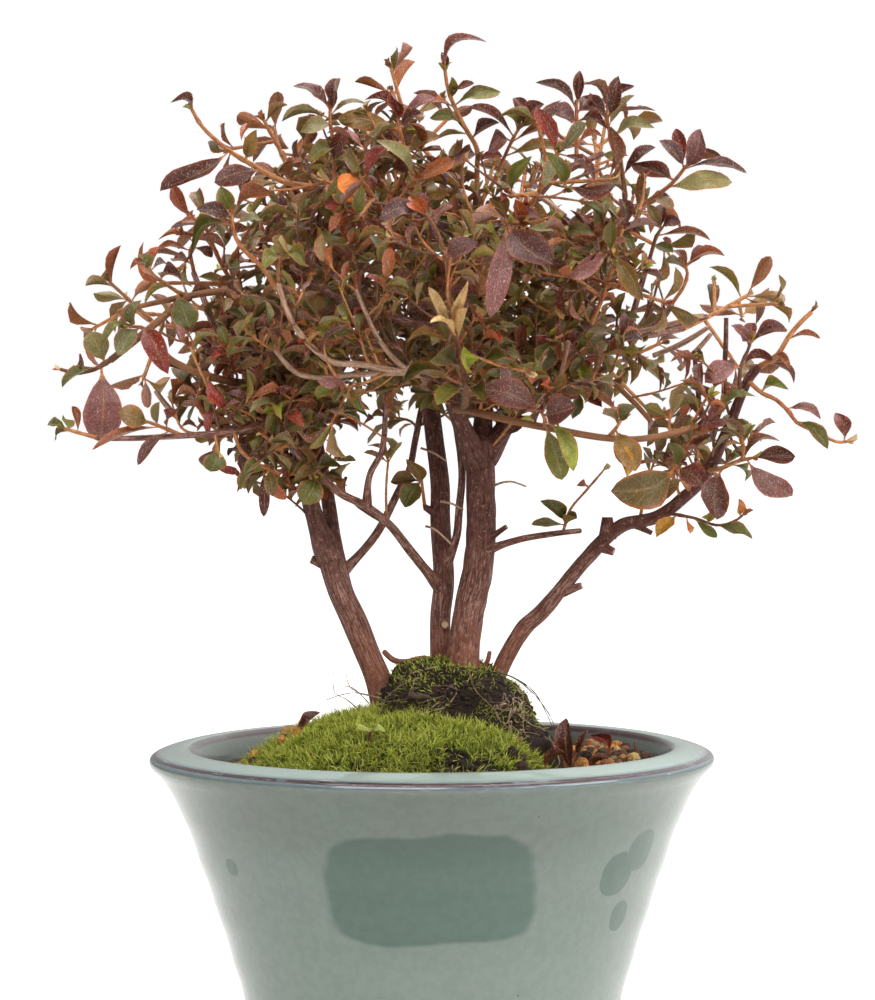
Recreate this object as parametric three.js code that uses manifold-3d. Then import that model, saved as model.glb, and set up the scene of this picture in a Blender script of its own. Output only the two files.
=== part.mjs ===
// Satsuki azalea bonsai, a clump of four trunks in a round flared pot.
// Millimetres, +Z up. The origin is the middle of the pot's flat foot and the
// front of the tree looks along -Y.
import * as THREE from 'three';
import { mergeVertices } from 'three/addons/utils/BufferGeometryUtils.js';
import Module from 'manifold-3d';

const wasm = await Module();
wasm.setup();

// ---------------------------------------------------------------- driving sizes

const GAP = 0.3; // clearance between pieces that touch

// Pot
const POT_SIDES = 28;
const POT_HEIGHT = 121;
const LIP_RADIUS = 90;
const LIP_INNER_RADIUS = 75.6;
const FOOT_RADIUS = 54;
const FLOOR_THICKNESS = 7;
const DRAIN_RADIUS = 6;
const DRAIN_RING = 27; // distance of the three drain holes from the axis
const DRAIN_SIDES = 8;
const DRAIN_TURNS = [90, 210, 330]; // degrees round the axis

// Outer and inner wall of the pot as [radius, height], from the foot up.
const OUTER_WALL = [
  [FOOT_RADIUS, 0], [56.2, 19], [62, 47], [70.6, 75], [80.4, 103], [87.2, 114.6],
];
const LIP = [
  [LIP_RADIUS, 117], [88.6, 120], [84, POT_HEIGHT], [LIP_INNER_RADIUS, 120.4],
];
const INNER_WALL = [
  [74.2, 110], [57.5, 50], [47, FLOOR_THICKNESS],
];

// What fills the pot
const SOIL_TOP = 109;
const MESH_RADIUS = 42;
const MESH_THICKNESS = 0.8;
const MESH_SLOT = [4, 9];
const MESH_SIDES = 12;

// Root mound: [radius, height] of its outline, round its own middle
const MOUND_MIDDLE = [6, 2];
const MOUND_SIDES = 12;
const MOUND_OUTLINE = [
  [32, 76], [39, 106], [34, 121], [28, 132], [22, 141], [13, 147.5],
];
const MOUND_UNEVENNESS = 0.07;
const MOUND_LUMP = 0.9; // how far a point of its upper part stands up or down

// Moss cushion: a low dome beside and in front of the mound
const MOSS_MIDDLE = [-12, -14];
const MOSS_REACH = [52, 50];
const MOSS_RISE = 27;
const MOSS_ROUNDNESS = 0.75;
const MOSS_RINGS = 5;
const MOSS_SECTORS = 24;
const MOSS_TUFT_HEIGHT = 1.1;
const MOSS_STEP = 0.8; // least height of each ring above the one outside it

// Gravel over the soil that the moss leaves bare
const GRAVEL_INNER = 40;
const GRAVEL_OUTER = 73.4;
const GRAVEL_RINGS = 3;
const GRAVEL_SECTORS = 20;
const GRAVEL_DEPTH = [1.6, 5.6];
const GRAVEL_FROM = -62; // degrees round the pot, 0 is to the right
const GRAVEL_SWEEP = 262;

// A dry leaf that stands in the gravel, and a two-leaved seedling that has come up in the moss
const FALLEN_LEAF = { foot: [43, -14, 112], tip: [47, -16, 129], roll: 70, width: 8.5, bow: 3 };
const SEEDLING = { stem: [[-20, -44, 124], [-20, -45, 129.5]], r: [0.6, 0.5], leaf: [5.5, 4], sides: 5 };

// Leaves and twigs
const BLADE_THICKNESS = 1.0;
const ROOT_SPACING = 0.7; // between the feet of leaves that share a place on a twig
const FIRST_ROOT = 0.6; // how far below its place the first of them stands
const ROOT_DEPTH = 0.3; // how far past its twig's middle line a blade starts
const TWIG_SIDES = 3;
const LIMB_SIDES = 5;
const THIN_LIMB_SIDES = 4;
const THIN_LIMB = 1.75; // a limb that starts thinner than this has fewer sides
const TRUNK_SIDES = 6;
const GOLDEN_ANGLE = 137.5;
const LIFT = 0.35; // how strongly a twig turns up towards the light
const MAIN_TWIG = { length: [30, 38], r: [1.0, 0.8], steps: 2, leaves: 5 };
const SIDE_TWIG = { length: [17, 24], r: [0, 0.85, 0.75], neck: 2, opening: [48, 66], leaves: 3 };
const SIDE_TWIG_SHARES = [0.3, 0.46, 0.66, 0.84]; // where side twigs leave the main twig
const LEAF_SIZE = [12, 15.5];
const LEAF_OPENING = [46, 82]; // degrees between a leaf and the twig that it ends
const SAMPLE_ROWS = 6; // rows of test points along a blade
const FREE_ROWS = 1; // rows next to the foot, which may be close to other blades' feet
const WOOD_CLEARANCE = 1.5;
const CELL_MARGIN = 1.6; // how much nearer a blade is to its own spray than to any other
const BLADE_CLEARANCE = 2.4;
const REACH_MARGIN = 12; // how far round a blade its neighbours are looked for

// How a twig's start is moved out of its limb, until a bar of its size is clear of the bark
const SEAT = { step: 0.1, margin: 0.05, probe: 4, furthest: 8 };

const TINTS = {
  maroon: '#4b2a2c', bronze: '#6a4a34', olive: '#6b6a3a', grey: '#76806a', green: '#5f7a3a',
  purple: '#54434c', red: '#6e2a28', orange: '#d08a2c', yellow: '#c8b04a', lime: '#93a84a', pale: '#b4b08a',
};
// The colours of the crown's leaves, each as often as it is named
const CROWN_TINTS = [
  'maroon', 'maroon', 'bronze', 'bronze', 'bronze', 'olive',
  'olive', 'olive', 'green', 'green', 'grey', 'purple',
];

// ---------------------------------------------------------------- trunks and limbs

const TRUNK_UNEVENNESS = 0.04;
const ROOTED_POINTS = 3; // the points of a trunk that lie in or just above the mound

// Each limb runs through its points [x, y, z] and starts inside the limb that
// bears it. r is its radius at the start and at the end.
const TRUNKS = {
  left_trunk: { r: [3.7, 4.3], at: [
    [-13, 0, 128], [-17, -2, 143], [-21, -4, 153], [-25, -6, 163], [-29, -8, 172], [-32, -10, 184],
  ] },
  centre_trunk: { r: [3.6, 2.9], at: [
    [5, 8, 132], [3, 8, 150], [3, 7, 162], [4, 6, 174], [3, 6, 194], [3, 8, 205], [1, 12, 220],
    [0, 18, 233],
  ] },
  main_trunk: { r: [5.1, 4.6], at: [
    [8, 0, 128], [10, 0, 148], [12, 0, 165], [15, -1, 178], [16, -1, 191], [16, -1, 204], [16, -2, 218],
  ] },
  right_trunk: { r: [2.9, 1.5], at: [
    [17, 6, 128], [21, 4, 143], [29, 2, 158], [36, 0, 165], [49, -5, 181], [60, -10, 192], [71, -14, 195],
    [78, -17, 200], [86, -19, 208], [93, -22, 223], [99, -25, 238], [102, -26, 242],
  ] },
};

// Limbs that a trunk divides into.
const FORKS = {
  left_stem: { r: [3.0, 1.5], at: [
    [-32, -10, 182], [-36, -12, 193], [-39, -14, 204], [-41, -16, 216], [-47, -19, 233], [-55, -22, 247],
    [-59, -24, 261], [-62, -25, 269],
  ] },
  rear_stem: { r: [2.5, 1.4], at: [
    [-31, -9, 181], [-32, -6, 195], [-34, 0, 207], [-37, 8, 222], [-36, 16, 233], [-33, 24, 246],
  ] },
  centre_limb: { r: [3.2, 1.2], at: [
    [16, -2, 212], [17, 5, 229], [18, 7, 239], [18, 5, 252], [16, -2, 277], [15, -3, 290], [15, -3, 299],
  ] },
  front_limb: { r: [3.2, 1.7], at: [
    [15, -2, 212], [10, -8, 224], [7, -14, 232], [5, -22, 242], [3, -30, 255],
  ] },
  right_limb: { r: [3.0, 1.5], at: [
    [17, -1, 214], [24, 3, 224], [28, 8, 231], [32, 14, 239], [36, 19, 248], [39, 23, 259], [40, 25, 269],
  ] },
  rear_limb: { r: [2.7, 1.5], at: [[0, 18, 232], [-1, 26, 249], [-4, 32, 266]] },
};

// Limbs that leave the side of a trunk or of another limb.
const LIMBS = {
  low_left_limb: { r: [1.6, 1.0], at: [
    [3, 5, 172], [-1, 0, 177], [-7, -8, 185], [-13, -16, 193], [-20, -22, 199], [-29, -27, 204],
    [-45, -35, 220], [-52, -38, 227],
  ] },
  left_front_limb: { r: [1.6, 1.0], at: [
    [3, -30, 254], [-12, -38, 258], [-23, -42, 261], [-31, -44, 265], [-42, -47, 273],
  ] },
  low_left_fork: { r: [1.1, 0.8], at: [
    [-20, -22, 199], [-19, -26, 209], [-15, -30, 217], [-14, -34, 234],
  ] },
  crossing_limb: { r: [1.4, 1.0], at: [
    [-29, -8, 177], [-18, -1, 189], [-10, 9, 204], [-7, 13, 210], [-5, 22, 220], [-3, 32, 230],
  ] },
  thin_riser: { r: [1.4, 1.1], at: [
    [4, 5, 178], [8, 2, 188], [9, 2, 197], [10, 4, 209], [8, 12, 225],
  ] },
  inner_right_branch: { r: [1.2, 0.8], at: [
    [17, -3, 184], [28, -9, 188], [39, -13, 190], [47, -16, 191],
  ] },
  front_light_stem: { r: [1.5, 1.1], at: [
    [5, -22, 241], [-3, -42, 240], [-10, -56, 241], [-21, -63, 243], [-30, -66, 244], [-40, -69, 254],
    [-45, -68, 267],
  ] },
  pruned_front_stub: { r: [1.2, 1.0], at: [
    [-8, -52, 241], [-24, -52, 240], [-39, -54, 240], [-47, -56, 248],
  ] },
  front_light_fork: { r: [1.1, 0.8], at: [[-7, -51, 241], [-15, -62, 250], [-22, -68, 265]] },
  left_outer_limb: { r: [1.3, 0.7], at: [
    [-60, -24, 262], [-63, -27, 266], [-74, -30, 265], [-96, -36, 260],
  ] },
  left_low_arm: { r: [1.2, 1.1], at: [[-75, -30, 265], [-85, -35, 256], [-98, -40, 245]] },
  orange_left_branch: { r: [1.5, 0.9], at: [
    [-50, -20, 237], [-65, -36, 239], [-78, -42, 244], [-84, -43, 250],
  ] },
  low_left_branch: { r: [1.1, 0.8], at: [
    [-51, -37, 226], [-60, -42, 223], [-88, -48, 221], [-101, -50, 221],
  ] },
  dark_upright: { r: [1.2, 0.9], at: [
    [-56, -22, 248], [-65, -17, 249], [-71, -11, 263], [-75, -7, 273],
  ] },
  upper_left_limb: { r: [1.7, 1.2], at: [
    [16, -2, 276], [4, -6, 283], [-15, -12, 293], [-28, -15, 298], [-36, -17, 299],
  ] },
  upper_right_limb: { r: [1.4, 1.1], at: [
    [15, -3, 283], [29, -14, 291], [39, -20, 302], [43, -21, 305],
  ] },
  upper_right_stub: { r: [1.0, 0.9], at: [[42, -21, 304], [54, -22, 309]] },
  right_upper_limb: { r: [1.6, 1.2], at: [[40, 24, 266], [48, 16, 277], [61, 0, 291], [67, -4, 294]] },
  right_mid_limb: { r: [1.5, 1.0], at: [[36, 19, 248], [48, 21, 249], [72, 15, 256], [78, 11, 263]] },
  right_mid_riser: { r: [1.1, 0.9], at: [[64, 17, 253], [68, 15, 268], [71, 12, 278]] },
  right_pruned_stub: { r: [1.1, 0.9], at: [[64, 17, 253], [77, 12, 256], [89, 8, 259]] },
  front_right_stem: { r: [1.3, 0.9], at: [
    [8, -13, 230], [16, -30, 228], [34, -41, 224], [61, -41, 220], [82, -37, 224],
  ] },
  right_drop_twig: { r: [1.0, 0.8], at: [[35, 17, 246], [56, -2, 239], [64, -8, 232], [70, -12, 225]] },
  bare_upright: { r: [1.0, 0.8], at: [[28, 8, 231], [39, -6, 234], [42, -10, 243], [44, -12, 252]] },
};

// Short limbs into the back, the top and the middle of the crown; a leafy
// spray goes on from the end of each.
const CROWN_LIMBS = {
  rear_left_high: { r: [1.4, 1.0], at: [[0, 19, 235], [-14, 34, 250], [-30, 48, 262]] },
  rear_right_high: { r: [1.4, 1.0], at: [[39, 23, 259], [50, 40, 268], [56, 48, 274]] },
  rear_middle: { r: [1.4, 1.0], at: [[-4, 31, 262], [-8, 44, 276], [-8, 54, 286]] },
  rear_left_low: { r: [1.3, 1.0], at: [[-33, 23, 245], [-44, 38, 248], [-54, 50, 250]] },
  rear_right_low: { r: [1.4, 1.0], at: [[32, 14, 239], [44, 32, 238], [54, 46, 240]] },
  rear_low: { r: [1.4, 1.0], at: [[-1, 26, 249], [6, 40, 246], [12, 54, 244]] },
  front_right_mid: { r: [1.4, 1.0], at: [[29, 9, 232], [40, -12, 246], [50, -30, 256]] },
  front_left_high: { r: [1.4, 1.0], at: [[18, 4, 255], [4, -18, 272], [-10, -36, 282]] },
  front_top: { r: [1.3, 1.0], at: [[16, -2, 278], [24, -22, 284], [30, -36, 290]] },
  rear_top: { r: [1.3, 1.0], at: [[15, -3, 291], [8, 12, 302], [2, 24, 310]] },
  rear_top_right: { r: [1.3, 1.0], at: [[55, 7, 284], [56, 20, 294], [54, 30, 300]] },
  rear_top_left: { r: [1.3, 1.0], at: [[-14, -11, 292], [-26, 6, 298], [-38, 18, 302]] },
  right_rear: { r: [1.3, 1.0], at: [[60, 18, 252.5], [74, 32, 254], [84, 40, 256]] },
  left_rear: { r: [1.3, 1.0], at: [[-55, -22, 247], [-68, 0, 254], [-80, 16, 256]] },
  middle_left: { r: [1.3, 1.0], at: [[-36, 16, 233], [-50, 8, 244], [-58, 4, 262]] },
  rear_centre_high: { r: [1.3, 1.0], at: [[17, 1, 266], [23, 17, 277], [28, 29, 284]] },
  rear_left_middle: { r: [1.2, 1.0], at: [[-34, 21, 242], [-36, 30, 255], [-40, 35, 266]] },
};

// Cut back stubs and knobs on the old wood.
const STUBS = [
  { r: [1.4, 1.2], at: [[-31, -9, 179], [-38, -10, 182]] },
  { r: [1.2, 1.0], at: [[42, -2, 171], [48, -4, 173]] },
  { r: [2.0, 1.4], at: [[56, -9, 188], [56, -9, 195]] },
  { r: [1.3, 1.1], at: [[53, -7, 186], [58, -9, 184]] },
  { r: [0.9, 0.7], at: [[64, -11, 193], [70, -12, 190]] },
  { r: [1.0, 0.8], at: [[17, -2, 187], [24, -6, 192]] },
  { r: [1.2, 0.9], at: [[3, 6, 195], [-2, 5, 198]] },
];

// The stock below the mound's surface that all four trunks rise from.
const ROOT_STOCK = { r: [3, 3], at: [[-14, 1, 131], [18, 4, 131]] };

// Old roots that lie bare on top of the mound.
const ROOTS = [
  { r: [1.4, 0.9], at: [[4, 7, 146], [-2, 3, 149], [-8, 0, 148.4], [-12, -3, 149.3], [-15, -4, 152]] },
  { r: [0.9, 0.7], at: [[14, 2, 144], [17.6, 0, 148], [18.6, -1, 151.5]] },
];

// Sprays that give the crown its outline. r and at are the main twig; each leaf is
// [share of the way along the twig, tip x, y, z, width, roll, bow, colour].
const CHOSEN_SPRAYS = {
  long_left_shoot: { r: [1.2, 0.7], at: [
    [-39, -18, 299], [-46, -19, 301], [-52, -20, 304], [-57, -20, 307], [-62, -21, 310],
    [-67, -22, 314], [-71, -22, 318], [-74, -23, 323],
  ],
    leaves: [
      [1, -80, -25, 326, 3.4, 40, 3, 'maroon'],
      [0.62, -84, -27, 299, 6.4, 65, 5, 'maroon'],
      [0.36, -65, -32, 301, 6.6, 80, 1, 'maroon'],
      [0.42, -59, -24, 297, 4, 60, 1, 'maroon'],
      [0.5, -54, -28, 316, 4.6, 80, 1, 'olive'],
      [0.5, -57, -8, 318, 3.6, 20, 1, 'bronze'],
      [0.12, -40, -30, 307, 5, 45, 2, 'bronze'],
    ] },
  front_left_rosette: { r: [0.9, 0.7], at: [
    [-43, -69, 262], [-50, -67, 272], [-57, -65, 279], [-59, -64, 285], [-59, -63, 289],
  ],
    leaves: [
      [1, -62, -66, 296, 5, 70, 1, 'green'],
      [1, -67, -72, 290, 5.4, 70, 1, 'maroon'],
      [1, -45, -62, 297, 4.6, 50, 3, 'olive'],
      [0.96, -46, -74, 293, 5.4, 60, 2, 'bronze'],
      [0.9, -70, -56, 288, 3.6, 30, 1, 'grey'],
      [0.85, -72, -66, 279, 4.4, 45, 2, 'green'],
      [0.9, -50, -60, 288, 4.4, 40, 1, 'grey'],
      [0.55, -49, -74, 281, 4, 40, 1, 'grey'],
    ] },
  front_light_tip: { r: [0.9, 0.7], at: [[-45, -69, 269], [-45, -70, 272], [-44, -71, 275]],
    leaves: [
      [1, -49, -78, 273, 5, 45, 1, 'green'],
      [1, -37, -76, 272, 5.4, 50, 2, 'green'],
      [1, -44, -74, 281, 4.6, 60, 0, 'grey'],
      [1, -39, -66, 279, 5, 50, 1, 'grey'],
      [0.9, -50, -64, 278, 4, 40, 1, 'green'],
    ] },
  outer_left_top: { r: [0.8, 0.6], at: [
    [-75, -31, 265], [-78, -33, 266], [-81, -35, 268], [-85, -37, 271], [-87, -38, 274],
  ],
    leaves: [
      [1, -92, -40, 273, 2.6, 30, 2, 'bronze'],
      [1, -89, -40, 277, 4.6, 60, 1, 'green'],
      [1, -83, -36, 280, 3, 45, 1, 'bronze'],
      [0.9, -81, -30, 276, 3.4, 40, 1, 'maroon'],
      [0.6, -76, -44, 270, 4.4, 50, 2, 'maroon'],
      [0.15, -74, -36, 255, 8.4, 85, 0, 'green'],
      [0.3, -88, -38, 263, 3, 40, 3, 'green'],
    ] },
  upper_left_dark: { r: [0.8, 0.6], at: [
    [-77, -6, 277], [-76, -9, 280], [-73, -12, 284], [-71, -14, 287],
  ],
    leaves: [
      [1, -78, -18, 289, 3.2, 40, 1, 'bronze'],
      [0.6, -85, -14, 285, 3, 30, 2, 'bronze'],
      [0.4, -87, -10, 282, 2.8, 30, 1, 'bronze'],
      [0.2, -90, -16, 280, 3, 30, 1, 'maroon'],
      [1, -64, -20, 287, 4, 40, 1, 'olive'],
      [0.7, -65, -16, 282, 4, 50, 1, 'maroon'],
      [0.1, -82, -2, 277, 3.4, 30, 1, 'bronze'],
      [0.5, -69, -8, 278, 3.6, 50, 1, 'maroon'],
    ] },
  left_arm_tip: { r: [1.0, 0.7], at: [
    [-99, -40, 243], [-103, -42, 242], [-108, -43, 241], [-113, -44, 242],
  ],
    leaves: [
      [1, -107, -46, 247, 2.8, 40, -4, 'maroon'],
      [0.2, -112, -50, 237, 3.6, 40, 1, 'green'],
      [0.05, -104, -46, 253, 7.4, 80, 1, 'grey'],
      [0.15, -101, -47, 221, 11.6, 88, 1, 'purple'],
    ] },
  left_arm_cluster: { r: [0.8, 0.6], at: [[-87, -37, 254], [-89, -40, 255], [-92, -42, 255]],
    leaves: [
      [1, -89, -46, 262, 5.2, 75, 1, 'grey'],
      [1, -96, -40, 254, 4, 50, 1, 'grey'],
      [0.7, -100, -50, 252, 3.2, 30, 2, 'green'],
      [0.4, -95, -48, 247, 6.4, 70, 1, 'grey'],
      [0.2, -81, -50, 243, 6.6, 80, 3, 'red'],
    ] },
  low_left_tip: { r: [0.8, 0.6], at: [[-103, -50, 221], [-108, -51, 223], [-111, -52, 224]],
    leaves: [
      [1, -116, -54, 225, 3.6, 45, 1, 'green'],
      [1, -111, -58, 227, 3.4, 50, 0, 'green'],
      [0.6, -109, -48, 231, 2.4, 50, -1, 'bronze'],
      [1, -115, -48, 222, 3, 40, 1, 'green'],
    ] },
  low_left_cluster: { r: [0.8, 0.6], at: [[-76, -46, 221], [-81, -49, 224], [-86, -51, 226]],
    leaves: [
      [1, -93, -56, 229, 7, 78, 1, 'olive'],
      [1, -93, -46, 224, 5, 60, 1, 'olive'],
      [0.5, -102, -58, 217, 3.2, 50, 2, 'bronze'],
      [0.15, -89, -52, 213, 3.4, 50, 2, 'purple'],
      [0.7, -82, -54, 232, 3.4, 40, 1, 'grey'],
      [0.3, -77, -56, 230, 3.6, 45, 1, 'maroon'],
    ] },
  low_left_hanging: { r: [0.7, 0.6], at: [[-65, -46, 219], [-65, -47, 217]],
    leaves: [
      [1, -67, -50, 211, 7, 82, 1, 'green'],
      [0.8, -70, -42, 212, 4.4, 75, 1, 'maroon'],
    ] },
  low_left_under: { r: [0.8, 0.6], at: [
    [-60, -43, 221], [-58, -45, 217], [-53, -46, 213], [-49, -46, 211],
  ],
    leaves: [
      [0.9, -51, -48, 197, 3.2, 80, 1, 'maroon'],
      [1, -48, -52, 204, 4, 70, 1, 'olive'],
      [1, -44, -44, 202, 3.4, 60, 1, 'bronze'],
      [0.7, -58, -50, 206, 4, 50, 1, 'green'],
      [0.75, -56, -54, 211, 3.6, 50, 1, 'green'],
    ] },
  trunk_leaf_cluster: { r: [0.7, 0.6], at: [[-36, -33, 211], [-35, -36, 209]],
    leaves: [
      [1, -39, -40, 201, 8, 82, 1, 'green'],
      [1, -41, -46, 209, 4, 50, 1, 'olive'],
      [1, -28, -44, 213, 4, 50, 1, 'green'],
    ] },
  top_shoot: { r: [1.1, 0.7], at: [
    [15, -3, 301], [15, -4, 306], [15, -6, 312], [11, -8, 319], [8, -9, 325], [6, -10, 330],
    [5, -11, 336],
  ],
    leaves: [
      [1, 17, -14, 346, 4.2, 40, 6, 'maroon'],
      [1, 4, -12, 342, 2.4, 60, 0, 'maroon'],
      [0.82, 14, -16, 332, 3, 40, 1, 'maroon'],
      [0.72, 22, -14, 330, 4.4, 50, 2, 'grey'],
      [0.7, -2, -6, 327, 3, 30, 1, 'bronze'],
      [0.78, 7, -16, 333, 3, 60, 0, 'green'],
      [0.55, 0, -14, 321, 4.4, 50, 1, 'green'],
      [0.45, 2, -16, 316, 4.4, 40, 1, 'grey'],
      [0.4, 22, -10, 320, 4, 45, 2, 'maroon'],
      [0.25, 8, -14, 310, 4.4, 50, 1, 'maroon'],
      [0.2, 23, -12, 309, 4.2, 50, 1, 'maroon'],
    ] },
  top_right_rosette: { r: [0.9, 0.6], at: [
    [16, -4, 294], [20, -8, 301], [24, -10, 310], [27, -12, 316], [29, -13, 319],
  ],
    leaves: [
      [1, 27, -10, 328, 4.2, 50, 2, 'maroon'],
      [1, 36, -18, 325, 4.4, 55, 1, 'maroon'],
      [0.85, 13, -16, 325, 3.8, 45, 3, 'maroon'],
      [1, 36, -14, 321, 4.2, 50, 1, 'green'],
      [1, 25, -20, 322, 4, 60, 1, 'green'],
      [0.6, 41, -16, 313, 4.6, 60, 1, 'olive'],
      [0.8, 19, -18, 311, 5.4, 65, 1, 'purple'],
      [0.8, 42, -8, 318, 4, 40, 2, 'bronze'],
    ] },
  upper_left_rosette: { r: [0.9, 0.7], at: [
    [-28, -17, 300], [-30, -19, 306], [-30, -21, 312], [-31, -22, 319], [-31, -22, 323],
  ],
    leaves: [
      [1, -41, -26, 331, 5, 50, 2, 'maroon'],
      [1, -28, -22, 333, 4.4, 70, 0, 'maroon'],
      [1, -20, -24, 326, 4, 40, 2, 'olive'],
      [0.9, -46, -24, 319, 3.6, 40, 3, 'grey'],
      [0.85, -40, -32, 315, 5.4, 60, 2, 'grey'],
      [0.3, -26, -28, 317, 4.6, 70, 1, 'maroon'],
      [0.05, -21, -24, 297, 6.8, 85, 1, 'orange'],
      [0.5, -36, -32, 309, 5, 60, 1, 'green'],
      [0.35, -23, -30, 307, 4.6, 60, 1, 'grey'],
    ] },
  upper_centre_rosette: { r: [0.9, 0.7], at: [
    [-14, -14, 294], [-9, -17, 302], [-8, -20, 309], [-9, -22, 316], [-10, -23, 320],
  ],
    leaves: [
      [1, -19, -22, 328, 3.6, 45, 2, 'red'],
      [1, -12, -26, 328, 3.6, 60, 1, 'red'],
      [1, 2, -22, 327, 4.2, 45, 3, 'purple'],
      [0.95, -2, -30, 321, 5.4, 70, 1, 'maroon'],
      [0.9, -27, -28, 321, 6.4, 75, 1, 'olive'],
      [0.7, -17, -14, 318, 3.4, 30, 2, 'bronze'],
      [0.4, -7, -30, 310, 5.8, 80, 1, 'maroon'],
      [0.6, 3, -18, 316, 4.8, 60, 1, 'olive'],
      [0.5, -24, -14, 308, 4.4, 40, 2, 'olive'],
    ] },
  upper_right_shoot: { r: [0.9, 0.7], at: [
    [45, -21, 308], [46, -21, 311], [46, -21, 317], [46, -21, 324],
  ],
    leaves: [
      [1, 47, -22, 335, 3.4, 65, 0, 'maroon'],
      [1, 34, -24, 332, 4, 45, 3, 'maroon'],
      [0.7, 37, -28, 322, 6, 75, 1, 'purple'],
      [0.75, 55, -26, 318, 3.6, 40, 1, 'maroon'],
      [0.3, 54, -18, 316, 3, 40, 1, 'bronze'],
      [0.85, 52, -14, 328, 3.6, 50, 1, 'maroon'],
    ] },
  upper_right_cluster: { r: [1.0, 0.7], at: [
    [62, -1, 292], [62, -4, 299], [61, -6, 305], [60, -8, 311], [57, -9, 317], [56, -10, 322],
  ],
    leaves: [
      [1, 65, -12, 331, 4.4, 45, 2, 'purple'],
      [1, 59, -16, 333, 5, 70, 1, 'maroon'],
      [0.95, 48, -12, 328, 4.4, 55, 1, 'maroon'],
      [0.9, 65, -4, 330, 3.6, 50, -2, 'olive'],
      [0.95, 47, -4, 325, 4.6, 50, 1, 'maroon'],
      [0.78, 69, -14, 320, 4.6, 50, 1, 'grey'],
      [0.35, 71, -12, 312, 4.6, 55, 2, 'maroon'],
      [0.4, 55, -10, 310, 4.4, 55, 1, 'green'],
      [0.15, 52, -14, 301, 4.6, 50, 2, 'grey'],
    ] },
  right_top_rosette: { r: [1.0, 0.7], at: [[68, -5, 295], [72, -7, 297], [77, -9, 301], [81, -10, 306]],
    leaves: [
      [1, 74, -14, 314, 4.8, 60, 2, 'purple'],
      [1, 78, -8, 318, 4.2, 55, 1, 'red'],
      [1, 85, -14, 317, 6.2, 80, 1, 'purple'],
      [1, 92, -8, 311, 4, 45, 1, 'bronze'],
      [0.95, 100, -12, 303, 4.8, 45, 3, 'maroon'],
      [0.7, 64, -14, 307, 5.4, 60, 3, 'maroon'],
      [0.5, 93, -16, 303, 7.2, 65, 1, 'grey'],
      [0.2, 76, -14, 292, 5, 55, 1, 'olive'],
    ] },
  right_edge_cluster: { r: [0.8, 0.6], at: [[71, 11, 280], [73, 9, 285], [75, 8, 288]],
    leaves: [
      [0.7, 90, 6, 285, 3.6, 40, 1, 'bronze'],
      [1, 79, 2, 290, 4.4, 60, 1, 'maroon'],
      [1, 70, 4, 295, 4.4, 60, 1, 'olive'],
      [1, 76, 12, 296, 4.2, 50, 1, 'maroon'],
      [0.4, 78, 2, 279, 4.4, 55, 1, 'green'],
    ] },
  right_edge_twig: { r: [0.8, 0.6], at: [[79, 11, 265], [82, 10, 269], [83, 9, 273], [82, 9, 276]],
    leaves: [
      [1, 94, 6, 280, 3.4, 40, 1, 'bronze'],
      [1, 89, 12, 282, 4, 60, 1, 'purple'],
      [1, 75, 4, 276, 3.6, 50, 1, 'green'],
      [1, 79, 10, 281, 3.4, 50, 1, 'bronze'],
    ] },
  front_centre_top: { r: [0.9, 0.7], at: [
    [27, -19, 290], [24, -38, 288], [23, -56, 286], [23, -70, 285],
  ],
    leaves: [
      [1, 36, -82, 272, 10, 80, 1, 'purple'],
      [1, 18, -84, 259, 6.6, 70, 2, 'purple'],
      [0.9, 32, -70, 287, 5.4, 60, 1, 'purple'],
      [1, 14, -78, 288, 5.4, 55, 1, 'bronze'],
      [0.7, 18, -56, 293, 4.8, 55, 1, 'olive'],
    ] },
  front_orange_shoot: { r: [1.2, 0.8], at: [
    [8, -20, 231], [11, -44, 233], [10, -62, 241], [8, -70, 251], [6, -74, 261], [5, -76, 272],
    [3, -76, 280], [-1, -75, 287],
  ],
    leaves: [
      [0.33, 1, -80, 244, 6.2, 70, 1, 'grey'],
      [0.38, 9, -82, 248, 5.2, 70, 1, 'lime'],
      [0.34, 22, -76, 245, 4.8, 50, 1, 'green'],
      [0.3, 3, -80, 233, 5.4, 65, 1, 'green'],
      [0.32, -9, -74, 236, 4.2, 40, 2, 'green'],
      [0.28, 16, -70, 233, 4.6, 55, 1, 'green'],
      [0.6, 1, -82, 265, 3.2, 60, 0, 'pale'],
      [0.6, 10, -84, 265, 3.2, 60, 0, 'pale'],
      [0.6, 3, -86, 258, 3.2, 50, 0, 'pale'],
      [0.6, 11, -82, 259, 3.4, 50, 0, 'pale'],
      [0.86, 13, -88, 278, 6, 80, 1, 'purple'],
      [1, -14, -80, 287, 6.4, 60, 1, 'purple'],
      [1, -5, -76, 293, 4.4, 60, 1, 'bronze'],
      [0.95, 6, -82, 289, 4.6, 55, 1, 'purple'],
    ] },
  front_purple_pair: { r: [0.9, 0.7], at: [[35, -44, 224], [35, -47, 226], [34, -51, 228]],
    leaves: [
      [1, 17, -60, 236, 9, 70, 1, 'purple'],
      [1, 44, -60, 230, 9, 78, 1, 'purple'],
      [0.2, 40, -50, 208, 7, 82, 1, 'green'],
      [0.4, 43, -56, 213, 5.4, 65, 2, 'lime'],
    ] },
  front_right_hanging: { r: [0.8, 0.6], at: [[55, -44, 222], [57, -47, 224], [58, -48, 226]],
    leaves: [
      [0.5, 62, -52, 212, 8, 82, 1, 'olive'],
      [0.3, 60, -48, 209, 4.6, 65, 3, 'yellow'],
      [1, 52, -54, 228, 5, 65, 1, 'olive'],
      [1, 62, -50, 230, 5, 65, 1, 'green'],
      [1, 55, -40, 231, 4.4, 50, 1, 'bronze'],
    ] },
  right_purple_leaf: { r: [0.9, 0.6], at: [
    [96, -28, 232], [96, -31, 236], [96, -33, 242], [98, -35, 247], [99, -35, 250],
  ],
    leaves: [
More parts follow.
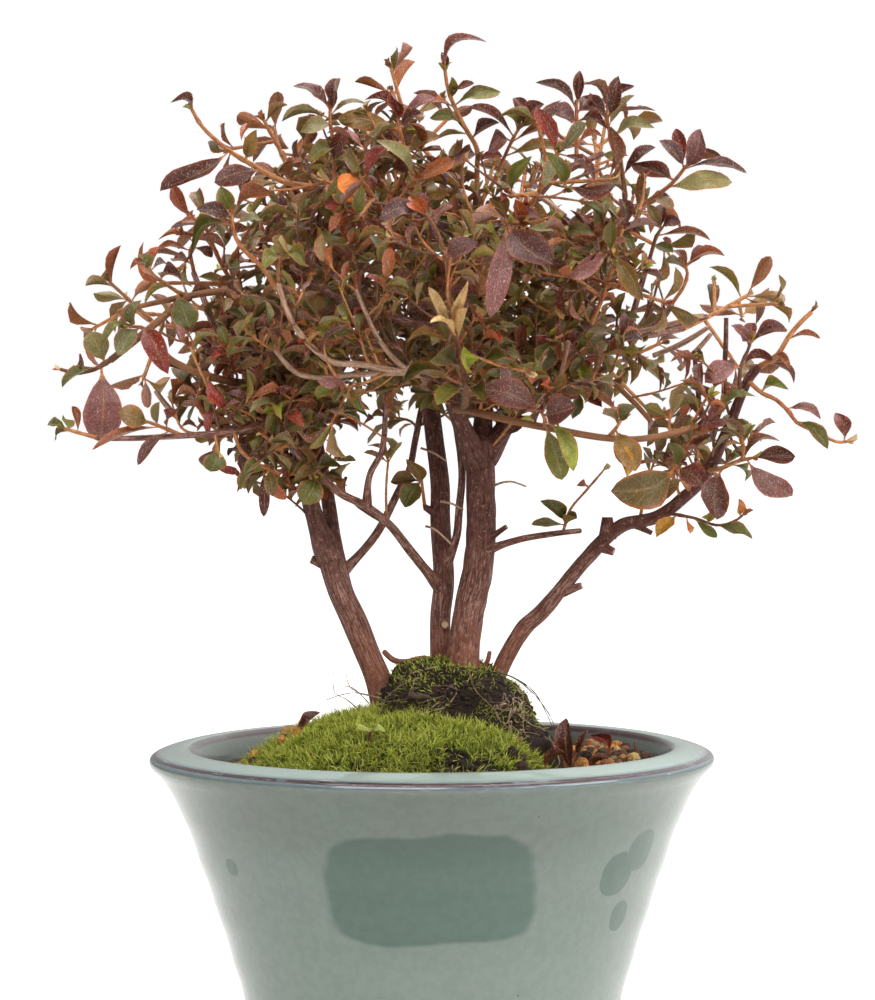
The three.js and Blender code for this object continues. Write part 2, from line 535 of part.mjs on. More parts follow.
      [1, 93, -38, 255, 4.8, 70, 2, 'maroon'],
      [1, 110, -36, 254, 4.8, 60, 3, 'maroon'],
      [0.6, 85, -40, 238, 6.6, 75, 1, 'purple'],
      [0.55, 106, -30, 246, 3.6, 40, 2, 'maroon'],
      [0.9, 100, -30, 256, 4, 60, 0, 'maroon'],
    ] },
  right_top_shoot: { r: [1.1, 0.9], at: [
    [103, -26, 242], [108, -28, 246], [111, -29, 251], [114, -30, 255], [118, -31, 259],
  ],
    leaves: [
      [0.5, 121, -30, 252, 2.2, 40, 1, 'bronze'],
      [0.1, 111, -34, 243, 3, 40, 1, 'bronze'],
      [0.05, 115, -24, 239, 3, 40, 1, 'maroon'],
    ] },
  far_right_shoot: { r: [0.9, 0.6], at: [
    [100, -29, 236], [103, -31, 234], [107, -33, 232], [111, -35, 228], [113, -36, 225],
    [119, -37, 222], [125, -38, 219], [128, -38, 219],
  ],
    leaves: [
      [0.42, 120, -40, 226, 4.6, 60, 2, 'purple'],
      [0.55, 122, -42, 218, 4.4, 60, 2, 'green'],
      [1, 125, -38, 228, 4.6, 70, 3, 'maroon'],
      [0.15, 110, -36, 236, 3.6, 50, 2, 'green'],
    ] },
  right_low_leaves: { r: [1.0, 0.7], at: [
    [87, -23, 209], [91, -29, 211], [95, -33, 213], [99, -35, 214],
  ],
    leaves: [
      [1, 112, -40, 215, 5.4, 60, 0, 'maroon'],
      [1, 111, -42, 203, 7.4, 75, 1, 'purple'],
      [0.4, 88, -40, 195, 8.4, 85, 1, 'maroon'],
      [0.9, 107, -34, 221, 3.6, 45, 1, 'bronze'],
      [0.6, 99, -26, 207, 3.4, 50, 2, 'green'],
    ] },
  right_low_twig: { r: [0.7, 0.5], at: [
    [73, -18, 195], [78, -22, 196], [83, -25, 195], [89, -27, 193], [94, -28, 194], [97, -28, 196],
  ],
    leaves: [
      [0.15, 71, -24, 190, 4.6, 75, 1, 'yellow'],
      [0.4, 89, -30, 189, 3, 50, 1, 'green'],
      [0.65, 100, -30, 189, 4.4, 70, 1, 'green'],
      [0.6, 88, -32, 198, 3, 60, 1, 'lime'],
      [1, 96, -30, 201, 2.8, 60, 1, 'orange'],
      [0.3, 82, -20, 190, 2.4, 50, 1, 'orange'],
    ] },
  right_big_leaf: { r: [1.0, 0.8], at: [[80, -22, 204], [78, -28, 208], [76, -32, 212]],
    leaves: [
      [1, 57, -44, 205, 12, 85, 1, 'olive'],
      [1, 84, -40, 206, 7.6, 75, 1, 'maroon'],
      [1, 73, -38, 219, 5, 65, 1, 'green'],
      [0.6, 70, -36, 202, 4.6, 70, 1, 'olive'],
    ] },
  inner_right_twig: { r: [0.6, 0.4], at: [
    [41, -15, 192], [44, -18, 198], [49, -20, 204], [54, -22, 210],
  ],
    leaves: [
      [0.1, 36, -22, 200, 4.4, 75, 1, 'green'],
      [0.1, 32, -18, 194, 3.4, 50, 1, 'grey'],
      [0.05, 46, -24, 195, 3.2, 50, 1, 'green'],
      [0.7, 46, -24, 206, 2.4, 40, 1, 'bronze'],
    ] },
  trunk_side_leaf: { r: [0.7, 0.6], at: [[-1, 1, 206], [-3, -3, 207]],
    leaves: [
      [1, -8, -8, 199, 6.8, 82, 1, 'green'],
      [1, -13, -6, 206, 5, 60, 1, 'olive'],
      [1, -6, -10, 213, 4.2, 60, 1, 'olive'],
    ] },
};

// ---------------------------------------------------------------- seeded draws

// The same number from 0 to 1 for the same whole-number keys.
function draw(...keys) {
  let state = 0x2545f491;
  for (const key of keys) {
    state = Math.imul(state ^ (key + 0x7f4a7c15), 0x85ebca6b);
    state ^= state >>> 13;
    state = Math.imul(state, 0xc2b2ae35);
    state ^= state >>> 16;
  }
  return (state >>> 0) / 4294967296;
}

function between(low, high, ...keys) {
  return low + (high - low) * draw(...keys);
}

// ---------------------------------------------------------------- closed surfaces

const vector = ([x, y, z]) => new THREE.Vector3(x, y, z);
const degrees = (angle) => (angle * Math.PI) / 180;
const mix = (from, to, share) => from + (to - from) * share;
const REFERENCE = [0.31, 0.2, 0.93]; // a direction that no limb runs along

// A solid from its corner points and its triangles, with the faces turned out.
function solidFrom(points, triangles) {
  const vertProperties = new Float32Array(points.flatMap((p) => [p.x, p.y, p.z]));
  const build = (faces) => new wasm.Manifold(new wasm.Mesh({
    numProp: 3, vertProperties, triVerts: new Uint32Array(faces.flat()),
  }));
  const made = build(triangles);
  return made.volume() > 0 ? made : build(triangles.map(([a, b, c]) => [a, c, b]));
}

// A solid from a closed three.js geometry.
function solidFromGeometry(geometry) {
  const bare = geometry.clone();
  bare.deleteAttribute('normal');
  bare.deleteAttribute('uv');
  const merged = mergeVertices(bare, 1e-3);
  const place = merged.getAttribute('position');
  const points = [];
  for (let i = 0; i < place.count; i += 1) {
    points.push(new THREE.Vector3().fromBufferAttribute(place, i));
  }
  const triangles = [];
  for (let i = 0; i < merged.index.count; i += 3) {
    const [a, b, c] = [0, 1, 2].map((k) => merged.index.getX(i + k));
    if (a !== b && b !== c && c !== a) triangles.push([a, b, c]);
  }
  return solidFrom(points, triangles);
}

// A solid of rings in a row; a ring of one point closes to a tip.
function loft(rings) {
  const points = rings.flat();
  const first = [];
  rings.reduce((count, ring, i) => {
    first[i] = count;
    return count + ring.length;
  }, 0);
  const triangles = [];
  for (let i = 0; i + 1 < rings.length; i += 1) {
    const [here, next] = [rings[i].length, rings[i + 1].length];
    const around = Math.max(here, next);
    for (let j = 0; j < around; j += 1) {
      const k = (j + 1) % around;
      const [a, b] = [first[i] + (here > 1 ? j : 0), first[i] + (here > 1 ? k : 0)];
      const [c, d] = [first[i + 1] + (next > 1 ? j : 0), first[i + 1] + (next > 1 ? k : 0)];
      if (next > 1) triangles.push([a, d, c]);
      if (here > 1) triangles.push([a, b, next > 1 ? d : c]);
    }
  }
  const last = rings.length - 1;
  for (let j = 1; j + 1 < rings[0].length; j += 1) {
    triangles.push([first[0], first[0] + j + 1, first[0] + j]);
  }
  for (let j = 1; j + 1 < rings[last].length; j += 1) {
    triangles.push([first[last], first[last] + j, first[last] + j + 1]);
  }
  return solidFrom(points, triangles);
}

// A round bar along a row of points, with a radius at each.
function bar(points, radii, sides) {
  let across = vector(REFERENCE);
  const rings = points.map((point, i) => {
    if (radii[i] === 0) return [point];
    const [before, after] = [points[Math.max(i - 1, 0)], points[Math.min(i + 1, points.length - 1)]];
    const along = after.clone().sub(before).normalize();
    across = across.clone().addScaledVector(along, -across.dot(along)).normalize();
    const up = along.clone().cross(across);
    return Array.from({ length: sides }, (_, j) => {
      const angle = (2 * Math.PI * j) / sides;
      return point.clone().addScaledVector(across, radii[i] * Math.cos(angle))
        .addScaledVector(up, radii[i] * Math.sin(angle));
    });
  });
  return loft(rings);
}

// A turned piece from its [radius, height] outline, which starts and ends on the axis.
function turned(outline, sides) {
  const profile = outline.map(([radius, height]) => new THREE.Vector2(radius, height));
  return solidFromGeometry(new THREE.LatheGeometry(profile, sides).rotateX(Math.PI / 2));
}

function joined(solids) {
  return solids.reduce((sum, solid) => sum.add(solid));
}

// The largest body of a solid that a cut has left in several.
function largest(solid) {
  const volume = (body) => body.volume();
  return solid.decompose().sort((a, b) => volume(b) - volume(a))[0];
}

function meshOf(name, solid, colour, roughness) {
  const { vertProperties, triVerts } = solid.getMesh();
  const geometry = new THREE.BufferGeometry();
  geometry.setAttribute('position', new THREE.BufferAttribute(new Float32Array(vertProperties), 3));
  geometry.setIndex(new THREE.BufferAttribute(new Uint32Array(triVerts), 1));
  geometry.computeVertexNormals();
  const material = new THREE.MeshStandardMaterial({ color: colour, roughness, metalness: 0 });
  const mesh = new THREE.Mesh(geometry, material);
  mesh.name = name;
  return mesh;
}

// ---------------------------------------------------------------- wood

// A limb's radius at each of its points, from its start to its end, with the
// slight unevenness of old wood.
function limbRadii({ r, at }, unevenness = 0) {
  const points = at.map(vector);
  const run = [0];
  points.slice(1).forEach((p, i) => run.push(run[i] + p.distanceTo(points[i])));
  const whole = run[run.length - 1];
  return run.map((s, i) => mix(r[0], r[1], s / whole) * (1 + unevenness * Math.sin(i * 2.4)));
}

function limbSolid(limb, sides, grow = 0, unevenness = 0) {
  const radii = limbRadii(limb, unevenness).map((radius) => radius + grow);
  return bar(limb.at.map(vector), radii, sides);
}

// A side limb runs to a point inside the limb that bears it.
function sideLimbSolid(limb, sides) {
  const points = limb.at.map(vector);
  const neckShare = (2.5 * limb.r[0] + 1.5) / points[0].distanceTo(points[1]);
  const neck = points[0].clone().lerp(points[1], Math.min(0.8, neckShare));
  return bar([points[0], neck, ...points.slice(1)], [0, limb.r[0], ...limbRadii(limb).slice(1)], sides);
}

function woodSolids() {
  const trunks = Object.values(TRUNKS).map((limb) => limbSolid(limb, TRUNK_SIDES, 0, TRUNK_UNEVENNESS));
  const forks = [...Object.values(FORKS), ...ROOTS, ROOT_STOCK]
    .map((limb) => limbSolid(limb, limbSides(limb)));
  const sideLimbs = [...Object.values({ ...LIMBS, ...CROWN_LIMBS }), ...STUBS];
  return [...trunks, ...forks, ...sideLimbs.map((limb) => sideLimbSolid(limb, limbSides(limb)))];
}

function limbSides({ r }) {
  return r[0] < THIN_LIMB ? THIN_LIMB_SIDES : LIMB_SIDES;
}

// ---------------------------------------------------------------- leafy sprays

// A blade from its foot to its tip: three-cornered in section, widest past the
// middle, with the midrib below. normal is the side that its upper face looks to.
function bladeSolid({ foot, tip, normal, width, bow }) {
  const reach = tip.clone().sub(foot);
  const side = reach.clone().cross(normal).normalize();
  const face = side.clone().cross(reach).normalize();
  const section = (share, halfWidth, depth) => {
    const middle = foot.clone().addScaledVector(reach, share)
      .addScaledVector(face, bow * 4 * share * (1 - share));
    return [
      middle.clone().addScaledVector(side, halfWidth),
      middle.clone().addScaledVector(side, -halfWidth),
      middle.clone().addScaledVector(face, -depth),
    ];
  };
  return loft([
    [foot.clone().addScaledVector(reach, -ROOT_DEPTH / reach.length())],
    section(0.32, width * 0.36, BLADE_THICKNESS * 1.2),
    section(0.7, width * 0.5, BLADE_THICKNESS),
    [tip],
  ]);
}

// The upper face of a blade that points along reach, turned from level (0) to
// facing the front (90).
function leafNormal(reach, roll) {
  const along = reach.clone().normalize();
  const squared = (axis) => axis.addScaledVector(along, -axis.dot(along));
  const level = squared(new THREE.Vector3(0, 0, 1));
  const front = squared(new THREE.Vector3(0, -1, 0));
  return level.multiplyScalar(Math.cos(degrees(roll)))
    .addScaledVector(front, Math.sin(degrees(roll)))
    .normalize();
}

// The point at a share of the way along a row of points.
function pointAlong(points, share) {
  const lengths = points.slice(1).map((p, i) => p.distanceTo(points[i]));
  let left = share * lengths.reduce((sum, length) => sum + length);
  for (let i = 0; i < lengths.length; i += 1) {
    if (left <= lengths[i] || i === lengths.length - 1) {
      return points[i].clone().lerp(points[i + 1], Math.min(left / lengths[i], 1));
    }
    left -= lengths[i];
  }
  return points[0].clone();
}

// The twig starts on the limb nearest to its first point, a hair clear of the bark.
function seatedPoints(plan, limbSolids) {
  const points = plan.at.map(vector);
  const bars = woodBars();
  const reach = (one) => distanceToBar(points[0], one) + one.radius;
  const bearer = bars.reduce((least, one) => (reach(one) < reach(least) ? one : least));
  const from = nearestOn(points[0], bearer);
  const way = points[1].clone().sub(from).normalize();
  const radius = plan.r[0] + SEAT.margin;
  const isFree = (start) => {
    const end = start.clone().addScaledVector(way, SEAT.probe);
    const probe = bar([start, end], [radius, radius], TWIG_SIDES);
    return !limbSolids.some((solid) => boxesMeet(probe, solid) && !probe.intersect(solid).isEmpty());
  };
  let out = SEAT.step;
  while (out < SEAT.furthest && !isFree(from.clone().addScaledVector(way, out))) out += SEAT.step;
  return [from.addScaledVector(way, out + SEAT.step), ...points.slice(1)];
}

function boxesMeet(one, other) {
  const [a, b] = [one.boundingBox(), other.boundingBox()];
  return [0, 1, 2].every((k) => a.min[k] <= b.max[k] && b.min[k] <= a.max[k]);
}

function chosenSpray(plan, limbSolids) {
  const points = seatedPoints(plan, limbSolids);
  const radii = limbRadii(plan);
  const length = points.slice(1).reduce((sum, p, i) => sum + p.distanceTo(points[i]), 0);
  const leaves = plan.leaves.map(([share, x, y, z, width, roll, bow, tint], i) => {
    const below = plan.leaves.slice(0, i).filter(([other]) => other === share).length;
    const foot = pointAlong(points, share - (FIRST_ROOT + ROOT_SPACING * below) / length);
    const tip = new THREE.Vector3(x, y, z);
    return { foot, tip, normal: leafNormal(tip.clone().sub(foot), roll), width, bow, tint };
  });
  return { twigs: [{ points, radii }], leaves };
}

// A direction at an angle from the heading, at a turn round it.
function turnedFrom(heading, angle, turn) {
  const across = vector(REFERENCE);
  across.addScaledVector(heading, -across.dot(heading)).normalize();
  const up = heading.clone().cross(across);
  const out = across.multiplyScalar(Math.cos(degrees(turn))).addScaledVector(up, Math.sin(degrees(turn)));
  return heading.clone().multiplyScalar(Math.cos(degrees(angle)))
    .addScaledVector(out, Math.sin(degrees(angle)));
}

// A twig that sets out along heading and lifts towards the light.
function risingTwig(start, heading, length, radii, steps, ...keys) {
  const points = [start];
  let way = heading.clone();
  for (let i = 0; i < steps; i += 1) {
    way = turnedFrom(way, between(4, 18, ...keys, i, 1), between(0, 360, ...keys, i, 2));
    way.z += LIFT / steps;
    way.normalize();
    points.push(points[i].clone().addScaledVector(way, length / steps));
  }
  return { points, radii: points.map((_, i) => mix(radii[0], radii[1], i / steps)), way };
}

// A short side twig, slim where it is sunk in the twig that bears it.
function sunkTwig(root, way, length) {
  const points = [0, SIDE_TWIG.neck, length].map((out) => root.clone().addScaledVector(way, out));
  return { points, radii: SIDE_TWIG.r, way };
}

// The spray that goes on from the end of a crown limb: a main twig and its side twigs.
function crownTwigs(limb, number) {
  const [before, end] = limb.at.slice(-2).map(vector);
  const heading = end.clone().sub(before).normalize();
  const start = end.clone().addScaledVector(heading, GAP);
  const reach = between(...MAIN_TWIG.length, number, 0);
  const main = risingTwig(start, heading, reach, MAIN_TWIG.r, MAIN_TWIG.steps, number, 1);
  const sides = SIDE_TWIG_SHARES.map((share, j) => {
    const turn = between(0, 360, number, 2) + j * GOLDEN_ANGLE;
    const way = turnedFrom(heading, between(...SIDE_TWIG.opening, number, 3, j), turn);
    const length = between(...SIDE_TWIG.length, number, 4, j) * (1.1 - 0.4 * share);
    return sunkTwig(pointAlong(main.points, share), way, length);
  });
  return [main, ...sides];
}

// Leaves that stand round the end of a twig and open away from it.
function rosette(end, heading, count, size, ...keys) {
  const spin = between(0, 360, ...keys, 11);
  return Array.from({ length: count }, (_, k) => {
    const turn = spin + (k * 360) / count + between(-14, 14, ...keys, 12, k);
    const way = turnedFrom(heading, between(...LEAF_OPENING, ...keys, 13, k), turn);
    const length = size * between(0.8, 1.2, ...keys, 14, k);
    const foot = end.clone().addScaledVector(heading, -FIRST_ROOT - ROOT_SPACING * k);
    return leafAlong(foot, way, heading, length, ...keys, 15, k);
  });
}

function leafAlong(foot, way, heading, length, ...keys) {
  const tip = foot.clone().addScaledVector(way, length);
  const normal = heading.clone().addScaledVector(way, -heading.dot(way)).normalize();
  const width = length * between(0.34, 0.44, ...keys, 21);
  const tint = CROWN_TINTS[Math.floor(CROWN_TINTS.length * draw(...keys, 23))];
  return { foot, tip, normal, width, bow: length * between(0.02, 0.12, ...keys, 22), tint };
}

// Points over a blade, close enough together to test its clearance.
function bladeSamples({ foot, tip, normal, width, bow }) {
  const reach = tip.clone().sub(foot);
  const side = reach.clone().cross(normal).normalize();
  const samples = [];
  for (let i = 1; i <= SAMPLE_ROWS; i += 1) {
    const share = i / SAMPLE_ROWS;
    const half = width * 0.5 * Math.min(1, 2 * share, 3.2 * (1 - share));
    for (const across of [-1, 0, 1]) {
      samples.push(foot.clone().addScaledVector(reach, share).addScaledVector(side, across * half)
        .addScaledVector(normal, bow * 4 * share * (1 - share)));
    }
  }
  return samples;
}

function nearestOn(point, { a, b }) {
  const run = b.clone().sub(a);
  const share = Math.min(Math.max(point.clone().sub(a).dot(run) / run.lengthSq(), 0), 1);
  return a.clone().addScaledVector(run, share);
}

function distanceToBar(point, one) {
  return point.distanceTo(nearestOn(point, one)) - one.radius;
}

function nearest(point, bars) {
  return bars.reduce((least, one) => Math.min(least, distanceToBar(point, one)), Infinity);
}

function barsOf(points, radii) {
  return points.slice(1).map((b, i) => ({ a: points[i], b, radius: Math.max(radii[i], radii[i + 1]) }));
}

const nearBy = (bars, centre, range) => bars.filter((one) => distanceToBar(centre, one) < range);

// True where a blade keeps to its own spray's side, clear of wood and of other blades.
function isClear(leaf, own, others, wood, placed) {
  const samples = bladeSamples(leaf);
  const middle = samples[Math.floor(samples.length / 2)];
  const range = leaf.tip.distanceTo(leaf.foot) + REACH_MARGIN;
  const [closeOwn, closeOthers, closeWood] = [own, others, wood].map((bars) => nearBy(bars, middle, range));
  if (samples.some((p) => nearest(p, closeWood) < WOOD_CLEARANCE)) return false;
  if (samples.some((p) => nearest(p, closeOthers) < nearest(p, closeOwn) + CELL_MARGIN)) return false;
  const close = placed.filter((p) => p.point.distanceTo(middle) < range);
  const free = samples.slice(3 * FREE_ROWS);
  return !close.some((p) => free.some((q) => p.point.distanceTo(q) < BLADE_CLEARANCE));
}

function woodBars() {
  const limbs = [...Object.values({ ...TRUNKS, ...FORKS, ...LIMBS, ...CROWN_LIMBS }), ...STUBS];
  return limbs.flatMap((limb) => barsOf(limb.at.map(vector), limbRadii(limb)));
}

// Every spray's twigs first, then the blades of the crown sprays, each where it is clear.
function growSprays(limbSolids) {
  const sprays = {};
  for (const [name, plan] of Object.entries(CHOSEN_SPRAYS)) {
    sprays[name] = chosenSpray(plan, limbSolids);
  }
  Object.entries(CROWN_LIMBS).forEach(([name, limb], number) => {
    sprays[name] = { twigs: crownTwigs(limb, number), leaves: [], number };
  });
  const wood = woodBars();
  const bars = Object.fromEntries(Object.entries(sprays).map(([name, { twigs }]) => [
    name, twigs.flatMap(({ points, radii }) => barsOf(points, radii)),
  ]));
  const placed = Object.values(sprays).flatMap(({ leaves }) => leaves.flatMap(bladeSamples))
    .map((point) => ({ point }));
  for (const [name, spray] of Object.entries(sprays)) {
    if (spray.number === undefined) continue;
    const others = Object.keys(bars).filter((other) => other !== name).flatMap((other) => bars[other]);
    spray.twigs.forEach(({ points, way }, j) => {
      const end = points[points.length - 1];
      const count = j === 0 ? MAIN_TWIG.leaves : SIDE_TWIG.leaves;
      const size = between(...LEAF_SIZE, spray.number, 6, j);
      for (const leaf of rosette(end, way, count, size, spray.number, 7, j)) {
        if (!isClear(leaf, bars[name], others, wood, placed)) continue;
        spray.leaves.push(leaf);
        placed.push(...bladeSamples(leaf).slice(6 * FREE_ROWS).map((point) => ({ point })));
      }
    });
  }
  return sprays;
}

// The mean colour of a spray's leaves.
function sprayColour({ leaves }) {
  const sum = new THREE.Color(0, 0, 0);
  leaves.forEach(({ tint }) => sum.add(new THREE.Color(TINTS[tint])));
  return sum.multiplyScalar(1 / leaves.length);
}

function spraySolid({ twigs, leaves }) {
  const bars = twigs.map(({ points, radii }) => bar(points, radii, TWIG_SIDES));
  return joined([...bars, ...leaves.map(bladeSolid)]);
}

// ---------------------------------------------------------------- pot and what fills it

function potSolid() {
  const body = turned([[0, 0], ...OUTER_WALL, ...LIP, ...INNER_WALL, [0, FLOOR_THICKNESS]], POT_SIDES);
  const drill = new THREE.CylinderGeometry(DRAIN_RADIUS, DRAIN_RADIUS, 3 * FLOOR_THICKNESS, DRAIN_SIDES);
  const hole = solidFromGeometry(drill.rotateX(Math.PI / 2));
  return drainPlaces().reduce((rest, [x, y]) => rest.subtract(hole.translate([x, y, 0])), body);
}

function drainPlaces() {
  return DRAIN_TURNS.map((turn) => [
    DRAIN_RING * Math.cos(degrees(turn)), DRAIN_RING * Math.sin(degrees(turn)),
  ]);
}

// A plain sheet of mesh over the drain holes, with a slot above each.
function drainageMeshSolid() {
  const low = FLOOR_THICKNESS + GAP;
  const sheet = turned([[0, low], [MESH_RADIUS, low], [MESH_RADIUS, low + MESH_THICKNESS],
    [0, low + MESH_THICKNESS]], MESH_SIDES);
  const slot = solidFromGeometry(new THREE.BoxGeometry(...MESH_SLOT, 4 * MESH_THICKNESS));
  return drainPlaces().reduce((rest, [x, y]) => rest.subtract(slot.translate([x, y, low])), sheet);
}

// The dark mass of roots that the trunks stand in.
function moundSolid(grow = 0) {
  const [x, y] = MOUND_MIDDLE;
  const rings = MOUND_OUTLINE.map(([radius, height], i) => Array.from({ length: MOUND_SIDES }, (_, j) => {
    const turn = (2 * Math.PI * j) / MOUND_SIDES;
    const uneven = 1 + MOUND_UNEVENNESS * (Math.sin(3 * turn + i) + 0.6 * Math.sin(5 * turn + 2.2 * i));
    const lump = i > 2 ? between(-MOUND_LUMP, MOUND_LUMP, 31, i, j) : 0;
    const out = radius * (height > SOIL_TOP ? uneven : 1) + grow;
    return new THREE.Vector3(x + out * Math.cos(turn), y + out * Math.sin(turn), height + lump + grow);
  }));
  rings[0].forEach((p) => p.setZ(p.z - 2 * grow));
  return loft(rings);
}

// The feet of the trunks, the stock and the roots, all thicker by grow: the
// hole that they stand in.
function rootedWood(grow) {
  const trunks = Object.values(TRUNKS).map((limb) => {
    const radii = limbRadii(limb, TRUNK_UNEVENNESS).map((radius) => radius + grow);
    const points = limb.at.map(vector);
    points[0].z -= grow;
    return bar(points.slice(0, ROOTED_POINTS), radii.slice(0, ROOTED_POINTS), TRUNK_SIDES);
  });
  const roots = [...ROOTS, ROOT_STOCK].map((limb) => limbSolid(limb, limbSides(limb), grow));
  return joined([...trunks, ...roots]);
}

// One ring of the moss: its scalloped outline at a share of its reach.
function mossRing(share, shift, grow, heightOf) {
  return Array.from({ length: MOSS_SECTORS }, (_, j) => {
    const turn = (2 * Math.PI * (j + shift)) / MOSS_SECTORS;
    const scallop = 1 + 0.03 * Math.sin(5 * turn) + 0.02 * Math.sin(9 * turn + 1);
    const x = MOSS_MIDDLE[0] + (MOSS_REACH[0] * share * scallop + grow) * Math.cos(turn);
    const y = MOSS_MIDDLE[1] + (MOSS_REACH[1] * share * scallop + grow) * Math.sin(turn);
    return new THREE.Vector3(x, y, heightOf(j));
  });
}

// The moss: a dome with a scalloped edge and a tufted top.
function mossDome() {
  const low = SOIL_TOP + GAP;
  const rings = Array.from({ length: MOSS_RINGS }, (_, i) => {
    const share = Math.cos((Math.PI / 2) * (i / MOSS_RINGS));
    const rise = MOSS_RISE * (1 - share * share) ** MOSS_ROUNDNESS;
    return mossRing(share, (i % 2) / 2, 0, (j) => {
      const tuft = i > 0 ? between(-MOSS_TUFT_HEIGHT, MOSS_TUFT_HEIGHT, 41, i, j) : 0;
      return low + Math.max(rise + tuft, MOSS_STEP * i);
    });
  });
  return loft([...rings, [new THREE.Vector3(...MOSS_MIDDLE, low + MOSS_RISE)]]);
}

// The space that the gravel leaves for the moss, straight up from its outline.
function mossHole() {
  return loft([SOIL_TOP, SOIL_TOP + MOSS_RISE].map((height) => mossRing(1, 0, GAP, () => height)));
}

function pottingMixSolid() {
  const low = FLOOR_THICKNESS + MESH_THICKNESS + 2 * GAP;
  const [mouth, bend, floor] = INNER_WALL.map(([radius]) => radius - 1.4 * GAP);
  const wall = [[floor, low], [bend, INNER_WALL[1][1]], [mouth - GAP, SOIL_TOP]];
  return turned([[0, low], ...wall, [0, SOIL_TOP]], POT_SIDES).subtract(moundSolid(GAP));
}

// Coarse grains, raised from a thin bed by a seeded height at each corner.
function gravelBed() {
  const low = SOIL_TOP + GAP;
  const corner = (i, j) => {
    const inside = i % GRAVEL_RINGS ? 1 : 0;
    const radius = mix(GRAVEL_INNER, GRAVEL_OUTER, i / GRAVEL_RINGS) + inside * between(-1, 1, 51, i, j);
    const step = j + inside * between(-0.3, 0.3, 52, i, j);
    const turn = degrees(GRAVEL_FROM + (GRAVEL_SWEEP * step) / GRAVEL_SECTORS);
    return [radius * Math.cos(turn), radius * Math.sin(turn)];
  };
  const rings = [];
  for (let j = 0; j <= GRAVEL_SECTORS; j += 1) {
    const top = [];
    for (let i = 0; i <= GRAVEL_RINGS; i += 1) {
      const [x, y] = corner(i, j);
      top.push(new THREE.Vector3(x, y, low + between(...GRAVEL_DEPTH, 53, i, j)));
    }
    const [outX, outY] = corner(GRAVEL_RINGS, j);
    const [inX, inY] = corner(0, j);
    rings.push([...top, new THREE.Vector3(outX, outY, low), new THREE.Vector3(inX, inY, low)]);
  }
  return loft(rings);
}

function fallenLeafSolid() {
  const foot = vector(FALLEN_LEAF.foot);
  const tip = vector(FALLEN_LEAF.tip);
  const normal = leafNormal(tip.clone().sub(foot), FALLEN_LEAF.roll);
  return bladeSolid({ ...FALLEN_LEAF, foot, tip, normal });
}

// The hollow in the gravel that the dry leaf stands in.
function fallenLeafHollow() {
  const foot = vector(FALLEN_LEAF.foot);
  const tip = vector(FALLEN_LEAF.tip);
  return bar([foot.clone().lerp(tip, -0.06), foot.clone().lerp(tip, 0.4)], [3.2, 4.2], 6);
}

// Two blades on a short stem.
function seedlingSolid() {
  const points = SEEDLING.stem.map(vector);
  const [length, width] = SEEDLING.leaf;
  const normal = new THREE.Vector3(0, -0.4, 0.9).normalize();
  const leaves = [-1, 1].map((turn) => {
    const foot = points[1].clone().setZ(points[1].z - 0.5);
    const tip = foot.clone().add(new THREE.Vector3(turn * length, -1.5, 1.6));
    return bladeSolid({ foot, tip, normal, width, bow: 0.5 });
  });
  return joined([bar(points, SEEDLING.r, SEEDLING.sides), ...leaves]);
}

// The hole in the moss that its stem stands in.
function seedlingHole() {
  const [foot, end] = SEEDLING.stem.map(vector);
  const radius = SEEDLING.r[0] + 1.2 * GAP;
  return bar([foot.setZ(foot.z - GAP), end.setZ(end.z + 4)], [radius, radius], SEEDLING.sides);
}

// ---------------------------------------------------------------- the whole tree

const bonsai = new THREE.Group();
bonsai.name = 'satsuki_azalea_bonsai';

const moundHole = moundSolid(GAP);
const rootHole = rootedWood(GAP);
const moss = mossDome().subtract(moundHole).subtract(rootHole).subtract(seedlingHole());
const gravel = gravelBed().subtract(mossHole()).subtract(moundHole).subtract(fallenLeafHollow());
const wood = woodSolids();

bonsai.add(meshOf('pot', potSolid(), '#8fa99f', 0.15));
bonsai.add(meshOf('drainage_mesh', drainageMeshSolid(), '#2b2b2b', 0.7));
bonsai.add(meshOf('potting_mix', largest(pottingMixSolid()), '#4a3a2c', 1));
bonsai.add(meshOf('root_mound', largest(moundSolid().subtract(rootHole)), '#2a1c18', 1));
bonsai.add(meshOf('moss_cushion', largest(moss), '#7f9a2c', 1));
bonsai.add(meshOf('gravel_top_dressing', largest(gravel), '#a2672f', 1));
bonsai.add(meshOf('fallen_leaf', fallenLeafSolid(), '#4a1f1f', 0.8));
bonsai.add(meshOf('seedling', seedlingSolid(), '#7d8f3a', 0.7));
bonsai.add(meshOf('trunks_and_branches', joined(wood), '#6d4f45', 0.9));
for (const [name, spray] of Object.entries(growSprays(wood))) {
  bonsai.add(meshOf(`spray_${name}`, spraySolid(spray), sprayColour(spray), 0.7));
}

export default bonsai;
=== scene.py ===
"""Looks of a satsuki azalea bonsai in its round flared pot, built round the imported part.

Sizes are millimetres in the part's own frame (+Z up, the tree's front along -Y)
until a mesh is made, which is in metres.
"""

import math

import bpy
import numpy as np
from mathutils import Matrix, Vector


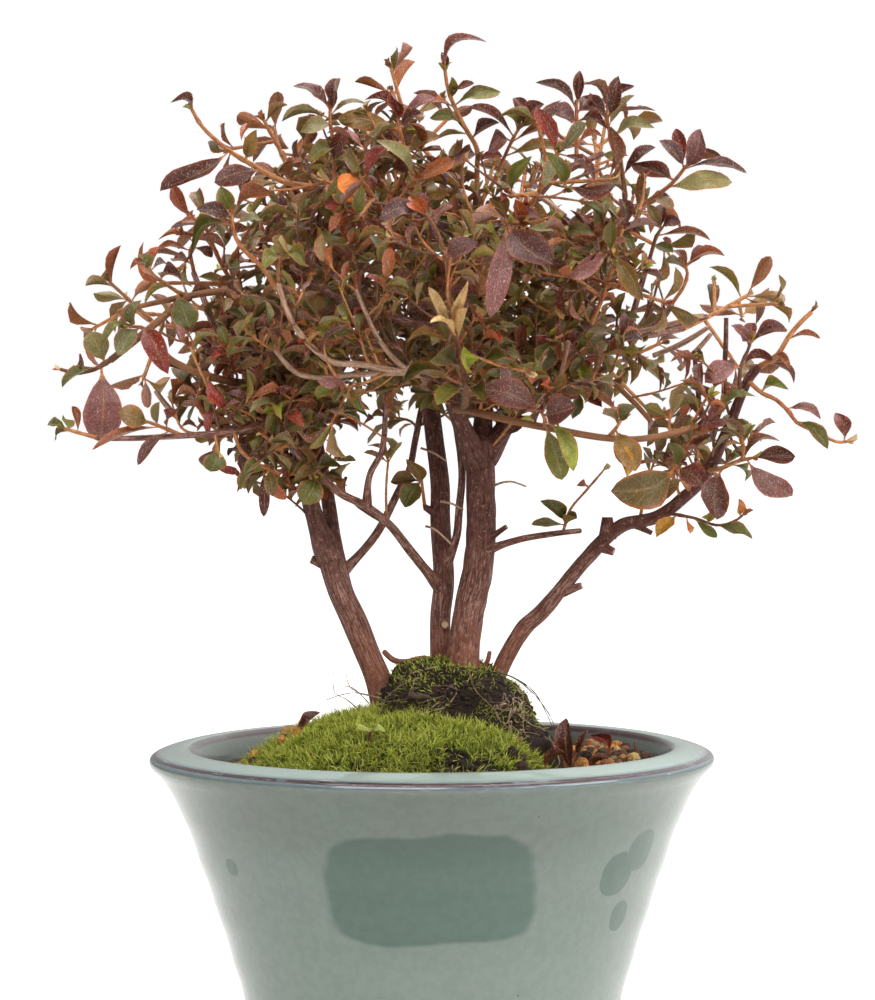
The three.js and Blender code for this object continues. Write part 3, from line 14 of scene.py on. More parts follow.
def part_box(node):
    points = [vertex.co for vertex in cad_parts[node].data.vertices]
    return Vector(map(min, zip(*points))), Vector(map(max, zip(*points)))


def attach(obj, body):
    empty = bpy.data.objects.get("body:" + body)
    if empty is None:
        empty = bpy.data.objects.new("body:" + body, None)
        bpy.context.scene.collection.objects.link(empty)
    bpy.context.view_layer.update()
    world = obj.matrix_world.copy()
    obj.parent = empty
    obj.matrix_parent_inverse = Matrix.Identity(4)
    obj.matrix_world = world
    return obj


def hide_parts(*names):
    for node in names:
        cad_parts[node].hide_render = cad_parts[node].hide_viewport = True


bl_info = {
    "name": "Satsuki Azalea Bonsai",
    "version": (1, 0, 0),
    "blender": (4, 5, 0),
    "location": "3D View > Sidebar > Bonsai",
    "description": "Builds the bark, leaves, moss, gravel and glazed pot of an azalea bonsai",
    "category": "Object",
}

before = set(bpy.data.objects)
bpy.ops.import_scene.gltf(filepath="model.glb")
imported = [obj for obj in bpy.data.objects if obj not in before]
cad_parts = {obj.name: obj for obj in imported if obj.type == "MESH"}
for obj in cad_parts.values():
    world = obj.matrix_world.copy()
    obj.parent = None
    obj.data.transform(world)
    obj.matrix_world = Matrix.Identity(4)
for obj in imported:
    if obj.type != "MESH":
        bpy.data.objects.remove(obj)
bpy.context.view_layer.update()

MM = 0.001
GOLDEN_ANGLE = 137.5
REFERENCE = np.array([0.31, 0.2, 0.93])  # a direction that no limb runs along
SEEDS = 1 << 30  # how many seeds a drawn one is taken from


def mm(metres):
    """A length setting in millimetres."""
    return metres / MM


def bough(first, last, *points):
    """The plan of a limb: its radius at the start and at the end, and the points it runs through."""
    return {"r": [first, last], "at": points}


def sprig(first, last, points, leaves):
    """The plan of a spray: its main twig like a limb, and its leaves."""
    return {**bough(first, last, *points), "leaves": leaves}


# ---------------------------------------------------------------- pot and its filling

POT_LOW, POT_HIGH = (np.array(corner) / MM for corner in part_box("pot"))
POT_HEIGHT = POT_HIGH[2]
LIP_RADIUS = (POT_HIGH[0] - POT_LOW[0]) / 2
FOOT_EDGE = 54
FOOT_RISE = 0.6
FLOOR_THICKNESS = 7
DRAIN_RADIUS = 6
DRAIN_RING = 27
DRAIN_TURNS = [90, 210, 330]

# Outer and inner wall of the pot as [radius, height], from the foot up.
OUTER_WALL = [
    [FOOT_EDGE, FOOT_RISE], [55.8, 16], [58.8, 33], [62.6, 49], [71, 76], [80.5, 102.5], [87.2, 113.8],
]
LIP = [
    [89.6, 116.2], [LIP_RADIUS, 117.5], [89.7, 118.8], [88, 120], [84.4, 121.2], [80.5, POT_HEIGHT + 1],
    [77.8, 121.7], [76.2, 120.6],
]
INNER_WALL = [[74.6, 115], [74.2, 110], [57.5, 50], [47, FLOOR_THICKNESS]]
INSIDE_ROWS = 35  # how many of the wall's last rows may lie inside the pot

# Dark patches on the glaze: [turn round the pot, height, half width, half height]. The wide first one,
# on the tree's front, is a painted reflection of a dark gap in the surroundings; the others are pools
# where the glaze ran thick and dark. A turn of 270 degrees is the tree's front.
GLAZE_POOLS_AND_REFLECTION = [
    [269.6, 86, 30.5, 17], [319.5, 87, 7.5, 7], [327, 93.5, 7, 6.5], [325.5, 73, 4.6, 5],
    [216, 89, 3.2, 2.8], [40, 70, 24, 12], [130, 88, 17, 13], [170, 52, 14, 9], [85, 44, 13, 7],
]
WIDE_DARK_PATCH = 20  # wider ones are squarer

SOIL_TOP = 109
MIX_FOOT = 8.6
MIX_WALL = [[0, MIX_FOOT], [46.4, MIX_FOOT], [57, 50], [73.2, SOIL_TOP - 0.6]]
MIX_CRUMBS = 320
MESH_RADIUS = 42
MESH_HEIGHT = 7.7
MESH_PITCH = 3.0
MESH_THREAD = 0.28

MOUND_MIDDLE = np.array([6, 2])
MOUND_OUTLINE = [[32, 76], [38, 106], [32, 121], [26, 132], [20.5, 141], [12.5, 147], [0, 148.5]]
MOUND_UNEVENNESS = 0.07
MOUND_HEART = np.array([*MOUND_MIDDLE, 116])  # moss on the mound grows away from here
MOUND_CRUMBS = 900

MOSS_MIDDLE = np.array([-12, -14])
MOSS_REACH = np.array([52, 50])
MOSS_RISE = 27
MOSS_ROUNDNESS = 0.75
MOSS_BED_DEPTH = 3  # how far the bed lies below the moss's height
MOSS_LIMIT = 74.5  # the radius of the pot's inner wall there
MOSS_SHOULDER = [26, -26, 12, 5]  # where it climbs the mound: x, y, reach and rise
BARE_EARTH = [[15, -54], [14, 13]]  # a dark bare place in the moss: middle and reach
BARE_CRUMBS = 130
STRAND_HALVES = [0.125, 0.145, 0.1]  # half the width of a strand at its three joints

GRAVEL_INNER = 36
GRAVEL_OUTER = 73
GRAVEL_FROM = -62
GRAVEL_SWEEP = 262
GRAVEL_HEAP = 4.5
GRAVEL_BED = [70, 48, 32]
# Colours of the grains, as [red, green, blue] of sRGB, and how common each is.
GRAIN_TINTS = [[204, 142, 70], [134, 84, 54], [190, 160, 98], [84, 58, 42], [132, 122, 80], [58, 38, 28]]
GRAIN_SHARES = [0.27, 0.2, 0.08, 0.19, 0.06, 0.2]

# Dry leaves on the gravel: [foot, tip, roll, width, bow, colour].
FALLEN_LEAVES = [
    [[45, -14, 113], [43, -15.5, 131], 75, 5.6, 1, "maroon"],
    [[44.5, -12, 118], [48.6, -12, 127.8], 40, 2.4, -2, "maroon"],
    [[57, -6, 119], [51, -7, 125.5], 50, 3.6, 1, "red"],
    [[-43, -14, 127], [-36.5, -16, 134], 60, 3.2, 1, "maroon"],
    [[35, -24, 116], [42, -28, 122], 40, 3, 1.5, "maroon"],
    [[50, -16, 113], [55, -20, 120], 30, 3, 1.5, "maroon"],
]
TWIG_BIT = [[64.5, 1, 114], [65.4, 0, 118.5], [65.2, 0, 122.3]]
SEEDLING_STEM = [[-19.5, -44, 124], [-18.8, -45, 130.4]]
SEEDLING_LEAVES = [[4.6, 4, 0], [4.6, 4, 180], [3.6, 2.2, 80], [3.6, 2.2, 265]]  # length, width and turn

# Thin roots that arch clear of the mound.
LOOSE_ROOTS = [
    [[21, -10, 146], [27, -9, 143.5], [33.5, -6, 137.5], [38, -5, 131], [41, -5, 122]],
    [[-8, -14, 143], [-14, -19, 139], [-17, -25, 133], [-18, -29, 127]],
    [[12, -16, 146], [14, -22, 141], [20, -27, 135], [23, -31, 127]],
    [[26, 6, 143], [33, 9, 138], [38, 10, 129], [42, 11, 119]],
    [[-22, -12, 133], [-27, -15, 138], [-30.5, -16, 140], [-31, -15, 147]],
    [[-16, -12, 138], [-25, -15, 141], [-27, -16, 146]], [[-14, -14, 137], [-24, -16, 140], [-33, -17, 138]],
    [[-20, -8, 136], [-25, -10, 141], [-28, -12, 141.5]],
]
# The short fat root that lies across the front of the mound, and the tangle of pale ones beside it.
FAT_ROOT = [[-7, -17, 138.6], [-5.5, -20.5, 139.4], [-3, -21.8, 139.3], [-1, -20.5, 139.2]]
PALE_TANGLE = [25, -19, 136]
TANGLE_ROOTS = 26

# ---------------------------------------------------------------- trunks and limbs

# Each limb has its radius at the start and at the end, and its points [x, y, z].
# It starts inside the limb that bears it.
TRUNKS = {
    "left_trunk": bough(3.7, 4.3, [-13, 0, 128], [-17, -2, 143], [-21, -4, 153], [-25, -6, 163],
        [-29, -8, 172], [-32, -10, 184]),
    "centre_trunk": bough(3.6, 2.9, [5, 8, 132], [3, 8, 150], [3, 7, 162], [4, 6, 174], [3, 6, 194],
        [3, 8, 205], [1, 12, 220], [0, 18, 233]),
    "main_trunk": bough(5.1, 4.6, [8, 0, 128], [10, 0, 148], [12, 0, 165], [15, -1, 178], [16, -1, 191],
        [16, -1, 204], [16, -2, 218]),
    "right_trunk": bough(2.9, 1.5, [17, 6, 128], [21, 4, 143], [29, 2, 158], [36, 0, 165], [49, -5, 181],
        [60, -10, 192], [71, -14, 195], [78, -17, 200], [86, -19, 208], [93, -22, 223], [99, -25, 238],
        [102, -26, 242]),
}

# Limbs that a trunk divides into.
FORKS = {
    "left_stem": bough(3.0, 1.5, [-32, -10, 182], [-36, -12, 193], [-39, -14, 204], [-41, -16, 216],
        [-47, -19, 233], [-55, -22, 247], [-59, -24, 261], [-62, -25, 269]),
    "rear_stem": bough(2.5, 1.4, [-31, -9, 181], [-32, -6, 195], [-34, 0, 207], [-37, 8, 222], [-36, 16, 233],
        [-33, 24, 246]),
    "centre_limb": bough(3.2, 1.2, [16, -2, 212], [17, 5, 229], [18, 7, 239], [18, 5, 252], [16, -2, 277],
        [15, -3, 290], [15, -3, 299]),
    "front_limb": bough(3.2, 1.7, [15, -2, 212], [10, -8, 224], [7, -14, 232], [5, -22, 242], [3, -30, 255]),
    "right_limb": bough(3.0, 1.5, [17, -1, 214], [24, 3, 224], [28, 8, 231], [32, 14, 239], [36, 19, 248],
        [39, 23, 259], [40, 25, 269]),
    "rear_limb": bough(2.7, 1.5, [0, 18, 232], [-1, 26, 249], [-4, 32, 266]),
}

# Limbs that leave the side of a trunk or of another limb.
LIMBS = {
    "low_left_limb": bough(1.6, 1.0, [3, 5, 172], [-1, 0, 177], [-7, -8, 185], [-13, -16, 193],
        [-20, -22, 199], [-29, -27, 204], [-45, -35, 220], [-52, -38, 227]),
    "left_front_limb": bough(1.6, 1.0, [3, -30, 254], [-12, -38, 258], [-23, -42, 261], [-31, -44, 265],
        [-42, -47, 273]),
    "low_left_fork": bough(1.1, 0.8, [-20, -22, 199], [-19, -26, 209], [-15, -30, 217], [-14, -34, 234]),
    "crossing_limb": bough(1.4, 1.0, [-29, -8, 177], [-18, -1, 189], [-10, 9, 204], [-7, 13, 210],
        [-5, 22, 220], [-3, 32, 230]),
    "thin_riser": bough(1.4, 1.1, [4, 5, 178], [8, 2, 188], [9, 2, 197], [10, 4, 209], [8, 12, 225]),
    "inner_right_branch": bough(1.2, 0.8, [17, -3, 184], [28, -9, 188], [39, -13, 190], [47, -16, 191]),
    "front_light_stem": bough(1.5, 1.1, [5, -22, 241], [-3, -42, 240], [-10, -56, 241], [-21, -63, 243],
        [-30, -66, 244], [-40, -69, 254], [-45, -68, 267]),
    "pruned_front_stub": bough(1.2, 1.0, [-8, -52, 241], [-24, -52, 240], [-39, -54, 240], [-47, -56, 248]),
    "front_light_fork": bough(1.1, 0.8, [-7, -51, 241], [-15, -62, 250], [-22, -68, 265]),
    "left_outer_limb": bough(1.3, 0.7, [-60, -24, 262], [-63, -27, 266], [-74, -30, 265], [-96, -36, 260]),
    "left_low_arm": bough(1.2, 1.1, [-75, -30, 265], [-85, -35, 256], [-98, -40, 245]),
    "orange_left_branch": bough(1.5, 0.9, [-50, -20, 237], [-65, -36, 239], [-78, -42, 244], [-84, -43, 250]),
    "low_left_branch": bough(1.1, 0.8, [-51, -37, 226], [-60, -42, 223], [-88, -48, 221], [-101, -50, 221]),
    "dark_upright": bough(1.2, 0.9, [-56, -22, 248], [-65, -17, 249], [-71, -11, 263], [-75, -7, 273]),
    "upper_left_limb": bough(1.7, 1.2, [16, -2, 276], [4, -6, 283], [-15, -12, 293], [-28, -15, 298],
        [-36, -17, 299]),
    "upper_right_limb": bough(1.4, 1.1, [15, -3, 283], [29, -14, 291], [39, -20, 302], [43, -21, 305]),
    "upper_right_stub": bough(1.0, 0.9, [42, -21, 304], [54, -22, 309]),
    "right_upper_limb": bough(1.6, 1.2, [40, 24, 266], [48, 16, 277], [61, 0, 291], [67, -4, 294]),
    "right_mid_limb": bough(1.5, 1.0, [36, 19, 248], [48, 21, 249], [72, 15, 256], [78, 11, 263]),
    "right_mid_riser": bough(1.1, 0.9, [64, 17, 253], [68, 15, 268], [71, 12, 278]),
    "right_pruned_stub": bough(1.1, 0.9, [64, 17, 253], [77, 12, 256], [89, 8, 259]),
    "front_right_stem": bough(1.3, 0.9, [8, -13, 230], [16, -30, 228], [34, -41, 224], [61, -41, 220],
        [82, -37, 224]),
    "right_drop_twig": bough(1.0, 0.8, [35, 17, 246], [56, -2, 239], [64, -8, 232], [70, -12, 225]),
    "bare_upright": bough(1.0, 0.8, [28, 8, 231], [39, -6, 234], [42, -10, 243], [44, -12, 252]),
}

# Short limbs into the back, the top and the middle of the crown; a leafy spray
# goes on from the end of each.
CROWN_LIMBS = {
    "rear_left_high": bough(1.4, 1.0, [0, 19, 235], [-14, 34, 250], [-30, 48, 262]),
    "rear_right_high": bough(1.4, 1.0, [39, 23, 259], [50, 40, 268], [56, 48, 274]),
    "rear_middle": bough(1.4, 1.0, [-4, 31, 262], [-8, 44, 276], [-8, 54, 286]),
    "rear_left_low": bough(1.3, 1.0, [-33, 23, 245], [-44, 38, 248], [-54, 50, 250]),
    "rear_right_low": bough(1.4, 1.0, [32, 14, 239], [44, 32, 238], [54, 46, 240]),
    "rear_low": bough(1.4, 1.0, [-1, 26, 249], [6, 40, 246], [12, 54, 244]),
    "front_right_mid": bough(1.4, 1.0, [29, 9, 232], [40, -12, 246], [50, -30, 256]),
    "front_left_high": bough(1.4, 1.0, [18, 4, 255], [4, -18, 272], [-10, -36, 282]),
    "front_top": bough(1.3, 1.0, [16, -2, 278], [24, -22, 284], [30, -36, 290]),
    "rear_top": bough(1.3, 1.0, [15, -3, 291], [8, 12, 302], [2, 24, 310]),
    "rear_top_right": bough(1.3, 1.0, [55, 7, 284], [56, 20, 294], [54, 30, 300]),
    "rear_top_left": bough(1.3, 1.0, [-14, -11, 292], [-26, 6, 298], [-38, 18, 302]),
    "right_rear": bough(1.3, 1.0, [60, 18, 252.5], [74, 32, 254], [84, 40, 256]),
    "left_rear": bough(1.3, 1.0, [-55, -22, 247], [-68, 0, 254], [-80, 16, 256]),
    "middle_left": bough(1.3, 1.0, [-36, 16, 233], [-50, 8, 244], [-58, 4, 262]),
    "rear_centre_high": bough(1.3, 1.0, [17, 1, 266], [23, 17, 277], [28, 29, 284]),
    "rear_left_middle": bough(1.2, 1.0, [-34, 21, 242], [-36, 30, 255], [-40, 35, 266]),
}

# Cut back stubs and knobs on the old wood.
STUBS = [
    bough(1.4, 1.2, [-31, -9, 179], [-38, -10, 182]),
    bough(1.2, 1.0, [42, -2, 171], [48, -4, 173]),
    bough(2.0, 1.4, [56, -9, 188], [56, -9, 195]),
    bough(1.3, 1.1, [53, -7, 186], [58, -9, 184]),
    bough(0.9, 0.7, [64, -11, 193], [70, -12, 190]),
    bough(1.0, 0.8, [17, -2, 187], [24, -6, 192]),
    bough(1.2, 0.9, [3, 6, 195], [-2, 5, 198]),
]

# Old roots that lie bare on top of the mound.
ROOTS = [
    bough(1.4, 0.9, [4, 7, 146], [-2, 3, 149], [-8, 0, 148.4], [-12, -3, 149.3], [-15, -4, 152]),
    bough(0.9, 0.7, [14, 2, 144], [17.6, 0, 148], [18.6, -1, 151.5]),
]

# Round scars where a branch was sawn off flush: [middle, the way it faces, radius].
SAWN_SCARS = [
    [[4.3, 3.2, 160.3], [0, -1, 0.1], 1.25],
    [[14.4, -5.4, 181], [-0.2, -1, 0.1], 1.4],
    [[-26, -9.6, 163.5], [-0.3, -1, 0.2], 1.3],
]

# The dense part of the crown seen from the front, as [x, z].
CROWN_OUTLINE = [
    [-80, 212], [-88, 227], [-90, 242], [-95, 255], [-90, 269], [-77, 282], [-69, 295], [-61, 308],
    [-45, 318], [-36, 325], [-4, 327], [6, 331], [22, 327], [41, 330], [60, 328], [75, 318], [83, 306],
    [86, 292], [86, 274], [83, 258], [92, 249], [105, 242], [114, 230], [110, 217], [99, 210], [86, 204],
    [70, 210], [54, 220], [41, 217], [28, 220], [22, 226], [3, 228], [-7, 222], [-12, 213], [-26, 206],
    [-32, 199], [-45, 197], [-62, 202],
]
# Limbs that are still covered in young rust-coloured bark.
YOUNG_LIMBS = ["orange_left_branch", "front_right_stem", "right_drop_twig", "left_outer_limb", "left_low_arm"]
TAN_LIMBS = ["front_light_stem", "front_light_fork", "pruned_front_stub"]
# Dead twigs on the trunks and bare twigs between the leaves.
DEAD_TWIGS = [
    [[-1.6, -4, 192.1], [1.6, -8, 191], [6.3, -7, 186.7]],
    [[3.2, -6, 200.1], [6.5, -9, 199.5], [10.2, -6, 197.5]], [[-3, -2, 217], [1, -7, 215.5], [5, -9, 213]],
    [[20, -5, 205], [25, -12, 206.5], [30, -14, 205]],
]
BARE_TWIGS = [
    [[64, 16, 253.5], [71.4, 12, 255.2], [79.9, 9, 257.4], [88.1, 6, 259.2]],
    [[72, 8, 246.5], [80.8, 2, 250.4], [88.8, -4, 255.4]],
    [[80, 4, 242], [84.6, 0, 247.3], [89.4, -4, 253.1]],
    [[92, -22, 232], [92.4, -20, 243.3], [92.5, -22, 250.8], [92.6, -22, 257.7]],
    [[84, -20, 230], [83.6, -24, 236.1], [82.7, -28, 241.4], [82, -28, 247.3]],
    [[31, -16, 298], [34.1, -24, 295.8], [37.9, -30, 292.6], [41.8, -34, 289]],
    [[42, -12, 278], [44.2, -20, 282.6], [45.3, -24, 287.1], [46.5, -26, 291.6]],
    [[27, -20, 232], [29.1, -30, 236.3], [31.9, -40, 241.1], [35.1, -46, 245.9]],
    [[36, -28, 230], [38.7, -38, 235.2], [40.6, -44, 242.5], [42, -48, 250.1]],
    [[-81, -10, 228], [-81.9, -14, 229.2], [-84.1, -18, 232.4], [-86.1, -20, 235.5]],
]
CROWN_MIDDLE = np.array([5, 262])
CROWN_DEPTH = 88

# Sprays that give the crown its outline: the main twig's radii and points, and its leaves as
# [share of the way along the twig, tip x, y, z, width, roll, bow, colour].
CHOSEN_SPRAYS = {
    "long_left_shoot": sprig(1.2, 0.7, [[-39, -18, 299], [-46, -19, 301], [-52, -20, 304], [-57, -20, 307],
        [-62, -21, 310], [-67, -22, 314], [-71, -22, 318], [-74, -23, 323]], [
        [1, -80, -25, 326, 3.4, 40, 3, "maroon"], [0.62, -84, -27, 299, 6.4, 65, 5, "maroon"],
        [0.36, -65, -32, 301, 6.6, 80, 1, "maroon"], [0.42, -59, -24, 297, 4, 60, 1, "maroon"],
        [0.5, -54, -28, 316, 4.6, 80, 1, "olive"], [0.5, -57, -8, 318, 3.6, 20, 1, "bronze"],
        [0.12, -40, -30, 307, 5, 45, 2, "bronze"],
    ]),
    "front_left_rosette": sprig(0.9, 0.7, [[-43, -69, 262], [-50, -67, 272], [-57, -65, 279],
        [-59, -64, 285], [-59, -63, 289]], [
        [1, -62, -66, 296, 5, 70, 1, "green"], [1, -67, -72, 290, 5.4, 70, 1, "maroon"],
        [1, -45, -62, 297, 4.6, 50, 3, "olive"], [0.96, -46, -74, 293, 5.4, 60, 2, "bronze"],
        [0.9, -70, -56, 288, 3.6, 30, 1, "grey"], [0.85, -72, -66, 279, 4.4, 45, 2, "green"],
        [0.9, -50, -60, 288, 4.4, 40, 1, "grey"], [0.55, -49, -74, 281, 4, 40, 1, "grey"],
    ]),
    "front_light_tip": sprig(0.9, 0.7, [[-45, -69, 269], [-45, -70, 272], [-44, -71, 275]], [
        [1, -49, -78, 273, 5, 45, 1, "green"], [1, -37, -76, 272, 5.4, 50, 2, "green"],
        [1, -44, -74, 281, 4.6, 60, 0, "grey"], [1, -39, -66, 279, 5, 50, 1, "grey"],
        [0.9, -50, -64, 278, 4, 40, 1, "green"],
    ]),
    "outer_left_top": sprig(0.8, 0.6, [[-75, -31, 265], [-78, -33, 266], [-81, -35, 268], [-85, -37, 271],
        [-87, -38, 274]], [
        [1, -92, -40, 273, 2.6, 30, 2, "bronze"], [1, -89, -40, 277, 4.6, 60, 1, "green"],
        [1, -83, -36, 280, 3, 45, 1, "bronze"], [0.9, -81, -30, 276, 3.4, 40, 1, "maroon"],
        [0.6, -76, -44, 270, 4.4, 50, 2, "maroon"], [0.15, -74, -36, 255, 8.4, 85, 0, "green"],
        [0.3, -88, -38, 263, 3, 40, 3, "green"],
    ]),
    "upper_left_dark": sprig(0.8, 0.6, [[-77, -6, 277], [-76, -9, 280], [-73, -12, 284], [-71, -14, 287]], [
        [1, -78, -18, 289, 3.2, 40, 1, "bronze"], [0.6, -85, -14, 285, 3, 30, 2, "bronze"],
        [0.4, -87, -10, 282, 2.8, 30, 1, "bronze"], [0.2, -90, -16, 280, 3, 30, 1, "maroon"],
        [1, -64, -20, 287, 4, 40, 1, "olive"], [0.7, -65, -16, 282, 4, 50, 1, "maroon"],
        [0.1, -82, -2, 277, 3.4, 30, 1, "bronze"], [0.5, -69, -8, 278, 3.6, 50, 1, "maroon"],
    ]),
    "left_arm_tip": sprig(1.0, 0.7, [[-99, -40, 243], [-103, -42, 242], [-108, -43, 241],
        [-113, -44, 242]], [
        [1, -107, -46, 247, 2.8, 40, -4, "maroon"], [0.2, -112, -50, 237, 3.6, 40, 1, "green"],
        [0.05, -104, -46, 253, 7.4, 80, 1, "grey"], [0.15, -101, -47, 221, 11.6, 88, 1, "purple"],
    ]),
    "left_arm_cluster": sprig(0.8, 0.6, [[-87, -37, 254], [-89, -40, 255], [-92, -42, 255]], [
        [1, -89, -46, 262, 5.2, 75, 1, "grey"], [1, -96, -40, 254, 4, 50, 1, "grey"],
        [0.7, -100, -50, 252, 3.2, 30, 2, "green"], [0.4, -95, -48, 247, 6.4, 70, 1, "grey"],
        [0.2, -81, -50, 243, 6.6, 80, 3, "red"],
    ]),
    "low_left_tip": sprig(0.8, 0.6, [[-103, -50, 221], [-108, -51, 223], [-111, -52, 224]], [
        [1, -116, -54, 225, 3.6, 45, 1, "green"], [1, -111, -58, 227, 3.4, 50, 0, "green"],
        [0.6, -109, -48, 231, 2.4, 50, -1, "bronze"], [1, -115, -48, 222, 3, 40, 1, "green"],
    ]),
    "low_left_cluster": sprig(0.8, 0.6, [[-76, -46, 221], [-81, -49, 224], [-86, -51, 226]], [
        [1, -93, -56, 229, 7, 78, 1, "olive"], [1, -93, -46, 224, 5, 60, 1, "olive"],
        [0.5, -102, -58, 217, 3.2, 50, 2, "bronze"], [0.15, -89, -52, 213, 3.4, 50, 2, "purple"],
        [0.7, -82, -54, 232, 3.4, 40, 1, "grey"], [0.3, -77, -56, 230, 3.6, 45, 1, "maroon"],
    ]),
    "low_left_hanging": sprig(0.7, 0.6, [[-65, -46, 219], [-65, -47, 217]], [
        [1, -67, -50, 211, 7, 82, 1, "green"], [0.8, -70, -42, 212, 4.4, 75, 1, "maroon"],
    ]),
    "low_left_under": sprig(0.8, 0.6, [[-60, -43, 221], [-58, -45, 217], [-53, -46, 213], [-49, -46, 211]], [
        [0.9, -51, -48, 197, 3.2, 80, 1, "maroon"], [1, -48, -52, 204, 4, 70, 1, "olive"],
        [1, -44, -44, 202, 3.4, 60, 1, "bronze"], [0.7, -58, -50, 206, 4, 50, 1, "green"],
        [0.75, -56, -54, 211, 3.6, 50, 1, "green"],
    ]),
    "trunk_leaf_cluster": sprig(0.7, 0.6, [[-36, -33, 211], [-35, -36, 209]], [
        [1, -39, -40, 201, 8, 82, 1, "green"], [1, -41, -46, 209, 4, 50, 1, "olive"],
        [1, -28, -44, 213, 4, 50, 1, "green"],
    ]),
    "top_shoot": sprig(1.1, 0.7, [[15, -3, 301], [15, -4, 306], [15, -6, 312], [11, -8, 319], [8, -9, 325],
        [6, -10, 330], [5, -11, 336]], [
        [1, 17, -14, 346, 4.2, 40, 6, "maroon"], [1, 4, -12, 342, 2.4, 60, 0, "maroon"],
        [0.82, 14, -16, 332, 3, 40, 1, "maroon"], [0.72, 22, -14, 330, 4.4, 50, 2, "grey"],
        [0.7, -2, -6, 327, 3, 30, 1, "bronze"], [0.78, 7, -16, 333, 3, 60, 0, "green"],
        [0.55, 0, -14, 321, 4.4, 50, 1, "green"], [0.45, 2, -16, 316, 4.4, 40, 1, "grey"],
        [0.4, 22, -10, 320, 4, 45, 2, "maroon"], [0.25, 8, -14, 310, 4.4, 50, 1, "maroon"],
        [0.2, 23, -12, 309, 4.2, 50, 1, "maroon"],
    ]),
    "top_right_rosette": sprig(0.9, 0.6, [[16, -4, 294], [20, -8, 301], [24, -10, 310], [27, -12, 316],
        [29, -13, 319]], [
        [1, 27, -10, 328, 4.2, 50, 2, "maroon"], [1, 36, -18, 325, 4.4, 55, 1, "maroon"],
        [0.85, 13, -16, 325, 3.8, 45, 3, "maroon"], [1, 36, -14, 321, 4.2, 50, 1, "green"],
        [1, 25, -20, 322, 4, 60, 1, "green"], [0.6, 41, -16, 313, 4.6, 60, 1, "olive"],
        [0.8, 19, -18, 311, 5.4, 65, 1, "purple"], [0.8, 42, -8, 318, 4, 40, 2, "bronze"],
    ]),
    "upper_left_rosette": sprig(0.9, 0.7, [[-28, -17, 300], [-30, -19, 306], [-30, -21, 312],
        [-31, -22, 319], [-31, -22, 323]], [
        [1, -41, -26, 331, 5, 50, 2, "maroon"], [1, -28, -22, 333, 4.4, 70, 0, "maroon"],
        [1, -20, -24, 326, 4, 40, 2, "olive"], [0.9, -46, -24, 319, 3.6, 40, 3, "grey"],
        [0.85, -40, -32, 315, 5.4, 60, 2, "grey"], [0.3, -26, -28, 317, 4.6, 70, 1, "maroon"],
        [0.05, -21, -24, 297, 6.8, 85, 1, "orange"], [0.5, -36, -32, 309, 5, 60, 1, "green"],
        [0.35, -23, -30, 307, 4.6, 60, 1, "grey"],
    ]),
    "upper_centre_rosette": sprig(0.9, 0.7, [[-14, -14, 294], [-9, -17, 302], [-8, -20, 309], [-9, -22, 316],
        [-10, -23, 320]], [
        [1, -19, -22, 328, 3.6, 45, 2, "red"], [1, -12, -26, 328, 3.6, 60, 1, "red"],
        [1, 2, -22, 327, 4.2, 45, 3, "purple"], [0.95, -2, -30, 321, 5.4, 70, 1, "maroon"],
        [0.9, -27, -28, 321, 6.4, 75, 1, "olive"], [0.7, -17, -14, 318, 3.4, 30, 2, "bronze"],
        [0.4, -7, -30, 310, 5.8, 80, 1, "maroon"], [0.6, 3, -18, 316, 4.8, 60, 1, "olive"],
        [0.5, -24, -14, 308, 4.4, 40, 2, "olive"],
    ]),
    "upper_right_shoot": sprig(0.9, 0.7, [[45, -21, 308], [46, -21, 311], [46, -21, 317], [46, -21, 324]], [
        [1, 47, -22, 335, 3.4, 65, 0, "maroon"], [1, 34, -24, 332, 4, 45, 3, "maroon"],
        [0.7, 37, -28, 322, 6, 75, 1, "purple"], [0.75, 55, -26, 318, 3.6, 40, 1, "maroon"],
        [0.3, 54, -18, 316, 3, 40, 1, "bronze"], [0.85, 52, -14, 328, 3.6, 50, 1, "maroon"],
    ]),
    "upper_right_cluster": sprig(1.0, 0.7, [[62, -1, 292], [62, -4, 299], [61, -6, 305], [60, -8, 311],
        [57, -9, 317], [56, -10, 322]], [
        [1, 65, -12, 331, 4.4, 45, 2, "purple"], [1, 59, -16, 333, 5, 70, 1, "maroon"],
        [0.95, 48, -12, 328, 4.4, 55, 1, "maroon"], [0.9, 65, -4, 330, 3.6, 50, -2, "olive"],
        [0.95, 47, -4, 325, 4.6, 50, 1, "maroon"], [0.78, 69, -14, 320, 4.6, 50, 1, "grey"],
        [0.35, 71, -12, 312, 4.6, 55, 2, "maroon"], [0.4, 55, -10, 310, 4.4, 55, 1, "green"],
        [0.15, 52, -14, 301, 4.6, 50, 2, "grey"],
    ]),
    "right_top_rosette": sprig(1.0, 0.7, [[68, -5, 295], [72, -7, 297], [77, -9, 301], [81, -10, 306]], [
        [1, 74, -14, 314, 4.8, 60, 2, "purple"], [1, 78, -8, 318, 4.2, 55, 1, "red"],
        [1, 85, -14, 317, 6.2, 80, 1, "purple"], [1, 92, -8, 311, 4, 45, 1, "bronze"],
        [0.95, 100, -12, 303, 4.8, 45, 3, "maroon"], [0.7, 64, -14, 307, 5.4, 60, 3, "maroon"],
        [0.5, 93, -16, 303, 7.2, 65, 1, "grey"], [0.2, 76, -14, 292, 5, 55, 1, "olive"],
    ]),
    "right_edge_cluster": sprig(0.8, 0.6, [[71, 11, 280], [73, 9, 285], [75, 8, 288]], [
        [0.7, 90, 6, 285, 3.6, 40, 1, "bronze"], [1, 79, 2, 290, 4.4, 60, 1, "maroon"],
        [1, 70, 4, 295, 4.4, 60, 1, "olive"], [1, 76, 12, 296, 4.2, 50, 1, "maroon"],
        [0.4, 78, 2, 279, 4.4, 55, 1, "green"],
    ]),
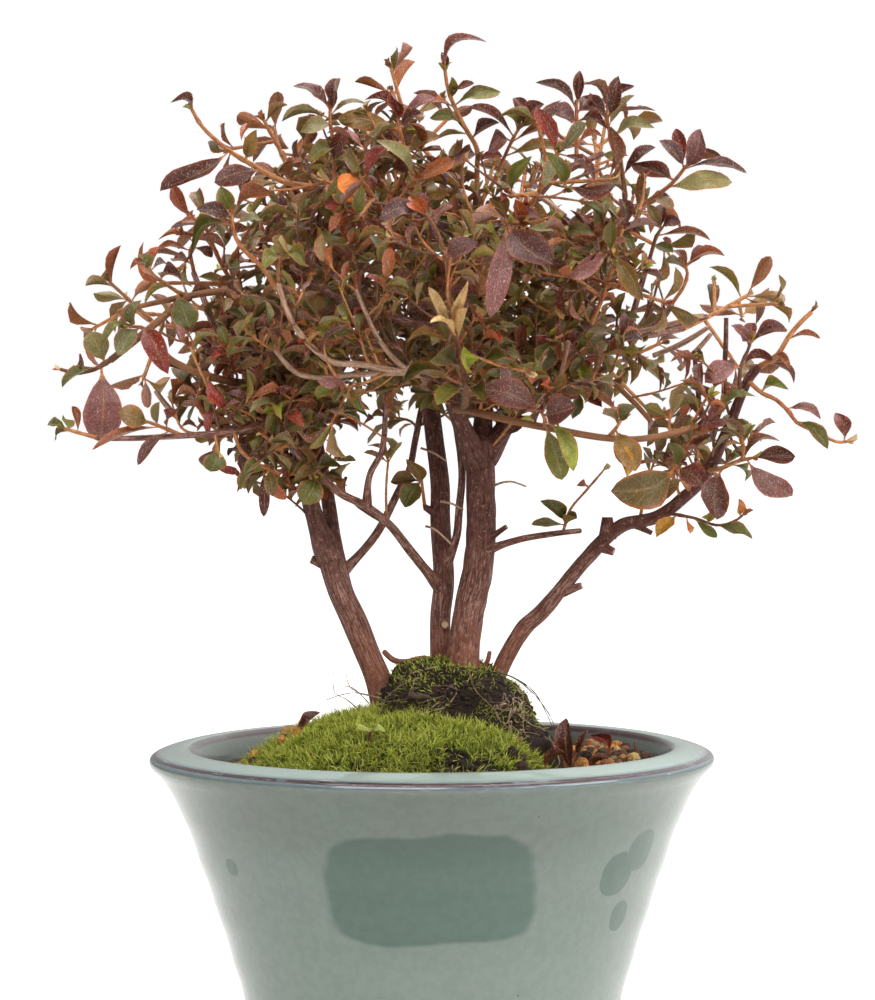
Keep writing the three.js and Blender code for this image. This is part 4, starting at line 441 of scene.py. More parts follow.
    "right_edge_twig": sprig(0.8, 0.6, [[79, 11, 265], [82, 10, 269], [83, 9, 273], [82, 9, 276]], [
        [1, 94, 6, 280, 3.4, 40, 1, "bronze"], [1, 89, 12, 282, 4, 60, 1, "purple"],
        [1, 75, 4, 276, 3.6, 50, 1, "green"], [1, 79, 10, 281, 3.4, 50, 1, "bronze"],
    ]),
    "front_centre_top": sprig(0.9, 0.7, [[27, -19, 290], [24, -38, 288], [23, -56, 286], [23, -70, 285]], [
        [1, 36, -82, 272, 10, 80, 1, "purple"], [1, 18, -84, 259, 6.6, 70, 2, "purple"],
        [0.9, 32, -70, 287, 5.4, 60, 1, "purple"], [1, 14, -78, 288, 5.4, 55, 1, "bronze"],
        [0.7, 18, -56, 293, 4.8, 55, 1, "olive"],
    ]),
    "front_orange_shoot": sprig(1.2, 0.8, [[8, -20, 231], [11, -44, 233], [10, -62, 241], [8, -70, 251],
        [6, -74, 261], [5, -76, 272], [3, -76, 280], [-1, -75, 287]], [
        [0.33, 1, -80, 244, 6.2, 70, 1, "grey"], [0.38, 9, -82, 248, 5.2, 70, 1, "lime"],
        [0.34, 22, -76, 245, 4.8, 50, 1, "green"], [0.3, 3, -80, 233, 5.4, 65, 1, "green"],
        [0.32, -9, -74, 236, 4.2, 40, 2, "green"], [0.28, 16, -70, 233, 4.6, 55, 1, "green"],
        [0.6, 1, -82, 265, 3.2, 60, 0, "pale"], [0.6, 10, -84, 265, 3.2, 60, 0, "pale"],
        [0.6, 3, -86, 258, 3.2, 50, 0, "pale"], [0.6, 11, -82, 259, 3.4, 50, 0, "pale"],
        [0.86, 13, -88, 278, 6, 80, 1, "purple"], [1, -14, -80, 287, 6.4, 60, 1, "purple"],
        [1, -5, -76, 293, 4.4, 60, 1, "bronze"], [0.95, 6, -82, 289, 4.6, 55, 1, "purple"],
    ]),
    "front_purple_pair": sprig(0.9, 0.7, [[35, -44, 224], [35, -47, 226], [34, -51, 228]], [
        [1, 17, -60, 236, 9, 70, 1, "purple"], [1, 44, -60, 230, 9, 78, 1, "purple"],
        [0.2, 40, -50, 208, 7, 82, 1, "green"], [0.4, 43, -56, 213, 5.4, 65, 2, "lime"],
    ]),
    "front_right_hanging": sprig(0.8, 0.6, [[55, -44, 222], [57, -47, 224], [58, -48, 226]], [
        [0.5, 62, -52, 212, 8, 82, 1, "olive"], [0.3, 60, -48, 209, 4.6, 65, 3, "yellow"],
        [1, 52, -54, 228, 5, 65, 1, "olive"], [1, 62, -50, 230, 5, 65, 1, "green"],
        [1, 55, -40, 231, 4.4, 50, 1, "bronze"],
    ]),
    "right_purple_leaf": sprig(0.9, 0.6, [[96, -28, 232], [96, -31, 236], [96, -33, 242], [98, -35, 247],
        [99, -35, 250]], [
        [1, 93, -38, 255, 4.8, 70, 2, "maroon"], [1, 110, -36, 254, 4.8, 60, 3, "maroon"],
        [0.6, 85, -40, 238, 6.6, 75, 1, "purple"], [0.55, 106, -30, 246, 3.6, 40, 2, "maroon"],
        [0.9, 100, -30, 256, 4, 60, 0, "maroon"],
    ]),
    "right_top_shoot": sprig(1.1, 0.9, [[103, -26, 242], [108, -28, 246], [111, -29, 251], [114, -30, 255],
        [118, -31, 259]], [
        [0.5, 121, -30, 252, 2.2, 40, 1, "bronze"], [0.1, 111, -34, 243, 3, 40, 1, "bronze"],
        [0.05, 115, -24, 239, 3, 40, 1, "maroon"],
    ]),
    "far_right_shoot": sprig(0.9, 0.6, [[100, -29, 236], [103, -31, 234], [107, -33, 232], [111, -35, 228],
        [113, -36, 225], [119, -37, 222], [125, -38, 219], [128, -38, 219]], [
        [0.42, 120, -40, 226, 4.6, 60, 2, "purple"], [0.55, 122, -42, 218, 4.4, 60, 2, "green"],
        [1, 125, -38, 228, 4.6, 70, 3, "maroon"], [0.15, 110, -36, 236, 3.6, 50, 2, "green"],
    ]),
    "right_low_leaves": sprig(1.0, 0.7, [[87, -23, 209], [91, -29, 211], [95, -33, 213], [99, -35, 214]], [
        [1, 112, -40, 215, 5.4, 60, 0, "maroon"], [1, 111, -42, 203, 7.4, 75, 1, "purple"],
        [0.4, 88, -40, 195, 8.4, 85, 1, "maroon"], [0.9, 107, -34, 221, 3.6, 45, 1, "bronze"],
        [0.6, 99, -26, 207, 3.4, 50, 2, "green"],
    ]),
    "right_low_twig": sprig(0.7, 0.5, [[73, -18, 195], [78, -22, 196], [83, -25, 195], [89, -27, 193],
        [94, -28, 194], [97, -28, 196]], [
        [0.15, 71, -24, 190, 4.6, 75, 1, "yellow"], [0.4, 89, -30, 189, 3, 50, 1, "green"],
        [0.65, 100, -30, 189, 4.4, 70, 1, "green"], [0.6, 88, -32, 198, 3, 60, 1, "lime"],
        [1, 96, -30, 201, 2.8, 60, 1, "orange"], [0.3, 82, -20, 190, 2.4, 50, 1, "orange"],
    ]),
    "right_big_leaf": sprig(1.0, 0.8, [[80, -22, 204], [78, -28, 208], [76, -32, 212]], [
        [1, 57, -44, 205, 12, 85, 1, "olive"], [1, 84, -40, 206, 7.6, 75, 1, "maroon"],
        [1, 73, -38, 219, 5, 65, 1, "green"], [0.6, 70, -36, 202, 4.6, 70, 1, "olive"],
    ]),
    "inner_right_twig": sprig(0.6, 0.4, [[41, -15, 192], [44, -18, 198], [49, -20, 204], [54, -22, 210]], [
        [0.1, 36, -22, 200, 4.4, 75, 1, "green"], [0.1, 32, -18, 194, 3.4, 50, 1, "grey"],
        [0.05, 46, -24, 195, 3.2, 50, 1, "green"], [0.7, 46, -24, 206, 2.4, 40, 1, "bronze"],
    ]),
    "trunk_side_leaf": sprig(0.7, 0.6, [[-1, 1, 206], [-3, -3, 207]], [
        [1, -8, -8, 199, 6.8, 82, 1, "green"], [1, -13, -6, 206, 5, 60, 1, "olive"],
        [1, -6, -10, 213, 4.2, 60, 1, "olive"],
    ]),
}

# The one leaf in front that has turned orange: foot, tip, roll, width, bow, colour.
ORANGE_LEAF = [[-20.6, -61.4, 298.4], [-27.4, -67.0, 295.8], 90, 6.8, 0.4, "orange"]

# How the crown sprays grow, in millimetres and degrees.
MAIN_TWIG = {"length": [30, 38], "r": [1.0, 0.8], "steps": 2, "leaves": 5}
SIDE_TWIG = {"length": [17, 24], "r": [0.85, 0.85, 0.7], "neck": 2, "opening": [48, 66], "leaves": 3}
SIDE_TWIG_SHARES = [0.3, 0.46, 0.66, 0.84]
LIFT = 0.35
CAD_GAP = 0.3
LEAF_SIZE = [12, 15.5]
LEAF_OPENING = [46, 82]
ROOT_SPACING = 0.7
FIRST_ROOT = 0.6
SAMPLE_ROWS = 6
WOOD_CLEARANCE = 1.5
CELL_MARGIN = 1.6
BLADE_CLEARANCE = 2.4
REACH_MARGIN = 12

# Leaf colours as [red, green, blue] of sRGB, and how green a leaf's heart stays.
TINTS = {
    "maroon": [[88, 36, 32], 0.15], "bronze": [[142, 76, 38], 0.3], "olive": [[116, 94, 38], 0.5],
    "grey": [[120, 124, 80], 0.5], "green": [[90, 100, 32], 0.85], "purple": [[108, 68, 72], 0.1],
    "red": [[132, 40, 30], 0.1], "orange": [[226, 140, 34], 0.0], "yellow": [[208, 172, 60], 0.1],
    "lime": [[146, 162, 54], 0.7], "pale": [[196, 178, 130], 0.5], "sprout": [[158, 190, 92], 0.0],
}
# The colours of the crown's leaves, each as often as it is named.
CROWN_TINTS = [
    *["maroon"] * 3, *["bronze"] * 2, *["olive"] * 2, *["green"] * 2, "grey", "purple", "red",
]
INNER_TINTS = ["green", "green", "green", "green", "olive", "olive", "bronze", "maroon", "lime", "grey"]
OUTER_TINTS = ["maroon", "maroon", "purple", "bronze", "bronze", "olive", "green", "green", "grey", "red"]
HEART_TINTS = ["lime", "pale", "bronze", "bronze", "olive", "red"]


# ---------------------------------------------------------------- seeded draws

def draw(*keys):
    """The same number from 0 to 1 for the same whole-number keys."""
    state = 0x2545F491
    for key in keys:
        state = ((state ^ (key + 0x7F4A7C15)) * 0x85EBCA6B) & 0xFFFFFFFF
        state ^= state >> 13
        state = (state * 0xC2B2AE35) & 0xFFFFFFFF
        state ^= state >> 16
    return state / 4294967296


def between(low, high, *keys):
    return low + (high - low) * draw(*keys)


# ---------------------------------------------------------------- directions and lines

def unit(v):
    return v / np.linalg.norm(v)


def lengths_of(ways):
    return np.linalg.norm(ways, axis=1)[:, None]


def squared(axis, along):
    """The part of an axis that stands square to a unit direction, at unit length."""
    return unit(axis - along * np.dot(axis, along))


def turned_from(heading, angle, turn):
    """A direction at an angle from the heading, at a turn round it, in degrees."""
    across = squared(REFERENCE, heading)
    up = np.cross(heading, across)
    angle, turn = math.radians(angle), math.radians(turn)
    out = across * math.cos(turn) + up * math.sin(turn)
    return heading * math.cos(angle) + out * math.sin(angle)


def leaf_normal(reach, roll):
    """The upper face of a blade along reach, turned from level (0) to facing the front (90)."""
    along, roll = unit(reach), math.radians(roll)
    level = np.array([0, 0, 1]) - along * along[2]
    front = np.array([0, -1, 0]) + along * along[1]
    return unit(level * math.cos(roll) + front * math.sin(roll))


def run_of(points):
    """The distance along a row of points at each of them."""
    steps = np.linalg.norm(np.diff(points, axis=0), axis=1)
    return np.append(0, np.cumsum(steps))


def point_along(points, share):
    """The point at a share of the way along a row of points."""
    run = run_of(points)
    at = share * run[-1]
    return np.array([np.interp(at, run, np.asarray(points)[:, k]) for k in range(3)])


def heading_along(points, share):
    return unit(point_along(points, min(share + 0.06, 1)) - point_along(points, max(share - 0.06, 0)))


def smooth_line(points, step):
    """Points about a step apart on a smooth curve through the given ones."""
    points = np.asarray(points, float)
    run = run_of(points)
    if len(points) == 2:
        share = np.linspace(0, 1, max(3, math.ceil(run[-1] / step) + 1))[:, None]
        return points[0] * (1 - share) + points[1] * share
    slopes = np.empty_like(points)
    slopes[1:-1] = (points[2:] - points[:-2]) / (run[2:] - run[:-2])[:, None]
    slopes[0] = 1.5 * (points[1] - points[0]) / run[1] - 0.5 * slopes[1]
    slopes[-1] = 1.5 * (points[-1] - points[-2]) / (run[-1] - run[-2]) - 0.5 * slopes[-2]
    pieces = []
    for i, length in enumerate(np.diff(run)):
        t = np.linspace(0, 1, max(2, math.ceil(length / step) + 1))[:-1, None]
        pieces.append(
            points[i] * (2 * t**3 - 3 * t**2 + 1) + points[i + 1] * (3 * t**2 - 2 * t**3)
            + slopes[i] * length * (t**3 - 2 * t**2 + t) + slopes[i + 1] * length * (t**3 - t**2)
        )
    return np.concatenate([*pieces, points[-1:]])


def limb_radii(limb):
    run = run_of(limb["at"])
    return limb["r"][0] + (limb["r"][1] - limb["r"][0]) * run / run[-1]


# ---------------------------------------------------------------- meshes

# Which of a piece's finishes a face has.
EARTH = FOLIAGE = 0
STRAND = SHOOT = 1
HAIR = 2


class Shape:
    """Points, faces and per-point values that grow into one mesh object."""

    def __init__(self, **value_sizes):
        self.value_sizes = value_sizes
        self.values = {name: [] for name in value_sizes}
        self.points, self.faces, self.finishes, self.count = [], [], [], 0

    def add(self, points, faces, finish=0, **values):
        """Adds points in millimetres, and faces whose rows are triangles or quads."""
        points = np.asarray(points, float)
        self.points.append(points)
        for block in faces if isinstance(faces, list) else [faces]:
            self.faces.append(np.asarray(block, int) + self.count)
            self.finishes.append(np.full(len(block), finish))
        self.count += len(points)
        for name, size in self.value_sizes.items():
            given = np.asarray(values.get(name, np.zeros(size)), float)
            shape = (len(points), size) if size > 1 else (len(points),)
            self.values[name].append(np.broadcast_to(given, shape))

    def object(self, name, materials, smooth=True):
        """The mesh object, in metres, linked to the scene."""
        mesh = bpy.data.meshes.new(name)
        corners = np.concatenate([block.ravel() for block in self.faces])
        sizes = np.concatenate([np.full(len(block), block.shape[1]) for block in self.faces])
        mesh.vertices.add(self.count)
        mesh.vertices.foreach_set("co", (np.concatenate(self.points) * MM).ravel())
        mesh.loops.add(len(corners))
        mesh.loops.foreach_set("vertex_index", corners)
        mesh.polygons.add(len(sizes))
        mesh.polygons.foreach_set("loop_start", np.concatenate([[0], np.cumsum(sizes)[:-1]]))
        for material in materials:
            mesh.materials.append(material)
        mesh.polygons.foreach_set("material_index", np.concatenate(self.finishes))
        mesh.polygons.foreach_set("use_smooth", np.full(len(sizes), smooth))
        mesh.update(calc_edges=True)
        kinds = {1: ("FLOAT", "value"), 3: ("FLOAT_VECTOR", "vector"), 4: ("FLOAT_COLOR", "color")}
        for value, size in self.value_sizes.items():
            kind, field = kinds[size]
            attribute = mesh.attributes.new(value, kind, "POINT")
            attribute.data.foreach_set(field, np.concatenate(self.values[value]).ravel())
        made = bpy.data.objects.new(name, mesh)
        bpy.context.scene.collection.objects.link(made)
        return made


def place_piece(piece, slot, *nodes):
    """The piece stands for these nodes, which are hidden, and hangs under the root body. The slot is not
    used.
    """
    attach(piece, "root")
    if nodes:
        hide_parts(*nodes)


def circle(count):
    """Angles evenly round a circle, in radians."""
    return 2 * math.pi * np.arange(count) / count


def polar(radius, turn, *height):
    """Points from their radius and turn and, where it is given, their height."""
    flat = radius * np.cos(turn), radius * np.sin(turn)
    return np.stack(np.broadcast_arrays(*flat, *height), axis=-1)


def ring_round(way, across, sides):
    """Unit directions evenly round a way, from across on."""
    angles = circle(sides)
    return np.outer(np.cos(angles), across) + np.outer(np.sin(angles), np.cross(way, across))


def ring_faces(rings, sides):
    """Quads between rings of points in a row."""
    i, j = np.meshgrid(np.arange(rings - 1), np.arange(sides), indexing="ij")
    a, b = i * sides + j, i * sides + (j + 1) % sides
    return np.stack([a, b, b + sides, a + sides], axis=-1).reshape(-1, 4)


def sheet_faces(rows, columns):
    """Quads of an open sheet of points in rows."""
    i, j = np.meshgrid(np.arange(rows - 1), np.arange(columns - 1), indexing="ij")
    a = (i * columns + j).ravel()
    return np.stack([a, a + columns, a + columns + 1, a + 1], axis=-1)


def fan_faces(centre, first, sides, turned_out=True):
    j = np.arange(sides)
    fan = [np.full(sides, centre), first + j, first + (j + 1) % sides]
    return np.stack(fan if turned_out else [fan[0], fan[2], fan[1]], axis=-1)


def closed_rings(rings, sides):
    """Faces of rings with a fan over each end; the two middles are the last points."""
    return [
        ring_faces(rings, sides), fan_faces(rings * sides, 0, sides, turned_out=False),
        fan_faces(rings * sides + 1, (rings - 1) * sides, sides),
    ]


def tube(line, radii, sides):
    """A closed round bar along a line: its points, faces, and [around, around, along] places.

    radii is one number for each point of the line, or one row for each.
    """
    line, radii = np.asarray(line, float), np.asarray(radii, float)
    radii = radii[:, None] * np.ones(sides) if radii.ndim == 1 else radii
    along = np.gradient(line, axis=0)
    along /= lengths_of(along)
    across, rings = REFERENCE, []
    for middle, way, radius in zip(line, along, radii):
        across = squared(across, way)
        rings.append(middle + ring_round(way, across, sides) * radius[:, None])
    points = np.concatenate([*rings, line[:1], line[-1:]])
    run = run_of(line)
    places = polar(radii, circle(sides), run[:, None]).reshape(-1, 3)
    places = np.concatenate([places, [[0, 0, run[0]], [0, 0, run[-1]]]])
    return points, closed_rings(len(line), sides), places


def add_bar(shape, value, line, radii, sides, last):
    """A bar in the shape's second finish. Its places are kept under value, with a last number."""
    points, faces, places = tube(line, radii, sides)
    shape.add(points, faces, SHOOT, **{value: np.insert(places, 3, last, axis=1)})


def rounded_end(line, radii):
    """The same line with a few narrowing rings on its end."""
    way, last = unit(line[-1] - line[-2]), radii[-1]
    more = [line[-1] + way * last * out for out in (0.35, 0.6, 0.72)]
    return np.concatenate([line, more]), np.concatenate([radii, [last * 0.86, last * 0.55, last * 0.22]])


def lathe(outline, sides, shake=None):
    """A turned surface from its [radius, height] outline, open or closed on the axis."""
    outline = np.asarray(outline, float)
    angles = circle(sides)
    radius, height = outline[:, :1] * np.ones(sides), outline[:, 1:] * np.ones(sides)
    if shake is not None:
        radius, height = shake(radius, height, angles)
    return polar(radius, angles, height).reshape(-1, 3), ring_faces(len(outline), sides)


def ball_patch(rows, columns):
    """Unit directions over a ball, row by row, with its faces."""
    tilt = np.linspace(0, math.pi, rows + 2)[1:-1, None]
    rings = polar(np.sin(tilt), circle(columns), -np.cos(tilt)).reshape(-1, 3)
    return np.concatenate([rings, [[0, 0, -1], [0, 0, 1]]]), closed_rings(rows, columns)


def ripple(values, seed, waves=5):
    """A smooth uneven number between about -1 and 1 over 2-D or 3-D points."""
    rng = np.random.default_rng(seed)
    total = np.zeros(values.shape[:-1])
    for k in range(waves):
        way = rng.normal(size=values.shape[-1])
        total += np.sin(values @ (way / np.linalg.norm(way)) * 1.6**k + rng.uniform(0, 6.3)) / 1.3**k
    return total / 3


# ---------------------------------------------------------------- leaves

# Rows and columns of a leaf's face, from the curled leaf to those deep in the crown.
CURLED_LEAF = (22, 11)
FINE_LEAF = (12, 7)
CROWN_LEAF = (9, 5)
SMALL_LEAF = (6, 5)
DEEP_LEAF = (7, 3)
HEART_LEAF = (5, 3)
DEEP_HEART_LEAF = (4, 3)
PETIOLE_SHARE = 0.17
LEAF_VALUES = {"leaf_place": 4, "leaf_tint": 4}


def linear(rgb):
    """A colour from sRGB numbers up to 255 to the values that light adds up in."""
    share = np.asarray(rgb, float) / 255
    return np.where(share <= 0.04045, share / 12.92, ((share + 0.055) / 1.055) ** 2.4)


def leaf_style(rng, young=False):
    """The small differences between one leaf and the next."""
    return {
        "belly": rng.uniform(0.9, 1.25), "point": rng.uniform(0.55, 0.9),
        "fold": rng.uniform(0.35, 1.0) * (1.3 if young else 1), "cup": rng.uniform(-0.3, 0.6),
        "twist": rng.normal(0, 0.75), "sway": rng.normal(0, 0.08), "droop": rng.uniform(-0.05, 0.3),
        "wave": rng.uniform(0.05, 0.22), "phase": rng.uniform(0, 6.3), "thickness": 0.26,
        "shade": rng.lognormal(0, 0.26), "warmth": rng.normal(0, 0.08), "random": rng.random(),
    }


def single_leaf(foot, tip, roll, width, bow, tint):
    """A leaf by its foot and tip, its roll from level and its bow."""
    foot, tip = np.array(foot, float), np.array(tip, float)
    normal = leaf_normal(tip - foot, roll)
    return {"foot": foot, "tip": tip, "normal": normal, "width": width, "bow": bow, "tint": tint}


def add_leaf(shape, leaf, style, grid):
    """One leaf: a stalk, a blade widest past its middle, folded up along the midrib."""
    rows, columns = grid
    foot, tip = np.asarray(leaf["foot"], float), np.asarray(leaf["tip"], float)
    reach = tip - foot
    length = np.linalg.norm(reach)
    v = (1 - np.cos(math.pi * np.linspace(0, 1, rows))) / 2 * 0.6 + np.linspace(0, 1, rows) * 0.4
    u = np.linspace(-1, 1, columns)
    blade = np.clip((v - PETIOLE_SHARE) / (1 - PETIOLE_SHARE), 0, 1)
    widest = style["belly"] / (style["belly"] + style["point"])
    peak = widest ** style["belly"] * (1 - widest) ** style["point"]
    half = leaf["width"] / 2 * blade ** style["belly"] * (1 - blade) ** style["point"] / peak
    half = half + (0.03 * leaf["width"] + 0.1) * (1 - v) ** 0.5 * (v < 0.999)

    side = unit(np.cross(reach, leaf["normal"]))
    face = unit(np.cross(side, reach))
    twist = style["twist"] * (v - 0.3)
    sides = np.outer(np.cos(twist), side) + np.outer(np.sin(twist), face)
    ups = np.outer(np.cos(twist), face) - np.outer(np.sin(twist), side)
    lift = leaf["bow"] * 4 * v * (1 - v) - style["droop"] * length * np.clip((v - 0.55) / 0.45, 0, 1) ** 2
    middle = foot + np.outer(v, reach) + np.outer(lift, face)
    middle += np.outer(style["sway"] * length * np.sin(math.pi * v), side)
    across = half[:, None] * u
    raised = np.abs(across) * style["fold"] + half[:, None] * style["cup"] * u**2
    raised += half[:, None] * np.abs(u) * style["wave"] * np.sin(13 * v[:, None] + style["phase"] + 2 * u)
    top = middle[:, None] + across[..., None] * sides[:, None] + raised[..., None] * ups[:, None]
    depth = style["thickness"] * (1 - u**2) * (0.4 + 0.6 * (half / half.max())[:, None])
    depth = depth + 0.22 * np.exp(-((u / 0.16) ** 2)) * (1 - 0.7 * v[:, None])
    bottom = top - depth[..., None] * ups[:, None]

    points = np.concatenate([top.reshape(-1, 3), bottom.reshape(-1, 3)])
    quads = sheet_faces(rows, columns)
    under = quads[:, [0, 3, 2, 1]] + rows * columns
    place = np.empty((2, rows, columns, 4))
    place[..., 0] = u * 0.5 + 0.5
    place[..., 1] = v[:, None]
    place[0, ..., 2], place[1, ..., 2] = 0, 1
    place[..., 3] = style["random"]
    colour, heart = TINTS[leaf["tint"]]
    tint = linear(colour) * style["shade"] * (1 + style["warmth"] * np.array([1, 0, -1]))
    shape.add(
        points, [quads, under], FOLIAGE,
        leaf_place=place.reshape(-1, 4), leaf_tint=np.append(np.clip(tint, 0.004, 0.9), heart),
    )
    return top


def add_hairs(shape, roots, ways, length, rng):
    """Fine hairs, each a narrow triangle that stands out from its root."""
    count = len(roots)
    ways = ways + rng.normal(0, 0.35, (count, 3))
    ways /= lengths_of(ways)
    flat = np.cross(ways, rng.normal(size=(count, 3)))
    flat /= lengths_of(flat)
    lengths = length * rng.uniform(0.5, 1.2, (count, 1))
    points = np.stack([roots + flat * 0.045, roots - flat * 0.045, roots + ways * lengths], axis=1)
    shape.add(points.reshape(-1, 3), np.arange(3 * count).reshape(-1, 3), HAIR)


def add_leaf_hairs(shape, top, count, length, rng):
    """Hairs along both margins of a leaf's face and on its midrib."""
    rows, columns = top.shape[:2]
    row = rng.integers(2, rows - 1, count)
    column = rng.choice([0, columns - 1, columns // 2], count, p=[0.42, 0.42, 0.16])
    share = rng.random((count, 1))
    roots = top[row - 1, column] * (1 - share) + top[row, column] * share
    middle = top[row, columns // 2]
    outward = roots - middle
    rise = np.cross(top[row, columns // 2] - top[row - 1, columns // 2], outward)
    tipward = top[-1, columns // 2] - top[0, columns // 2]
    ways = outward / (lengths_of(outward) + 1e-6) + 0.6 * unit(tipward)
    ways += 0.3 * rise / (lengths_of(rise) + 1e-6)
    add_hairs(shape, roots, ways, length, rng)


def add_shoot_hairs(shape, line, radii, density, length, rng):
    """Hairs all round a shoot."""
    run = run_of(line)
    count = max(4, int(run[-1] * density))
    at = rng.uniform(0, run[-1], count)
    roots = np.stack([np.interp(at, run, line[:, k]) for k in range(3)], axis=-1)
    ways = rng.normal(size=(count, 3))
    along = unit(line[-1] - line[0])
    ways -= np.outer(ways @ along, along)
    ways /= lengths_of(ways)
    roots += ways * np.interp(at, run, radii)[:, None] * 0.9
    add_hairs(shape, roots, ways + 0.5 * along, length, rng)


# ---------------------------------------------------------------- where the twigs and leaves stand

def bars_of(points, radii):
    """Straight bars between points: starts, ends and radii."""
    points, radii = np.asarray(points, float), np.asarray(radii, float)
    return points[:-1], points[1:], np.maximum(radii[:-1], radii[1:])


def joined_bars(groups):
    return tuple(np.concatenate(parts) for parts in zip(*groups))


def nearest_on(points, bars):
    """For each point, the nearest point on each bar."""
    a, b, _ = bars
    run = b - a
    share = np.einsum("pbk,bk->pb", points[:, None] - a, run) / np.einsum("bk,bk->b", run, run)
    return a + np.clip(share, 0, 1)[..., None] * run


def distances(points, bars):
    """The distance from each point to the surface of the nearest bar."""
    if not len(bars[2]):
        return np.full(len(points), np.inf)
    return (np.linalg.norm(points[:, None] - nearest_on(points, bars), axis=-1) - bars[2]).min(axis=1)


def near_by(bars, centre, reach):
    gap = np.linalg.norm(centre - nearest_on(centre[None], bars)[0], axis=-1) - bars[2]
    keep = gap < reach
    return bars[0][keep], bars[1][keep], bars[2][keep]


def wood_bars():
    limbs = [*TRUNKS.values(), *FORKS.values(), *LIMBS.values(), *CROWN_LIMBS.values(), *STUBS]
    return joined_bars([bars_of(limb["at"], limb_radii(limb)) for limb in limbs])


def seated_points(plan, wood):
    """The spray's main twig, from the middle of the limb that bears it to its end."""
    points = np.asarray(plan["at"], float)
    on_bars = nearest_on(points[:1], wood)[0]
    start = on_bars[np.argmin(np.linalg.norm(points[0] - on_bars, axis=-1) + wood[2])]
    way = unit(points[1] - start)
    out = 0.3
    while out < 8 and distances((start + way * out)[None], wood)[0] < plan["r"][0]:
        out += 0.1
    return start, np.concatenate([[start + way * out], points[1:]])


def chosen_spray(plan, wood):
    start, points = seated_points(plan, wood)
    length, leaves = run_of(points)[-1], []
    for i, (share, x, y, z, width, roll, bow, tint) in enumerate(plan["leaves"]):
        below = sum(other[0] == share for other in plan["leaves"][:i])
        foot = point_along(points, share - (FIRST_ROOT + ROOT_SPACING * below) / length)
        leaves.append(single_leaf(foot, [x, y, z], roll, width, bow, tint))
    twig = {"points": points, "radii": limb_radii({"r": plan["r"], "at": points}), "from": start}
    return {"twigs": [twig], "leaves": leaves}


def rising_twig(start, heading, length, radii, steps, *keys):
    """A twig that sets out along heading and lifts towards the light."""
    points, way = [np.asarray(start, float)], heading
    for i in range(steps):
        way = turned_from(way, between(4, 18, *keys, i, 1), between(0, 360, *keys, i, 2))
        way = unit(way + np.array([0, 0, LIFT / steps]))
        points.append(points[-1] + way * length / steps)
    return {"points": np.array(points), "radii": np.linspace(radii[0], radii[1], steps + 1), "way": way}


def crown_twigs(limb, number):
    """The main twig and side twigs that go on from the end of a crown limb."""
    before, end = np.asarray(limb["at"][-2:], float)
    heading = unit(end - before)
    reach = between(*MAIN_TWIG["length"], number, 0)
    start, steps = end + heading * CAD_GAP, MAIN_TWIG["steps"]
    main = rising_twig(start, heading, reach, MAIN_TWIG["r"], steps, number, 1)
    main["from"] = end - heading
    sides = []
    for j, share in enumerate(SIDE_TWIG_SHARES):
        turn = between(0, 360, number, 2) + j * GOLDEN_ANGLE
        way = turned_from(heading, between(*SIDE_TWIG["opening"], number, 3, j), turn)
        length = between(*SIDE_TWIG["length"], number, 4, j) * (1.1 - 0.4 * share)
        root = point_along(main["points"], share)
        outs = np.array([0, SIDE_TWIG["neck"], length])
        sides.append({"points": root + np.outer(outs, way), "radii": np.array(SIDE_TWIG["r"]), "way": way})
    return [main, *sides]


def rosette(end, heading, count, size, *keys):
    """Leaves that stand round the end of a twig and open away from it."""
    spin, leaves = between(0, 360, *keys, 11), []
    for k in range(count):
        turn = spin + k * 360 / count + between(-14, 14, *keys, 12, k)
        way = turned_from(heading, between(*LEAF_OPENING, *keys, 13, k), turn)
        length = size * between(0.8, 1.2, *keys, 14, k)
        foot = end - heading * (FIRST_ROOT + ROOT_SPACING * k)
        leaves.append({
            "foot": foot, "tip": foot + way * length, "normal": squared(heading, way),
            "width": length * between(0.34, 0.44, *keys, 15, k, 21),
            "bow": length * between(0.02, 0.12, *keys, 15, k, 22),
            "tint": CROWN_TINTS[int(len(CROWN_TINTS) * draw(*keys, 15, k, 23))],
        })
    return leaves


def blade_samples(leaf):
    """Points over a blade, three to a row from near its foot to its tip."""
    reach = leaf["tip"] - leaf["foot"]
    side = unit(np.cross(reach, leaf["normal"]))
    share = np.arange(1, SAMPLE_ROWS + 1) / SAMPLE_ROWS
    half = leaf["width"] * 0.5 * np.minimum(1, np.minimum(2 * share, 3.2 * (1 - share)))
    middle = leaf["foot"] + np.outer(share, reach)
    middle = middle + np.outer(leaf["bow"] * 4 * share * (1 - share), leaf["normal"])
    return (middle[:, None] + np.array([-1, 0, 1])[:, None] * (half[:, None, None] * side)).reshape(-1, 3)


def is_clear(leaf, own, others, wood, placed):
    """True where a blade keeps to its own spray's side, clear of wood and of other blades."""
    samples = blade_samples(leaf)
    middle = samples[len(samples) // 2]
    reach = np.linalg.norm(leaf["tip"] - leaf["foot"]) + REACH_MARGIN
    own, others, wood = (near_by(bars, middle, reach) for bars in (own, others, wood))
    if (distances(samples, wood) < WOOD_CLEARANCE).any():
        return False
    if (distances(samples, others) < distances(samples, own) + CELL_MARGIN).any():
        return False
    close = placed[np.linalg.norm(placed - middle, axis=1) < reach]
    gaps = np.linalg.norm(close[:, None] - samples[3:], axis=-1)
    return not (gaps < BLADE_CLEARANCE).any()


